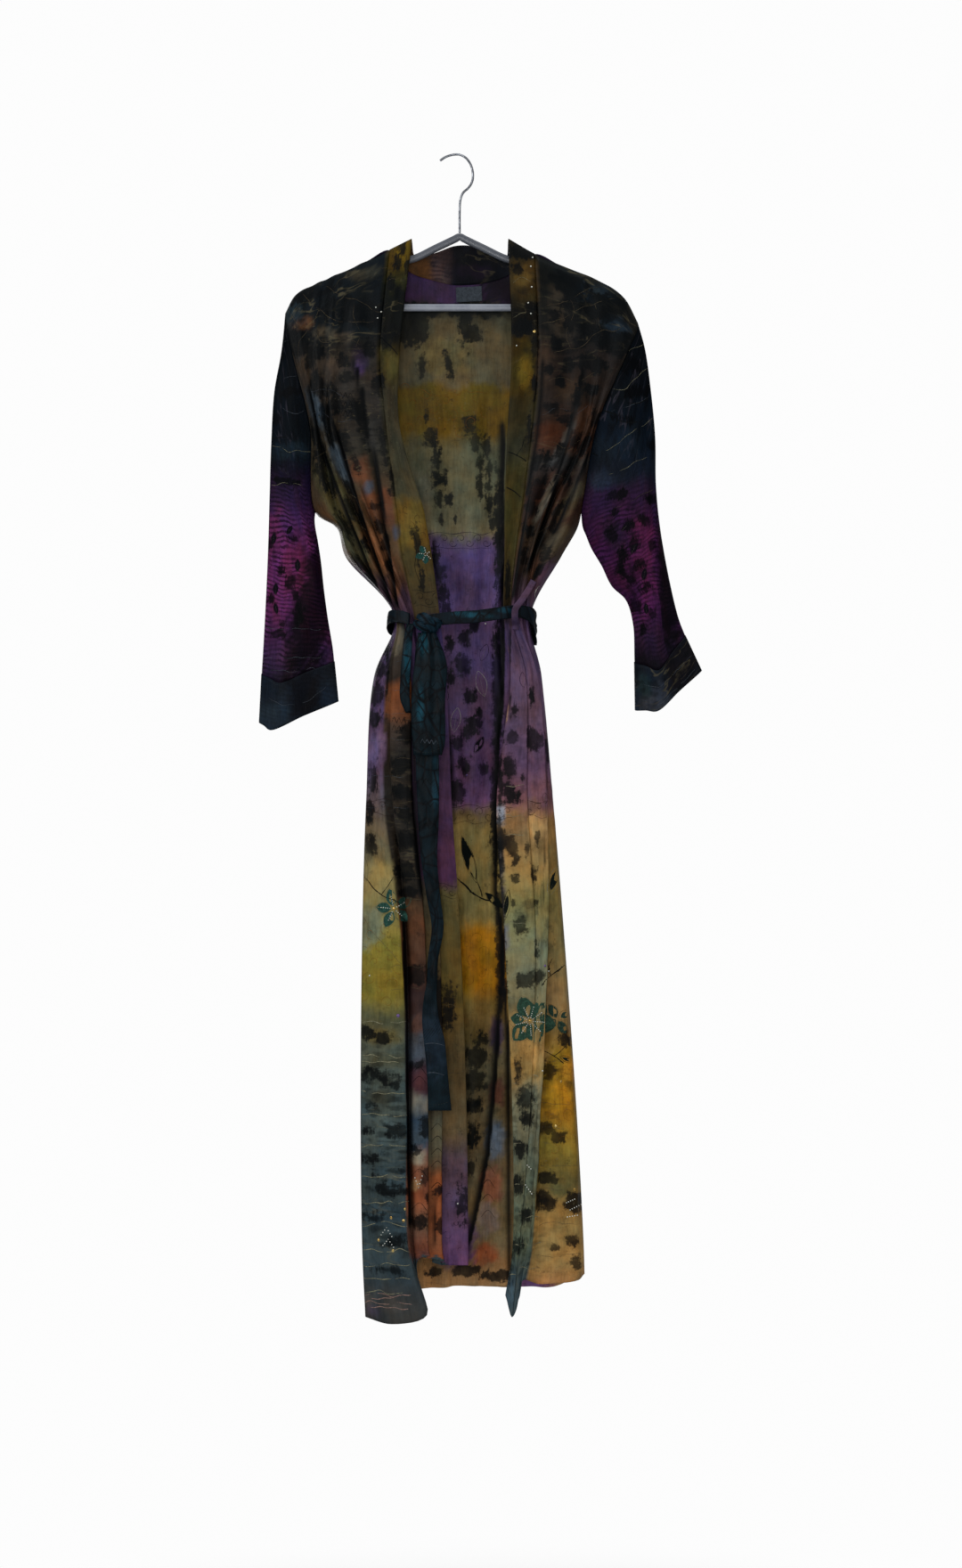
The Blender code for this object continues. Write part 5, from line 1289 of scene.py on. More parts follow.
SLEEVE_SHEETS = {"right": ((0.25, 0.42), 0.057), "left": ((0.25, 0.44), 0.064)}
for name, sections, cuff_hem, bands, spots, lean, seed in SLEEVES:
    rings = np.stack([armhole_section(*edges[name])] + [sleeve_section(row) for row in sections])
    sleeve_points = through(rings, steps_for(rings, CLOTH_STEP)).transpose(1, 0, 2)
    share = np.linspace(0, 1, 18)[None, :, None]
    cuff_points = rings[-1][:, None] * (1 - share) + sleeve_section(cuff_hem)[:, None] * share
    number = np.arange(AROUND, dtype=float) * 99 / AROUND
    if name == "right":
        sleeve_points, cuff_points, number = sleeve_points[::-1], cuff_points[::-1], number[::-1]
    sleeve = shell(
        "robe_sleeve_" + name, sleeve_points,
        silk("sleeve_silk_" + name, "050608", "4a4550", "08070c", stripe_lean=lean, shine=0.02),
        painted(sleeve_points, number, bands, spots, SLEEVE_BLOTS, SLEEVE_MARKS, seed=seed), closed=True,
    )
    cuff_points = cuff_points + normals_of(cuff_points, True) * CUFF_PROUD
    cuff = shell(
        "robe_cuff_" + name, cuff_points,
        silk("cuff_silk_" + name, stripe="08090c", stripe_lean=lean, shine=0.03),
        painted(cuff_points, number, CUFF_BANDS, CUFF_SPOTS, marks=CUFF_MARKS, seed=seed + 4),
        closed=True, thickness=CUFF_THICK,
    )
    for piece, node, slot in ((sleeve, "sleeve_", "sleeve_silk"), (cuff, "cuff_", "cuff_silk")):
        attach(piece, "root")
        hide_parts(node + name)
    flat, area = SLEEVE_SHEETS[name]

# Tie belt
# A long strip of doubled silk, gathered round the waist, spread out at the wearer's left side and
# behind, tied once in front. A short wide end, a loop and the long tail hang from the knot.
BELT_HALF_WIDTH = 94.5
BELT_HALF_DEPTH = 36.5
BELT_CENTRE_X = 3.2
BELT_ROUNDING = 3.0
WAIST_THICK = 0.8
STRIP_THICK = 1.0
KNOT_THICK = 0.5
KNOT_CENTRE = (-40, -45, -600)
STRIP_COLUMNS = ("z", "left_x", "right_x", "y")
BELT_TAIL = (
    (-609.6, -52, -30, 41), (-640, -56, -30, 41), (-690, -56, -30, 40), (-765, -55, -26, 40),
    (-845, -52, -26, 40), (-896, -48, -28, 39), (-943, -41, -24, 38), (-981, -35, -20, 37),
    (-1023, -40, -27, 37), (-1050, -41, -28, 37), (-1066, -44, -29, 37), (-1095, -47, -26, 37),
    (-1122, -45, -19, 37), (-1163, -41, -15, 36), (-1212, -39, -10, 36),
)
BELT_END = (
    (-608.8, -47, -30, 46), (-648, -56, -16, 50), (-695, -60, -18, 51), (-747, -59, -18, 50),
    (-764, -57, -22, 49),
)
BELT_LOOP = (
    (-598.0, -66, -58, 33), (-612, -69, -59, 41), (-630, -71, -60, 46), (-668, -74, -62.5, 47),
    (-694, -74, -62.5, 47), (-711, -67, -61, 46),
)
# Half height of the belt, its height under the hook and how far it is gathered, against the angle
# round the waist: -90 degrees is in front, 0 the wearer's left side, 90 behind.
GATHER_COLUMNS = ("degrees", "half_height", "z", "gathered")
GATHERS = (
    (-118, 7.2, -597, 1.0), (-90, 7.6, -590, 1.0), (-60, 7.6, -583, 1.0), (-40, 8.0, -583, 1.0),
    (-22, 13.5, -590, 0.6), (-6, 20.0, -601, 0.15), (30, 19.5, -602, 0.1), (90, 18.0, -600, 0.1),
    (150, 16.0, -596, 0.15), (180, 11.5, -592, 0.5), (205, 8.0, -588, 1.0), (225, 7.4, -589, 1.0),
    (238, 7.2, -594, 1.0),
)


HATCH_STEP = 0.0024


def belt_silk(name):
    """Dark teal silk with crossing darker lines, faint near the tail's end, and patches of hatching."""
    n = Recipe(name)
    uv = n.cloth_map()
    cloud = n.noise(uv, 38.0, 5.0, 0.62)
    streak = n.noise(n.stretch(uv, (500.0, 22.0, 1.0)), 1.0, 3.0, 0.6)
    tone = n.math("ADD", n.fade(cloud, 0.3, 0.7, 0.45, 1.7), n.fade(streak, 0.3, 0.7, -0.2, 0.2))
    colour = n.toned(n.value_of("ground", "Color"), tone, tone, tone)
    lines = n.fade(n.cells(n.stretch(uv, (58.0, 42.0, 1.0), 0.5)), 0.02, 0.07, 0.9, 0.0)
    lines = n.math("MULTIPLY", lines, n.fade(n.along(n.place(), "Z"), -1.07, -1.03, 0.1, 1.0))
    colour = n.dyed(lines, colour, "04060a")
    aslant = n.along(n.stretch(uv, (1.0, 1.0, 1.0), 0.7), "X")
    hatch = n.math("SINE", n.math("MULTIPLY", aslant, 2 * math.pi / HATCH_STEP))
    patches = n.fade(n.noise(uv, 30.0, 2.0), 0.5, 0.58)
    colour = n.dyed(n.math("MULTIPLY", n.fade(hatch, 0.2, 0.8, 0.0, 0.6), patches), colour, "05070b")
    n.crumpled(uv, 0.0018, 0.45)
    rough = n.fade(cloud, 0.3, 0.7, 0.36, 0.5)
    return n.surface(Base_Color=colour, Roughness=rough, Specular_IOR_Level=0.07)


belt_cloth = belt_silk("belt_silk")


def belt_oval(angle):
    """A point of the belt's oval round the waist: x and y are powers 2/3 of cosine and sine."""
    c, s = np.cos(angle), np.sin(angle)
    power = 2 / BELT_ROUNDING
    x = BELT_CENTRE_X + BELT_HALF_WIDTH * np.sign(c) * np.abs(c) ** power
    y = BELT_HALF_DEPTH * np.sign(s) * np.abs(s) ** power
    return np.stack([x, y], axis=-1)


degrees = np.linspace(-114, 234, 240)
at = dict(zip(GATHER_COLUMNS, np.array(GATHERS, float).T))
gather_steps = [24] * (len(GATHERS) - 1)
lines = [through(np.stack([at["degrees"], at[key]], axis=1), gather_steps) for key in GATHER_COLUMNS[1:]]
half_height, belt_z, gathered = (np.interp(degrees, line[:, 0], line[:, 1]) for line in lines)
gathered = np.clip(gathered, 0, 1)[:, None]
flat = belt_oval(np.radians(degrees))
out = np.gradient(flat, axis=0)
out = np.stack([out[:, 1], -out[:, 0]], axis=1)
out /= np.linalg.norm(out, axis=1, keepdims=True)
s = np.linspace(0, 1, 46)[None, :]
turns = np.radians(degrees)[:, None]
lean = 0.35 * np.sin(3 * turns + 0.6)
rise = half_height[:, None] * (
    (1 - gathered) * (1 - 2 * s) + gathered * np.cos(3 * np.pi * s + lean * np.sin(np.pi * s))
)
loose_folds = 0.9 * np.sin(2 * np.pi * 3.5 * s + 2.2 * turns) * np.sin(np.pi * s) ** 0.5
stand = gathered * (2 * s - 1) * 2.4 + (1 - gathered) * loose_folds
stand = stand + 0.35 * np.sin(17 * turns + 9 * s) * gathered
belt_points = np.concatenate([
    flat[:, None] + out[:, None] * stand[..., None],
    (belt_z[:, None] + rise)[..., None],
], axis=-1)


def belt_paint(points, ground, seed, spots=None):
    """The belt's ground colour with painted highlights where the silk shines."""
    plain = np.broadcast_to(linear(ground), points.shape)
    return {"ground": spotted(plain, picture_place(points), np.zeros(len(points)), spots or {}, seed)}


# painted highlights on the belt's gathered silk
WAIST_HIGHLIGHTS = {(0, 0): ((530, 690, 22, 3, 4, "113642"), (566, 685, 10, 3, 4, "0e2c38"))}
belt_waist = shell(
    "belt_waist_cloth", belt_points, belt_cloth, belt_paint(belt_points, "071118", 101, WAIST_HIGHLIGHTS),
    thickness=WAIST_THICK,
)
# painted highlights down the belt's end and tail
BELT_HIGHLIGHTS = {(0, 0): (
    (458, 745, 5, 24, 0, "103541"), (476, 722, 5, 12, 0, "113945"), (484, 1172, 20, 36, 0, "141f29"),
    (472, 790, 4, 24, 0, "0f333f"), (489, 880, 4, 30, 0, "102a35"),
)}


def belt_strip(name, rows, bow, pleats, pleat_depth, seed):
    """A hanging strip: its middle bowed forward, its pleats deepest at the knot and fading downward."""
    at = dict(zip(STRIP_COLUMNS, np.array(rows, float).T))
    knots = np.stack([at["left_x"], at["right_x"], -at["y"], at["z"]], axis=1)
    lines = through(knots, np.maximum(3, np.round(np.abs(np.diff(at["z"])) / 3.6)).astype(int))
    s = np.linspace(0, 1, 23)[:, None]
    v = (lines[0, 3] - lines[:, 3])[None, :]
    x = lines[:, 0] + (lines[:, 1] - lines[:, 0]) * s
    fade = np.exp(-v / 70)
    folds = pleat_depth * np.sin(np.pi * pleats * s + 0.6) * np.sin(np.pi * s) ** 0.5
    lift = bow * np.sin(np.pi * s) + folds * (0.25 + 0.75 * fade)
    lift = lift + 0.7 * waves(x, v, seed, 16, 60)
    points = np.stack([x, lines[:, 2] - lift, np.broadcast_to(lines[:, 3], x.shape)], axis=-1)
    paint = belt_paint(points, "08151b", seed, BELT_HIGHLIGHTS)
    return shell(name, points, belt_cloth, paint, thickness=STRIP_THICK)


belt_tail = belt_strip("belt_tail_cloth", BELT_TAIL, 1.0, 3.0, 1.2, 111)
belt_end = belt_strip("belt_end_cloth", BELT_END, 2.0, 5.0, 1.8, 121)
belt_loop = belt_strip("belt_loop_cloth", BELT_LOOP, 1.5, 2.0, 0.8, 131)


def knot_strand(name, route, half_wide, half_thick, seed):
    """A bundle of gathered cloth along a route: an oval section with lengthwise grooves."""
    knots = np.array(route, float)
    centre = through(knots, [10] * (len(knots) - 1))
    ahead = np.gradient(centre, axis=0)
    ahead /= np.linalg.norm(ahead, axis=1, keepdims=True)
    outward = centre - np.array(KNOT_CENTRE) - np.array([0, 14, 0])
    outward -= (outward * ahead).sum(axis=1, keepdims=True) * ahead
    outward /= np.linalg.norm(outward, axis=1, keepdims=True)
    wide = np.cross(ahead, outward)
    a = np.linspace(0, 2 * np.pi, 40, endpoint=False)[:, None]
    t = np.linspace(0, 1, len(centre))[None, :]
    groove = 1 + 0.13 * np.cos(5 * a + 3 * t + seed) + 0.06 * np.cos(9 * a - 5 * t)
    ends = 0.35 + 0.65 * np.sin(np.pi * np.clip(t, 0.02, 0.98)) ** 0.4
    points = (
        centre[None]
        + (np.cos(a) * groove * ends * half_wide)[..., None] * wide[None]
        + (np.sin(a) * groove * ends * half_thick)[..., None] * outward[None]
    )
    points = points[::-1]
    paint = belt_paint(points, "0e222d", seed)
    return shell(name, points, belt_cloth, paint, closed=True, thickness=KNOT_THICK)


OVER_ROUTE = ((-52, -42, -589), (-47, -51, -590), (-38, -54.5, -597), (-32, -51, -605), (-34, -42, -610))
SIDE_ROUTE = ((-56, -42, -596), (-50, -49, -601), (-40, -50, -604), (-29, -49, -600), (-23, -42, -596))
UNDER_ROUTE = ((-46, -43, -592), (-38, -47, -594), (-29, -48, -597), (-25, -44, -603))
knot_over = knot_strand("belt_knot_over", OVER_ROUTE, 5.8, 3.0, 141)
knot_side = knot_strand("belt_knot_side", SIDE_ROUTE, 5.2, 3.2, 142)
knot_under = knot_strand("belt_knot_under", UNDER_ROUTE, 4.8, 3.4, 143)
for piece, node in (
    (belt_waist, "belt_waist"), (belt_tail, "belt_tail"), (belt_end, "belt_end"), (belt_loop, "belt_loop"),
    (knot_over, "belt_knot"), (knot_side, None), (knot_under, None),
):
    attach(piece, "root")
    if node:
        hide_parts(node)

# Belt carriers
# Narrow folded strips of the lilac silk, sewn down at both ends, that hold the belt at the sides.
CARRIER_ROUTE = {
    "left": (
        (94, -543, None), (91, -548, None), (88, -553, None), (79, -568, 38), (70.5, -580, 41),
        (70, -592, 41), (71, -600, None), (71, -605, None),
    ),
    "right": (
        (-86, -546, None), (-85, -551, None), (-84, -556, None), (-82, -569, 34), (-80, -582, 37),
        (-80, -596, 35), (-81, -606, None), (-81, -611, None),
    ),
}
CARRIER_WIDTH = 8.0
CARRIER_REST = 1.6
CARRIER_THICK = 0.9
CARRIER_PUFF = 0.5
CARRIER_BANDS = ((0, 0, ((640, "4a3a50"), (710, "43334a"))),)
DEPTH_SEARCH = 5.0


def outer_depth(points, x, z, side):
    """How far a panel's outer layer stands from the middle plane within DEPTH_SEARCH of a place."""
    near = np.hypot(points[..., 0] - x, points[..., 2] - z) < DEPTH_SEARCH
    return (side * points[..., 1])[near].max()


for name, cloth_points, side in (("left", front_left_points, -1), ("right", whole_back, 1)):
    knots = []
    for x, z, depth in CARRIER_ROUTE[name]:
        if depth is None:
            depth = outer_depth(cloth_points, x, z, side) + CARRIER_REST
        knots.append((x, side * depth, z))
    middle = through(np.array(knots, float), [6] * (len(knots) - 1))
    run = np.gradient(middle, axis=0)
    sideways = np.stack([-run[:, 2], 0 * run[:, 1], run[:, 0]], axis=1)
    sideways /= np.linalg.norm(sideways, axis=1, keepdims=True)
    s = np.linspace(-0.5, 0.5, 9)[:, None, None]
    puff = np.array([0, side * CARRIER_PUFF, 0]) * (1 - 4 * s * s)
    points = middle[None] + s * CARRIER_WIDTH * sideways[None] + puff
    if side < 0:
        points = points[::-1]
    carrier = shell(
        "belt_carrier_" + name, points, silk("carrier_silk_" + name),
        painted(points, np.zeros(len(points)), CARRIER_BANDS, seed=151), thickness=CARRIER_THICK,
    )
    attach(carrier, "root")
    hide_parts("carrier_" + name)

# Neck label
# A small plain woven label, sewn inside the back neck by all four edges. It tilts a little.
LABEL_SIZE = (33, 19)
LABEL_CENTRE = (12, -175)
LABEL_TILT = math.radians(3)
LABEL_SEARCH = 12.0
LABEL_PROUD = 1.3
LABEL_BOW = 0.4
LABEL_THICK = 0.6
WEFT_STEP, WARP_STEP = 0.0007, 0.0005
u, v = np.meshgrid(np.linspace(-0.5, 0.5, 34), np.linspace(0.5, -0.5, 20), indexing="ij")
wide, tall = LABEL_SIZE[0] * u, LABEL_SIZE[1] * v
label_x = LABEL_CENTRE[0] + wide * math.cos(LABEL_TILT) - tall * math.sin(LABEL_TILT)
label_z = LABEL_CENTRE[1] + wide * math.sin(LABEL_TILT) + tall * math.cos(LABEL_TILT)
cloth_x, cloth_y, cloth_z = whole_back.reshape(-1, 3).T
apart = np.hypot(cloth_x - label_x[..., None], cloth_z - label_z[..., None])
nearest_y = np.where(apart < LABEL_SEARCH, cloth_y, np.inf).min()
label_y = nearest_y - LABEL_PROUD + LABEL_BOW * np.cos(2 * np.pi * u) * np.cos(np.pi * v)
label_points = np.stack([label_x, label_y, label_z], axis=-1)[::-1]
n = Recipe("label_cloth")
uv = n.cloth_map()
weft = n.math("SINE", n.math("MULTIPLY", n.along(uv, "Y"), 2 * math.pi / WEFT_STEP))
warp = n.math("SINE", n.math("MULTIPLY", n.along(uv, "X"), 2 * math.pi / WARP_STEP))
woven = n.math("MULTIPLY", weft, warp)
worn = n.noise(uv, 240.0, 4.0, 0.7)
tone = n.dyed(n.fade(worn, 0.35, 0.65), (*linear("20262d"), 1), "363d45")
tone = n.dyed(n.fade(woven, -0.6, 0.6, 0.0, 0.35), tone, "5a6168")
n.bump(woven, 0.5, 0.0004)
n.surface(Base_Color=tone, Roughness=n.fade(worn, 0.3, 0.7, 0.6, 0.8), Specular_IOR_Level=0.15)
label = shell("neck_label_cloth", label_points, n.material, {}, thickness=LABEL_THICK)
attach(label, "root")
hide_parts("neck_label")

# Hanger
# One moulded frame of smoky grey plastic: two arms that rise to the neck, round ends and a straight
# bar. It is scuffed paler in spots, and the moulding's parting line runs round the middle.
ARM_HALF_HEIGHT = 4.6
ARM_TIP_HALF_HEIGHT = 3.2
ARM_HALF_DEPTH = 3.8
ARM_CLEARANCE = 0.35
ARM_NECK_DIP = 9.0
ARM_TIP_DIP = 0.8
ARM_DIP_FADE = (90, 150)
ARM_TAPER = (150, 185)
ARM_END_BULGE = 5.5
ARM_REACH = 196
ARM_APEX_Z = -103
ARM_NEAR_NECK = ((5, -105.5), (30, -117.5), (60, -131.5))
BAR_Z = -193.5
CAD_WALL = 1.0


def arm_path(rows, neck, tip):
    """One half of the frame in front view: under the shoulder line, round the end and along the bar."""
    table = [dict(zip(FOLD_COLUMNS, row)) for row in rows]
    line = np.array(sorted((at["top"], at["top_z"]) for at in table), float)
    xs = np.linspace(neck, tip, 6)
    shoulder = np.interp(xs, line[:, 0], line[:, 1])
    under = (ARM_HALF_HEIGHT + CAD_WALL / 2 + ARM_CLEARANCE) * np.sqrt(1 + np.gradient(shoulder, xs) ** 2)
    zs = shoulder - under - np.interp(np.abs(xs), ARM_DIP_FADE, (ARM_NECK_DIP, ARM_TIP_DIP))
    sign = math.copysign(1, tip)
    inner = [(sign * x, z) for x, z in ARM_NEAR_NECK]
    end = [(tip + sign * ARM_END_BULGE, (zs[-1] + BAR_Z) / 2 - 1), (tip - sign * 4, BAR_Z)]
    return inner + list(zip(xs, zs)) + end + [(tip * 0.9, BAR_Z), (tip * 0.5, BAR_Z)]


def rod(name, centres, heights, depth, power, material, closed):
    """A bar along a path in the plane of the hanger: its section is |a|^p + |b|^p = 1."""
    ahead = np.gradient(centres, axis=0)
    if closed:
        ahead = np.roll(centres, -1, axis=0) - np.roll(centres, 1, axis=0)
    across = np.stack([-ahead[:, 2], 0 * ahead[:, 1], ahead[:, 0]], axis=1)
    across /= np.linalg.norm(across, axis=1, keepdims=True)
    a = np.linspace(0, 2 * np.pi, 20, endpoint=False)
    c, s = np.cos(a), np.sin(a)
    high = np.sign(c) * np.abs(c) ** (2 / power)
    deep = np.sign(s) * np.abs(s) ** (2 / power)
    ring = centres[:, None] + across[:, None] * (heights[:, None] * high)[..., None]
    ring = ring + np.array([0, 1, 0]) * (depth * deep)[None, :, None]
    rows, around = ring.shape[:2]
    index = np.arange(rows * around).reshape(rows, around)
    index = np.concatenate([index, index[:, :1]], axis=1)
    if closed:
        index = np.concatenate([index, index[:1]])
    faces = quads_of(index)[:, (0, 3, 2, 1)].tolist()
    if not closed:
        faces += [index[0, :-1][::-1].tolist(), index[-1, :-1].tolist()]
    return made(name, ring.reshape(-1, 3), faces, material)


path = [(0, ARM_APEX_Z)] + arm_path(FRONT_RIGHT_FOLDS, -89, -ARM_REACH) + [(0, BAR_Z)]
path = np.array(path + arm_path(FRONT_LEFT_FOLDS, 95, ARM_REACH + 5)[::-1], float)
knots = np.stack([path[:, 0], 0 * path[:, 0], path[:, 1]], axis=1)
spans = np.linalg.norm(np.roll(knots, -1, axis=0) - knots, axis=1)
centres = through(knots, np.maximum(2, np.round(spans / 5)).astype(int), closed=True)
heights = np.interp(np.abs(centres[:, 0]), ARM_TAPER, (ARM_HALF_HEIGHT, ARM_TIP_HALF_HEIGHT))
n = Recipe("hanger_plastic")
spot = n.place()
smoke = n.noise(spot, 26.0, 5.0, 0.6)
scuff = n.noise(n.stretch(spot, (300.0, 300.0, 900.0)), 1.0, 3.0, 0.6)
plastic = n.dyed(n.fade(smoke, 0.3, 0.7), (*linear("6f7480"), 1), "8b909a")
plastic = n.dyed(n.fade(scuff, 0.58, 0.72, 0.0, 0.35), plastic, "b4b9c0")
# the arms, above the bar, are painted darker: painted shade of the slanted arms
plastic = n.dyed(n.fade(n.along(spot, "Z"), -0.186, -0.176, 0.0, 0.8), plastic, "3f4249")
parting = n.fade(n.math("ABSOLUTE", n.along(spot, "Y")), 0.0001, 0.0004, 1.0, 0.0)
plastic = n.dyed(n.math("MULTIPLY", parting, 0.4), plastic, "4c515a")
n.bump(n.math("ADD", scuff, parting), 0.25, 0.0004)
n.surface(Base_Color=plastic, Roughness=n.fade(smoke, 0.3, 0.7, 0.3, 0.42))
hanger = rod("hanger_bar_and_arms", centres, heights, ARM_HALF_DEPTH, 3.0, n.material, True)
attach(hanger, "root")
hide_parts("hanger_frame")

# Hook
# Drawn steel wire, bent over a former and pressed into the top of the hanger. Fine draw marks run
# along it, over an uneven tarnish.
HOOK_ROUTE = (
    (-25, -6.2), (-18, -1.5), (-10, 1.2), (0, 1.5), (8.5, -3.2), (14.8, -13), (17, -25), (15.5, -34),
    (11, -41), (4.5, -47), (1, -56), (0, -72), (0, -98.1),
)
WIRE_RADIUS = 1.5
WIRE_STEP = 1.6
knots = np.array([(x, 0, z) for x, z in HOOK_ROUTE], float)
centres = through(knots, steps_for(knots, WIRE_STEP))
radii = np.full(len(centres), WIRE_RADIUS)
n = Recipe("hook_steel")
drawn = n.noise(n.stretch(n.place(), (2600.0, 2600.0, 240.0)), 1.0, 3.0, 0.6)
tarnish = n.noise(n.place(), 130.0, 4.0, 0.6)
steel = n.dyed(n.fade(tarnish, 0.35, 0.65), (*linear("6b6e75"), 1), "9a9da3")
n.bump(drawn, 0.2, 0.0002)
n.surface(Base_Color=steel, Roughness=n.fade(drawn, 0.3, 0.7, 0.24, 0.4), Metallic=1.0)
hook = rod("hook_wire", centres, radii, WIRE_RADIUS, 2.0, n.material, False)
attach(hook, "root")
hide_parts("hook")

# Drawn lines
# Thin pale lines that the silk keeps where it was waxed or tied, dark twigs and scrolls drawn with a
# brush, and the sewing thread. Each is a very low ridge that lies on its own piece of cloth.
INKS = {
    "pale": "7a7760", "tan": "544a38", "white": "a3a197", "dark": "090b0c", "brown": "2a1a12",
    "rust": "7a4a16", "violet": "1c1028", "thread": "4b4738", "slate": "4a5058", "pink": "8a6f66",
}
cloths = {
    "back": back, "front_right": front_right, "front_left": front_left,
    "band_right": band_right, "band_left": band_left,
}
for name in ("sleeve_right", "sleeve_left", "cuff_right", "cuff_left", "neckband_back"):
    cloths[name] = bpy.data.objects["robe_" + name]
for name in ("belt_tail", "belt_end"):
    cloths[name] = bpy.data.objects[name + "_cloth"]
cloths["belt_carrier_left"] = bpy.data.objects["belt_carrier_left"]
# millimetres that drawn ridges and filled patches stand proud of the cloth and are sunk in it
RIDGE_HEIGHT, RIDGE_SUNK = 0.2, 0.25
PATCH_HEIGHT, PATCH_SUNK, PATCH_UNDER = 0.14, 0.2, 0.6
# a patch's inner ring, as a share of its outline, and how far in depth a patch may reach at most
PATCH_INNER = 0.84
PATCH_DEEPEST = 22


def search_tree(*pieces):
    """One search tree for a cloth, or for two that a drawn figure runs across."""
    points, corners = [], []
    for piece in pieces:
        start = len(points)
        points += [v.co for v in piece.data.vertices]
        corners += [[start + corner for corner in p.vertices] for p in piece.data.polygons]
    return BVHTree.FromPolygons(points, corners)


faces_of = {name: search_tree(piece) for name, piece in cloths.items()}
faces_of["left"] = search_tree(front_left, band_left)
faces_of["right"] = search_tree(front_right, band_right)


def laid_on(name, px, py, behind=False):
    """Where the picture's points meet a cloth, and its normals there, in millimetres.

    Each is the first place that a line from the camera meets, or one from as far behind the robe.
    """
    x = camera_x + (px - PICTURE_SIZE[0] / 2) * PICTURE_POINT
    z = camera_z - (py - PICTURE_SIZE[1] / 2) * PICTURE_POINT
    far = CAMERA_DISTANCE if behind else -CAMERA_DISTANCE
    eye = Vector((camera_x, far, camera_z)) * MM
    aims = np.stack([x, 0 * x, z], axis=-1) * MM
    found = [faces_of[name].ray_cast(eye, Vector(aim) - eye)[:2] for aim in aims]
    nowhere = (np.nan,) * 3
    places = np.array([nowhere if place is None else place[:] for place, _ in found]) / MM
    normals = np.array([nowhere if normal is None else normal[:] for _, normal in found])
    facing = np.sign(normals[:, 1:2]) * (1 if behind else -1)
    return places, normals * np.where(facing == 0, 1, facing)


def ridge(places, normals, width):
    """A low ridge with a three-sided section along a run of places: its points and faces."""
    ahead = np.gradient(places, axis=0)
    sideways = np.cross(normals, ahead)
    sideways /= np.maximum(np.linalg.norm(sideways, axis=1, keepdims=True), 1e-9)
    taper = 0.35 + 0.65 * np.sin(np.pi * np.linspace(0, 1, len(places))) ** 0.3
    half = sideways * (width * taper / 2)[:, None]
    low = places - normals * RIDGE_SUNK
    points = np.stack([low + half, low - half, places + normals * RIDGE_HEIGHT], axis=1)
    k = np.arange(len(places) - 1)[:, None] * 3
    sides = [k + np.array(quad) for quad in ((0, 2, 5, 3), (2, 1, 4, 5), (1, 0, 3, 4))]
    last = 3 * (len(places) - 1)
    return points.reshape(-1, 3), np.concatenate(sides).tolist() + [[0, 1, 2], [last, last + 2, last + 1]]


def runs_of(places, longest):
    """Splits a drawn line where the cloth is missing or steps back behind a fold."""
    good = ~np.isnan(places[:, 0])
    step = np.linalg.norm(np.diff(places, axis=0), axis=1)
    cuts = np.concatenate([[0], np.where(~(step < longest))[0] + 1, [len(places)]])
    return [(a, b) for a, b in zip(cuts[:-1], cuts[1:]) if b - a >= 4 and good[a:b].all()]


def domed(count):
    """Faces of a low dome: an outer ring of points, an inner one, a top and a bottom point."""
    k = np.arange(count)
    following = (k + 1) % count
    faces = np.stack([k, following, following + count, k + count], axis=1).tolist()
    faces += np.stack([k + count, following + count, 0 * k + 2 * count], axis=1).tolist()
    return faces + np.stack([following, k, 0 * k + 2 * count + 1], axis=1).tolist()


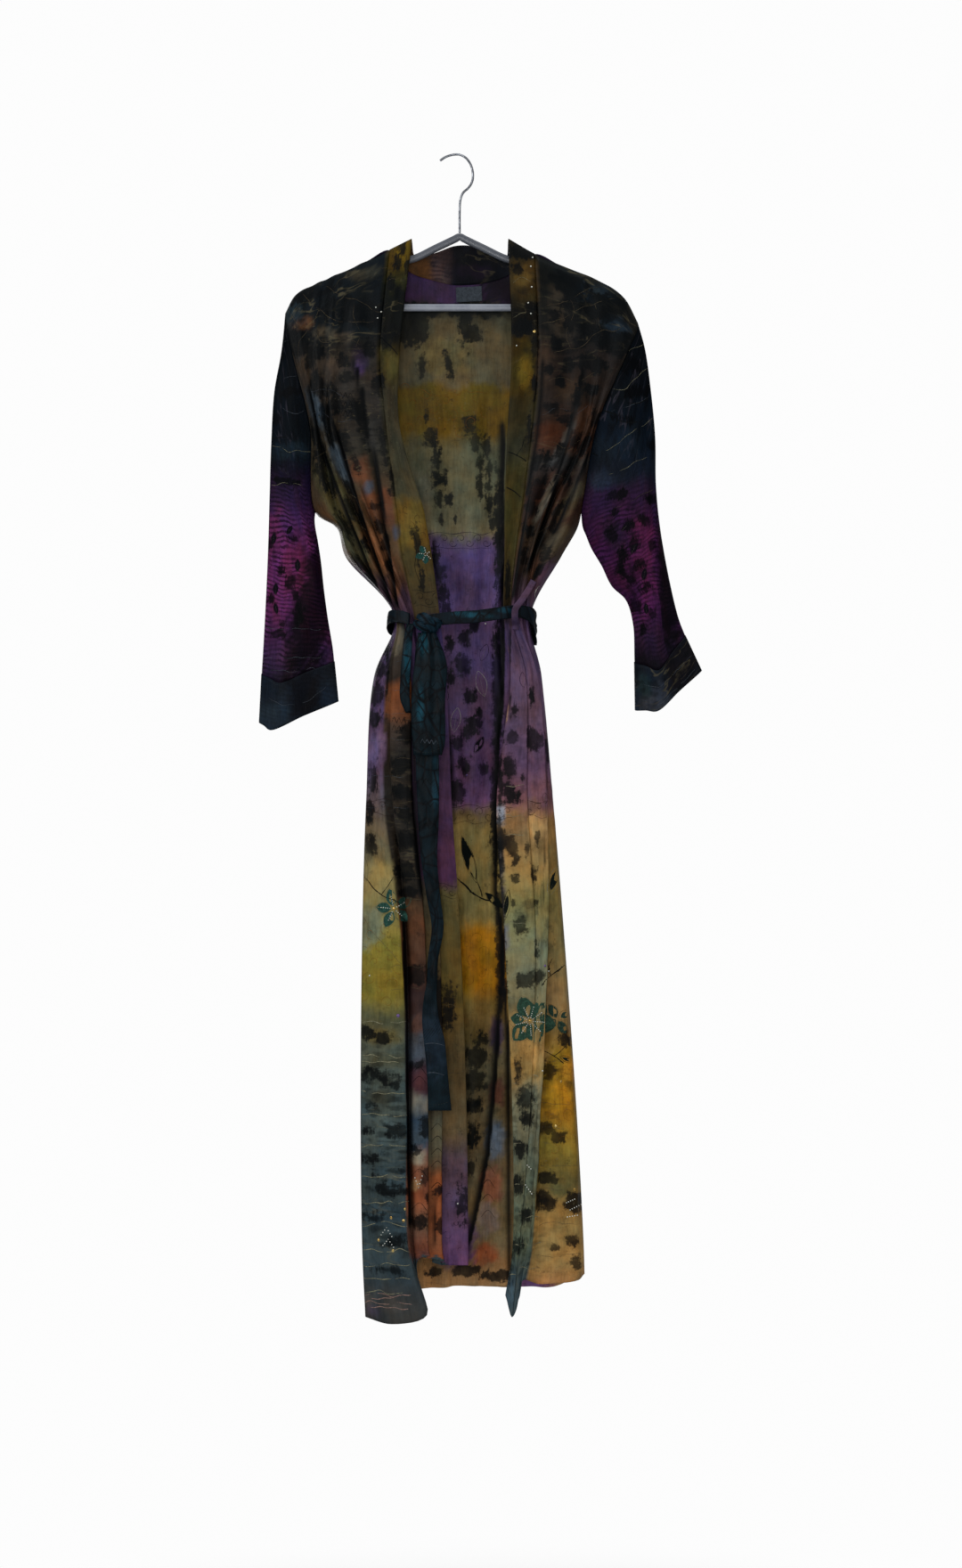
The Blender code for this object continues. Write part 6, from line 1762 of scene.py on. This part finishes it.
class Drawing:
    """Collects ridges and patches on the cloths, with their ink, into one mesh."""

    def __init__(self, name, seed):
        self.name = name
        self.draw = np.random.default_rng(seed)
        self.points, self.faces, self.colours = [], [], []
        self.count = 0

    def keep(self, points, faces, ink):
        self.points.append(points)
        self.faces += [[self.count + corner for corner in face] for face in faces]
        self.colours.append(np.tile(linear(INKS.get(ink, ink)), (len(points), 1)))
        self.count += len(points)

    def line(self, name, ink, width, line, wobble, broken=0.0, dash=None, behind=False, fine=1.4):
        """A line through picture points, a little unsteady, with gaps. dash is (long, gap) in points."""
        knots = np.array(line, float)
        if len(knots) > 2:
            knots = through(knots, [max(2, int(np.linalg.norm(leg) / 3)) for leg in np.diff(knots, axis=0)])
        run = run_along(knots)
        s = np.arange(0, run[-1], fine)
        if len(s) < 4:
            s = np.linspace(0, run[-1], 4)
        px, py = np.interp(s, run, knots[:, 0]), np.interp(s, run, knots[:, 1])
        phase = self.draw.uniform(0, 6, 3)
        py = py + wobble * (np.sin(s / 2.6 + phase[0]) * 0.5 + np.sin(s / 6.1 + phase[1]))
        px = px + wobble * 0.6 * np.sin(s / 4.3 + phase[2])
        shown = np.sin(s / 7.3 + phase[1] * 2) + np.sin(s / 3.1 + phase[0] * 3) > 4 * broken - 2
        if dash:
            shown = s % sum(dash) < dash[0]
        places, normals = laid_on(name, px, py, behind)
        places[~shown] = np.nan
        for a, b in runs_of(places, fine * PICTURE_POINT * 2.6) if not dash else dashes_of(places):
            thick = width * (1 + 0.25 * np.sin(s[a:b] / 5 + phase[2]))
            self.keep(*ridge(places[a:b], normals[a:b], thick), ink)

    def patch(self, name, ink, outline):
        """A filled shape: its outline sunk in the cloth, its middle just proud of it."""
        outline = np.array(outline, float)
        middle = outline.mean(axis=0)
        inner = middle + (outline - middle) * PATCH_INNER
        count = len(outline)
        both = np.concatenate([outline, inner, [middle]])
        places, normals = laid_on(name, both[:, 0], both[:, 1])
        if np.isnan(places).any():
            both = middle + (both - middle) * 0.7
            places, normals = laid_on(name, both[:, 0], both[:, 1])
        if np.isnan(places).any() or np.ptp(places[:, 1]) > PATCH_DEEPEST:
            return
        lift = np.r_[np.full(count, -PATCH_SUNK), np.full(count + 1, PATCH_HEIGHT)]
        points = places + normals * lift[:, None]
        under = places[-1:] - normals[-1:] * PATCH_UNDER
        faces = domed(count)
        spin = ((outline - middle)[:, 0] * np.roll(outline - middle, -1, axis=0)[:, 1]).sum()
        spin -= ((outline - middle)[:, 1] * np.roll(outline - middle, -1, axis=0)[:, 0]).sum()
        if spin > 0:
            faces = [face[::-1] for face in faces]
        self.keep(np.concatenate([points, under]), faces, ink)

    def finish(self, material):
        piece = made(self.name, np.concatenate(self.points), self.faces, material, smooth=False)
        coloured(piece.data, "ink", np.concatenate(self.colours))
        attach(piece, "root")


def dashes_of(places):
    """The runs of places that are shown, for stitches."""
    good = np.concatenate([[False], ~np.isnan(places[:, 0]), [False]])
    starts, ends = np.where(good[1:] & ~good[:-1])[0], np.where(~good[1:] & good[:-1])[0]
    return [(a, b) for a, b in zip(starts, ends) if b - a >= 2]


def leaf(x, y, length, width, lean):
    """A leaf's outline: half its width is sin(pi t)^0.8, from the stalk at x, y to the tip."""
    t = np.linspace(0, 1, 12)
    half = width / 2 * np.sin(np.pi * t) ** 0.8
    a = np.concatenate([t, t[-2:0:-1]]) * length
    b = np.concatenate([half, -half[-2:0:-1]])
    c, s = math.cos(math.radians(lean)), math.sin(math.radians(lean))
    return np.stack([x + a * c - b * s, y + a * s + b * c], axis=1)


def curl(x, y, size, lean, turns):
    """A scroll: a spiral whose radius falls to nothing."""
    t = np.linspace(0, 1, 18)
    angle = math.radians(lean) + 2 * math.pi * turns * t
    radius = size * (1 - t) ** 0.8
    return np.stack([x + radius * np.cos(angle), y + radius * np.sin(angle)], axis=1)


def zigzag(x0, y0, x1, y1, teeth, height):
    """A row of sharp teeth from one point to the other."""
    t = np.linspace(0, 1, 2 * teeth + 1)
    rise = np.where(np.arange(2 * teeth + 1) % 2, -height, 0)
    return np.stack([x0 + (x1 - x0) * t, y0 + (y1 - y0) * t + rise], axis=1)


inked = Recipe("drawn_ink")
uneven = inked.fade(inked.noise(inked.place(), 420.0, 3.0, 0.6), 0.3, 0.7, 0.55, 1.35)
shade = inked.toned(inked.value_of("ink", "Color"), uneven, uneven, uneven)
inked.surface(Base_Color=shade, Roughness=uneven, Specular_IOR_Level=0.08)

tied = Drawing("tied_lines", 201)
# cloth, ink, width, how broken, picture points
TIED_LINES = (
    ("front_right", "tan", 0.8, 0.1,
     ((326, 318), (340, 330), (357, 347), (372, 357), (395, 362), (420, 360))),
    ("front_right", "tan", 0.8, 0.1, ((366, 322), (385, 332), (400, 337), (415, 345), (432, 353))),
    ("front_right", "tan", 0.7, 0.15, ((398, 312), (412, 305), (430, 300), (440, 303))),
    ("front_right", "tan", 0.7, 0.2,
     ((322, 345), (332, 362), (350, 370), (362, 384), (384, 380), (404, 386))),
    ("front_right", "tan", 0.6, 0.25, ((345, 296), (360, 305), (376, 303), (392, 290))),
    ("front_right", "tan", 0.7, 0.2, ((357, 347), (352, 362), (336, 384), (334, 400))),
    ("front_right", "tan", 0.6, 0.2, ((400, 337), (396, 352), (404, 372), (400, 392))),
    ("front_right", "slate", 0.6, 0.25, ((332, 432), (350, 440), (368, 436), (388, 448))),
    ("front_right", "slate", 0.6, 0.3, ((344, 470), (360, 462), (380, 474), (398, 470))),
    ("front_right", "tan", 0.6, 0.3, ((352, 515), (368, 508), (384, 516), (402, 512))),
    ("front_right", "tan", 0.6, 0.3, ((372, 560), (386, 552), (400, 560))),
    ("front_right", "tan", 0.6, 0.3, ((384, 596), (398, 588), (412, 594))),
    ("front_left", "tan", 0.8, 0.1,
     ((606, 398), (624, 396), (640, 391), (655, 388), (675, 370), (692, 372), (705, 362), (716, 366))),
    ("front_left", "tan", 0.8, 0.1, ((602, 366), (624, 360), (645, 350), (668, 340), (690, 336))),
    ("front_left", "tan", 0.7, 0.15, ((612, 345), (640, 336), (660, 325), (684, 316))),
    ("front_left", "tan", 0.7, 0.2, ((640, 391), (636, 372), (645, 350), (640, 336))),
    ("front_left", "tan", 0.7, 0.2, ((675, 370), (670, 352), (668, 340))),
    ("front_left", "tan", 0.7, 0.2, ((610, 430), (630, 424), (650, 428), (668, 418))),
    ("front_left", "slate", 0.6, 0.25, ((608, 466), (624, 458), (646, 464), (660, 455))),
    ("front_left", "tan", 0.6, 0.25, ((600, 500), (618, 496), (636, 502), (652, 494))),
    ("front_left", "tan", 0.6, 0.25, ((592, 598), (606, 596), (616, 590))),
    ("front_left", "tan", 0.6, 0.25, ((598, 535), (612, 538), (626, 532), (640, 538))),
    ("sleeve_left", "pale", 0.8, 0.1, ((690, 402), (700, 398), (718, 388), (731, 380))),
    ("sleeve_left", "pale", 0.8, 0.1, ((676, 430), (700, 437), (722, 416), (734, 408))),
    ("sleeve_left", "pale", 0.8, 0.1, ((680, 506), (694, 497), (710, 485), (732, 470))),
    ("sleeve_left", "pale", 0.8, 0.1, ((684, 534), (704, 524), (733, 510))),
    ("sleeve_left", "slate", 0.6, 0.3, ((686, 462), (702, 456), (718, 452), (736, 440))),
    ("sleeve_left", "slate", 0.6, 0.3, ((700, 356), (712, 350), (724, 352))),
    ("sleeve_left", "tan", 0.6, 0.3, ((690, 572), (712, 560), (738, 548))),
    ("sleeve_right", "pale", 0.8, 0.1, ((300, 498), (312, 501), (324, 508), (336, 505), (350, 508))),
    ("sleeve_right", "pale", 0.8, 0.1, ((294, 545), (308, 545), (320, 541), (340, 546))),
    ("sleeve_right", "slate", 0.7, 0.3, ((308, 380), (318, 384), (330, 380))),
    ("sleeve_right", "slate", 0.7, 0.3, ((304, 420), (318, 425), (336, 420))),
    ("sleeve_right", "slate", 0.7, 0.3, ((302, 462), (314, 458), (328, 464), (344, 460))),
    ("back", "rust", 0.7, 0.3, ((452, 442), (470, 438), (490, 444), (512, 438), (548, 442))),
    ("back", "tan", 0.7, 0.35, ((455, 492), (480, 488), (505, 494), (545, 490))),
    ("back", "tan", 0.6, 0.4, ((500, 1196), (520, 1194), (548, 1200))),
    ("back", "tan", 0.6, 0.4, ((500, 1229), (530, 1232), (550, 1228))),
    ("back", "tan", 0.6, 0.4, ((498, 1262), (524, 1266), (550, 1260))),
    ("back", "tan", 0.6, 0.3, ((470, 1440), (520, 1442), (560, 1444), (600, 1440))),
    ("band_left", "pale", 0.7, 0.3, ((576, 318), (586, 312), (597, 316))),
    ("band_left", "pale", 0.7, 0.3, ((576, 356), (588, 350), (600, 354))),
    ("band_right", "tan", 0.7, 0.3, ((432, 318), (440, 312), (452, 316), (460, 310))),
    ("band_right", "tan", 0.7, 0.3, ((430, 344), (442, 338), (454, 342))),
    ("cuff_right", "slate", 0.7, 0.2, ((298, 780), (320, 792), (346, 786), (368, 770))),
    ("cuff_left", "slate", 0.7, 0.2, ((720, 786), (740, 790), (762, 770), (780, 752))),
    ("cuff_left", "slate", 0.7, 0.2, ((722, 768), (742, 770), (760, 752), (776, 736))),
)
for cloth, ink, width, broken, points in TIED_LINES:
    tied.line(cloth, ink, width, points, broken=broken, wobble=0.9)
# level lines of tying across the skirt: cloth, from x, to x, unevenness, ink, width, heights in the picture
TIED_ROWS = (
    ("front_right", 403, 460, 2.4, "pale", 2.0,
     (1149, 1185, 1192, 1226, 1253, 1287, 1320, 1350, 1374, 1404, 1420, 1435, 1450)),
    ("front_right", 408, 460, 2.6, "pink", 2.2, (1453, 1457, 1463, 1468)),
    ("front_right", 440, 480, 1.2, "tan", 0.75, (806, 831, 852, 877, 900, 930, 958, 985, 1010, 1085, 1110)),
    ("front_right", 410, 456, 1.4, "slate", 0.75, (712, 742, 775, 801, 830, 871, 905)),
    ("front_left", 580, 606, 1.2, "pale", 1.3,
     (1032, 1062, 1092, 1208, 1238, 1286, 1310, 1338, 1366, 1396, 1424)),
    ("band_left", 566, 588, 1.2, "pale", 1.3,
     (882, 915, 938, 1036, 1066, 1120, 1216, 1250, 1284, 1330, 1362, 1398, 1430)),
    ("front_left", 604, 652, 2.0, "tan", 0.75, (1190, 1238, 1266, 1308, 1334, 1374, 1410)),
    ("band_right", 496, 528, 1.4, "tan", 0.75, (1010, 1128, 1150, 1204, 1240, 1268)),
    ("sleeve_right", 290, 366, 1.6, "slate", 0.75, (706, 738, 752)),
)
for cloth, start, stop, uneven_by, ink, width, heights in TIED_ROWS:
    for height in heights:
        steps = np.linspace(start, stop, 6) + tied.draw.uniform(-3, 3, 6)
        points = np.stack([np.sort(steps), height + tied.draw.uniform(-uneven_by, uneven_by, 6)], axis=1)
        tied.line(cloth, ink, width, points, broken=0.14, wobble=1.0)
BACK_ROWS = (
    330, 372, 415, 446, 502, 548, 604, 700, 752, 805, 850,
    905, 965, 1020, 1075, 1130, 1180, 1228, 1290, 1345, 1400,
)
OUTLINE_HEIGHTS = (330, 587, 700, 1440)
OUTLINE_LEFT = (350, 435, 425, 410)
OUTLINE_RIGHT = (690, 598, 604, 645)
for height in BACK_ROWS:
    left = np.interp(height, OUTLINE_HEIGHTS, OUTLINE_LEFT)
    right = np.interp(height, OUTLINE_HEIGHTS, OUTLINE_RIGHT)
    steps = np.linspace(left + 8, right - 8, 9)
    points = np.stack([steps, height + tied.draw.uniform(-4, 4, 9)], axis=1)
    tied.line("back", "tan", 0.7, points, broken=0.35, wobble=0.9, behind=True)
tied.finish(inked.material)

brush = Drawing("brushed_scrolls_and_twigs", 202)
# cloth, ink, width, picture points
BRUSH_LINES = (
    ("right", "dark", 3.2, ((411, 985), (418, 996), (428, 1004), (445, 1012), (456, 1020))),
    ("right", "dark", 2.6, ((428, 1004), (436, 994), (442, 984))),
    ("right", "tan", 0.9, ((408, 1030), (420, 1048), (440, 1070), (452, 1084))),
    ("back", "dark", 4.4, ((513, 985), (522, 994), (530, 1002), (541, 1008), (552, 1012))),
    ("back", "dark", 3.4, ((536, 990), (540, 1000), (541, 1008))),
    ("left", "dark", 3.2, ((608, 1106), (616, 1097), (626, 1090), (640, 1078))),
    ("left", "dark", 2.6, ((618, 1096), (616, 1086), (621, 1074))),
    ("left", "dark", 3.0, ((610, 1180), (620, 1184), (634, 1194))),
    ("left", "dark", 2.4, ((622, 1185), (630, 1180), (637, 1172))),
    ("left", "dark", 3.2, ((570, 507), (580, 511), (591, 518))),
    ("left", "dark", 3.2, ((568, 547), (577, 551), (586, 559))),
    ("left", "dark", 2.0, ((580, 511), (586, 502), (588, 492))),
    ("right", "dark", 3.2, ((427, 378), (433, 384), (440, 390), (447, 398))),
    ("right", "dark", 1.4, ((462, 592), (468, 612), (466, 636), (474, 662))),
    ("sleeve_left", "dark", 3.2, ((676, 460), (686, 464), (694, 466))),
    ("sleeve_left", "dark", 3.2, ((692, 470), (704, 474), (716, 474))),
    ("sleeve_left", "dark", 3.2, ((706, 452), (718, 452), (730, 447))),
    ("sleeve_left", "dark", 3.2, ((662, 505), (667, 510), (673, 513))),
    ("sleeve_right", "dark", 3.2, ((296, 487), (308, 492), (322, 490))),
)
for cloth, ink, width, points in BRUSH_LINES:
    brush.line(cloth, ink, width, points, wobble=0.4)
# rows of scroll work: cloth, from x, to x, height in the picture, size of a curl, ink
SCROLL_ROWS = (
    ("back", 470, 552, 607, 5.0, "violet"), ("back", 486, 552, 914, 5.5, "brown"),
    ("front_left", 576, 614, 908, 5.0, "brown"), ("band_right", 462, 500, 672, 5.0, "dark"),
    ("front_right", 404, 440, 906, 4.5, "brown"), ("band_left", 562, 576, 912, 4.0, "brown"),
    ("band_right", 492, 518, 1000, 4.0, "dark"),
)
for cloth, start, stop, height, size, ink in SCROLL_ROWS:
    for k, x in enumerate(np.arange(start, stop, size * 1.9)):
        scroll = curl(x, height + (-1) ** k * size * 0.5, size, 180 * (k % 2), 1.2)
        brush.line(cloth, ink, 1.2, scroll, wobble=0.2)
    steps = np.linspace(start, stop, 8)
    for width, above, length in ((1.3, -1.7, 5), (0.8, 1.7, 4)):
        border = height + size * above + 1.6 * np.sin(steps / length)
        brush.line(cloth, ink, width, np.stack([steps, border], axis=1), wobble=0.4)
# loose swirls on the ochre grounds: cloth, box of the picture, how many, size, ink
SWIRLS = (
    ("back", (456, 434, 548, 486), 15, 7.0, "rust"),
    ("front_right", (406, 1032, 450, 1128), 15, 7.0, "rust"),
    ("back", (514, 1042, 550, 1112), 9, 7.0, "rust"),
    ("front_left", (616, 1184, 648, 1296), 11, 6.5, "rust"),
    ("band_right", (444, 272, 460, 306), 3, 4.5, "brown"),
    ("band_left", (577, 390, 598, 440), 5, 5.0, "brown"),
    ("band_right", (456, 566, 478, 606), 4, 5.0, "brown"),
    ("front_right", (372, 436, 398, 470), 5, 4.5, "dark"),
    ("sleeve_right", (296, 585, 340, 690), 12, 5.0, "dark"),
    ("sleeve_left", (690, 590, 740, 700), 12, 5.0, "dark"),
    ("front_left", (624, 340, 690, 470), 9, 5.0, "dark"),
    ("band_right", (500, 1305, 524, 1410), 7, 4.5, "violet"),
)
for cloth, (x0, y0, x1, y1), count, size, ink in SWIRLS:
    for k in range(count):
        place = x0 + (x1 - x0) * ((k * 0.618) % 1), y0 + (y1 - y0) * (k + 0.5) / count
        lean, scale = brush.draw.uniform(0, 360), brush.draw.uniform(0.7, 1.3)
        swirl = curl(*place, size * scale, lean, brush.draw.uniform(0.7, 1.3))
        brush.line(cloth, ink, 0.7, swirl, wobble=0.3, broken=0.08)
# tooth rows on the inner strips and the belt: cloth, from, to, teeth, height, ink, heights repeated
TOOTH_ROWS = (
    ("front_right", 374, 396, 4, 7, "dark", (446, 456, 466)),
    ("front_right", 440, 456, 3, 7, "dark", (811, 820)),
    ("front_right", 484, 499, 1, 8, "dark", (1268, 1282, 1296, 1310, 1334)),
    ("back", 540, 556, 1, 9, "dark", (1316, 1332, 1348, 1366)),
    ("belt_end", 464, 496, 3, 8, "dark", (735, 752, 770, 788, 806)),
    ("belt_tail", 474, 492, 2, 7, "dark", (880, 905, 930, 1060)),
    ("front_right", 462, 480, 1, 9, "dark", (1206, 1216, 1320, 1358)),
    ("front_left", 606, 628, 3, 7, "dark", (512, 528, 546)), ("belt_end", 472, 492, 4, 5, "slate", (834,)),
    ("belt_tail", 474, 500, 1, 2, "slate", (1172, 1205)),
)
for cloth, start, stop, teeth, tall, ink, heights in TOOTH_ROWS:
    for height in heights:
        brush.line(cloth, ink, 1.4, zigzag(start, height, stop, height + 2, teeth, tall), wobble=0.15)
# leaves: cloth, x, y, length, width, lean, filling or none, outline ink
LEAVES = (
    ("right", 406, 955, 34, 7, 80, "0f1814", "dark"), ("back", 518, 938, 56, 12, 72, "0c1210", "dark"),
    ("back", 566, 1020, 28, 9, -140, "0c1210", "dark"), ("left", 616, 1006, 38, 12, -72, "0f1814", "pale"),
    ("left", 566, 1034, 36, 8, -82, "0c1210", "dark"), ("back", 544, 782, 30, 12, -104, None, "white"),
    ("back", 509, 822, 28, 11, -80, None, "white"), ("back", 532, 846, 22, 9, -60, "17131c", "dark"),
    ("left", 606, 680, 22, 10, -92, None, "white"), ("left", 638, 1080, 24, 8, -40, "0f1814", "dark"),
    ("left", 628, 1186, 18, 6, 20, "15221a", "dark"), ("left", 588, 772, 18, 7, -96, None, "violet"),
    ("back", 496, 792, 18, 8, -70, None, "violet"), ("back", 540, 742, 20, 9, -70, None, "violet"),
    ("left", 612, 902, 12, 6, -90, None, "brown"), ("sleeve_right", 306, 612, 15, 6, -80, "0d0812", "dark"),
    ("sleeve_right", 334, 642, 15, 6, -90, "0d0812", "dark"),
    ("sleeve_right", 309, 668, 14, 6, -86, "0d0812", "dark"),
    ("sleeve_right", 311, 690, 14, 5, -100, "0d0812", "dark"),
    ("sleeve_right", 322, 600, 12, 5, -60, "0d0812", "dark"),
    ("sleeve_right", 300, 640, 12, 5, -70, "0d0812", "dark"),
    ("sleeve_left", 708, 622, 15, 6, -60, "0d0812", "dark"),
    ("sleeve_left", 722, 652, 15, 6, -80, "0d0812", "dark"),
    ("sleeve_left", 726, 690, 14, 5, -96, "0d0812", "dark"),
    ("sleeve_left", 698, 596, 12, 5, -50, "0d0812", "dark"),
)
for cloth, x, y, length, width, lean, filling, ink in LEAVES:
    outline = leaf(x, y, length, width, lean)
    if filling:
        brush.patch(cloth, filling, outline)
    brush.line(cloth, ink, 1.2, np.concatenate([outline, outline[:1]]), wobble=0.2)
    turn = math.radians(lean)
    rib = [(x + length * t * math.cos(turn), y + length * t * math.sin(turn)) for t in (0, 0.4, 0.8)]
    brush.line(cloth, "white" if ink == "white" else "pale", 0.5, rib, wobble=0.2)
# flowers: cloth, x, y, petal length, petal width, petals, first lean, filling, outline ink
FLOWERS = (
    ("left", 595, 1146, 28, 21, 6, 10, "2b4437", "tan"),
    ("right", 442, 1020, 22, 13, 5, -30, "27483f", "tan"),
    ("right", 478, 622, 12, 8, 5, 20, "1d413c", "tan"),
    ("left", 626, 1144, 18, 11, 4, 60, "26392f", "dark"),
)
for cloth, x, y, length, width, petals, lean, filling, ink in FLOWERS:
    for k in range(petals):
        outline = leaf(x, y, length * (1 - 0.12 * (k % 2)), width, lean + 360 / petals * k)
        outline = outline + (outline.mean(axis=0) - (x, y)) * 0.16
        brush.patch(cloth, filling, outline)
        brush.line(cloth, ink, 0.6, np.concatenate([outline, outline[:1]]), wobble=0.2)
brush.finish(inked.material)

thread = Drawing("seam_stitches", 203)
STITCH = {"wobble": 0.0, "dash": (2.1, 1.0), "fine": 0.7}
HEM_LINE = ((420, 1462), (470, 1440), (530, 1436), (590, 1436), (640, 1424))
STITCH_LINES = (
    ("front_right", ((446, 1041), (445, 1080), (447, 1206), (448, 1300), (450, 1357), (462, 1413),
      (467, 1434), (471, 1474))),
    ("front_right", ((410, 1466), (424, 1470), (440, 1474), (462, 1477))),
    ("front_left", ((578, 1101), (582, 1178), (584, 1234), (586, 1300), (586, 1400), (585, 1427))),
    ("front_left", ((592, 1424), (612, 1428), (632, 1428), (650, 1424))),
    ("band_right", ((457, 276), (456, 340), (455, 400), (459, 470), (468, 560), (480, 640), (490, 686))),
    ("band_right", ((431, 290), (430, 340), (430, 378), (434, 440), (442, 520), (450, 600), (459, 690))),
    ("band_right", ((502, 720), (508, 850), (514, 1000), (522, 1150), (524, 1300), (525, 1400))),
    ("band_left", ((575, 276), (576, 340), (575, 400), (571, 480), (568, 560), (567, 640))),
    ("band_left", ((598, 282), (598, 360), (594, 440), (589, 520), (580, 600), (573, 670))),
    ("band_left", ((574, 720), (569, 800), (562, 900), (558, 1000), (566, 1120), (574, 1240), (574, 1400))),
    ("back", HEM_LINE), ("cuff_right", ((294, 748), (304, 752), (318, 762), (340, 752), (368, 738))),
    ("cuff_left", ((716, 742), (736, 748), (752, 728), (766, 712))),
    ("sleeve_right", ((296, 745), (304, 748), (318, 757), (340, 747), (368, 733))),
    ("belt_carrier_left", ((575, 694), (580, 696))), ("belt_carrier_left", ((594, 652), (600, 655))),
    ("belt_end", ((465, 842), (478, 845), (494, 840))),
    ("belt_tail", ((476, 1238), (490, 1240), (504, 1237))),
)
BEHIND_LINES = (
    ("back", HEM_LINE),
    ("neckband_back", ((456, 290), (480, 284), (520, 278), (560, 288))),
)
for rows, behind in ((STITCH_LINES, False), (BEHIND_LINES, True)):
    for cloth, points in rows:
        thread.line(cloth, "thread", 0.5, points, behind=behind, **STITCH)
thread.finish(inked.material)

# Beads and sequins
# Glass seed beads and flat sequins, sewn down one by one along the flowers and on a few tied lines.
BEAD_SIDES = 8
BEAD_HEIGHT = 1.3
SHOULDER_WIDTH, SHOULDER_HEIGHT = 0.8, 0.62


def beads(name, rows, material):
    """Low domes with eight sides: a row is (cloth, x, y, radius, height) with sizes in millimetres."""
    a = np.linspace(0, 2 * np.pi, BEAD_SIDES, endpoint=False)
    points, faces = [], []
    for cloth, x, y, radius, tall in rows:
        places, normals = laid_on(cloth, np.array([x], float), np.array([y], float))
        if np.isnan(places).any():
            continue
        up = normals[0]
        one = np.cross(up, (0.0, 0.0, 1.0))
        one /= np.linalg.norm(one)
        other = np.cross(up, one)
        ring = np.cos(a)[:, None] * one + np.sin(a)[:, None] * other
        base = places[0] - up * 0.1
        start = sum(len(group) for group in points)
        middle = base + ring * radius * SHOULDER_WIDTH + up * tall * SHOULDER_HEIGHT
        points.append(np.concatenate([base + ring * radius, middle, [base + up * tall], [base - up * 0.2]]))
        corners = domed(BEAD_SIDES)
        if np.dot(np.cross(one, other), up) < 0:
            corners = [corner[::-1] for corner in corners]
        faces += [[start + c for c in corner] for corner in corners]
    piece = made(name, np.concatenate(points), faces, material)
    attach(piece, "root")


def bead_glass(name, low, high, metallic, roughness):
    """Glass or foil with a slightly uneven tint."""
    n = Recipe(name)
    tint = n.noise(n.place(), 300.0, 2.0)
    colour = n.dyed(n.fade(tint, 0.35, 0.65), (*linear(low), 1), high)
    rough = n.fade(tint, 0.3, 0.7, roughness, roughness + 0.12)
    return n.surface(Base_Color=colour, Roughness=rough, Metallic=metallic)


def bead_row(cloth, x0, y0, x1, y1, count, radius):
    """Seed beads evenly along a short line."""
    shares = [k / (count - 1) for k in range(count)]
    return [(cloth, x0 + (x1 - x0) * t, y0 + (y1 - y0) * t, radius, BEAD_HEIGHT) for t in shares]


# bead rays of the flowers: cloth, centre x, y, from and to this far, beads in a ray, first lean, rays
BEAD_RAYS = (
    ("left", 595, 1146, 4, 16, 6, 5, 9),
    ("right", 442, 1020, 4, 14, 5, -30, 5),
    ("band_right", 478, 622, 2, 7, 3, -30, 5),
)
white_rows = []
for cloth, x, y, near, far, count, first_lean, rays in BEAD_RAYS:
    for k in range(rays):
        lean = math.radians(first_lean + 360 / rays * k)
        c, s = math.cos(lean), math.sin(lean)
        white_rows += bead_row(cloth, x + near * c, y + near * s, x + far * c, y + far * s, count, 0.7)
# cloth, from x, y, to x, y, beads
BEAD_LINES = (
    ("front_right", 428, 1386, 434, 1378, 4), ("front_right", 434, 1378, 440, 1388, 4),
    ("front_right", 430, 1398, 436, 1391, 4), ("front_right", 436, 1391, 442, 1400, 4),
    ("front_left", 636, 1350, 645, 1346, 5), ("front_left", 640, 1358, 652, 1352, 6),
    ("front_left", 637, 1366, 648, 1364, 5), ("front_left", 588, 1304, 596, 1312, 5),
    ("front_left", 590, 1330, 597, 1340, 5), ("front_right", 466, 1322, 470, 1333, 4),
    ("front_right", 474, 1320, 470, 1333, 4),
)
for row in BEAD_LINES:
    white_rows += bead_row(*row, 0.8)
WHITE_SPOTS = (
    ("band_left", 598, 289), ("band_left", 596, 299), ("band_left", 597, 322), ("band_left", 593, 340),
    ("band_left", 596, 352), ("band_left", 580, 388), ("right", 422, 345), ("right", 428, 350),
    ("right", 424, 357), ("front_right", 415, 1095), ("front_right", 408, 752), ("back", 545, 700),
    ("front_left", 609, 1202), ("front_left", 616, 1090), ("band_right", 514, 1351),
)
white_rows += [(cloth, x, y, 1.1, 1.4) for cloth, x, y in WHITE_SPOTS]
beads("glass_seed_beads", white_rows, bead_glass("white_glass", "b8bbb4", "e6e6dc", 0.0, 0.15))
SEQUINS = (
    ("front_right", 455, 1357), ("front_right", 453, 1370), ("front_right", 439, 1367),
    ("front_right", 441, 1404), ("front_right", 425, 1392), ("front_left", 624, 1264), ("left", 600, 682),
    ("left", 595, 1146), ("right", 442, 1020), ("front_left", 645, 1335), ("front_left", 630, 1214),
    ("band_left", 600, 372),
)
beads(
    "gold_sequins", [(cloth, x, y, 2.1, 0.5) for cloth, x, y in SEQUINS],
    bead_glass("gold_foil", "a8803a", "dcc07a", 0.8, 0.2),
)
beads(
    "violet_beads", [("front_right", 447, 1140, 2.4, 1.4), ("front_left", 612, 1084, 1.6, 1.2),
     ("back", 524, 870, 1.5, 1.2)],
    bead_glass("violet_glass", "5a3f78", "8a6fae", 0.0, 0.15),
)

size = {"cad": cad_box, "visual": [list(corner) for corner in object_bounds()]}
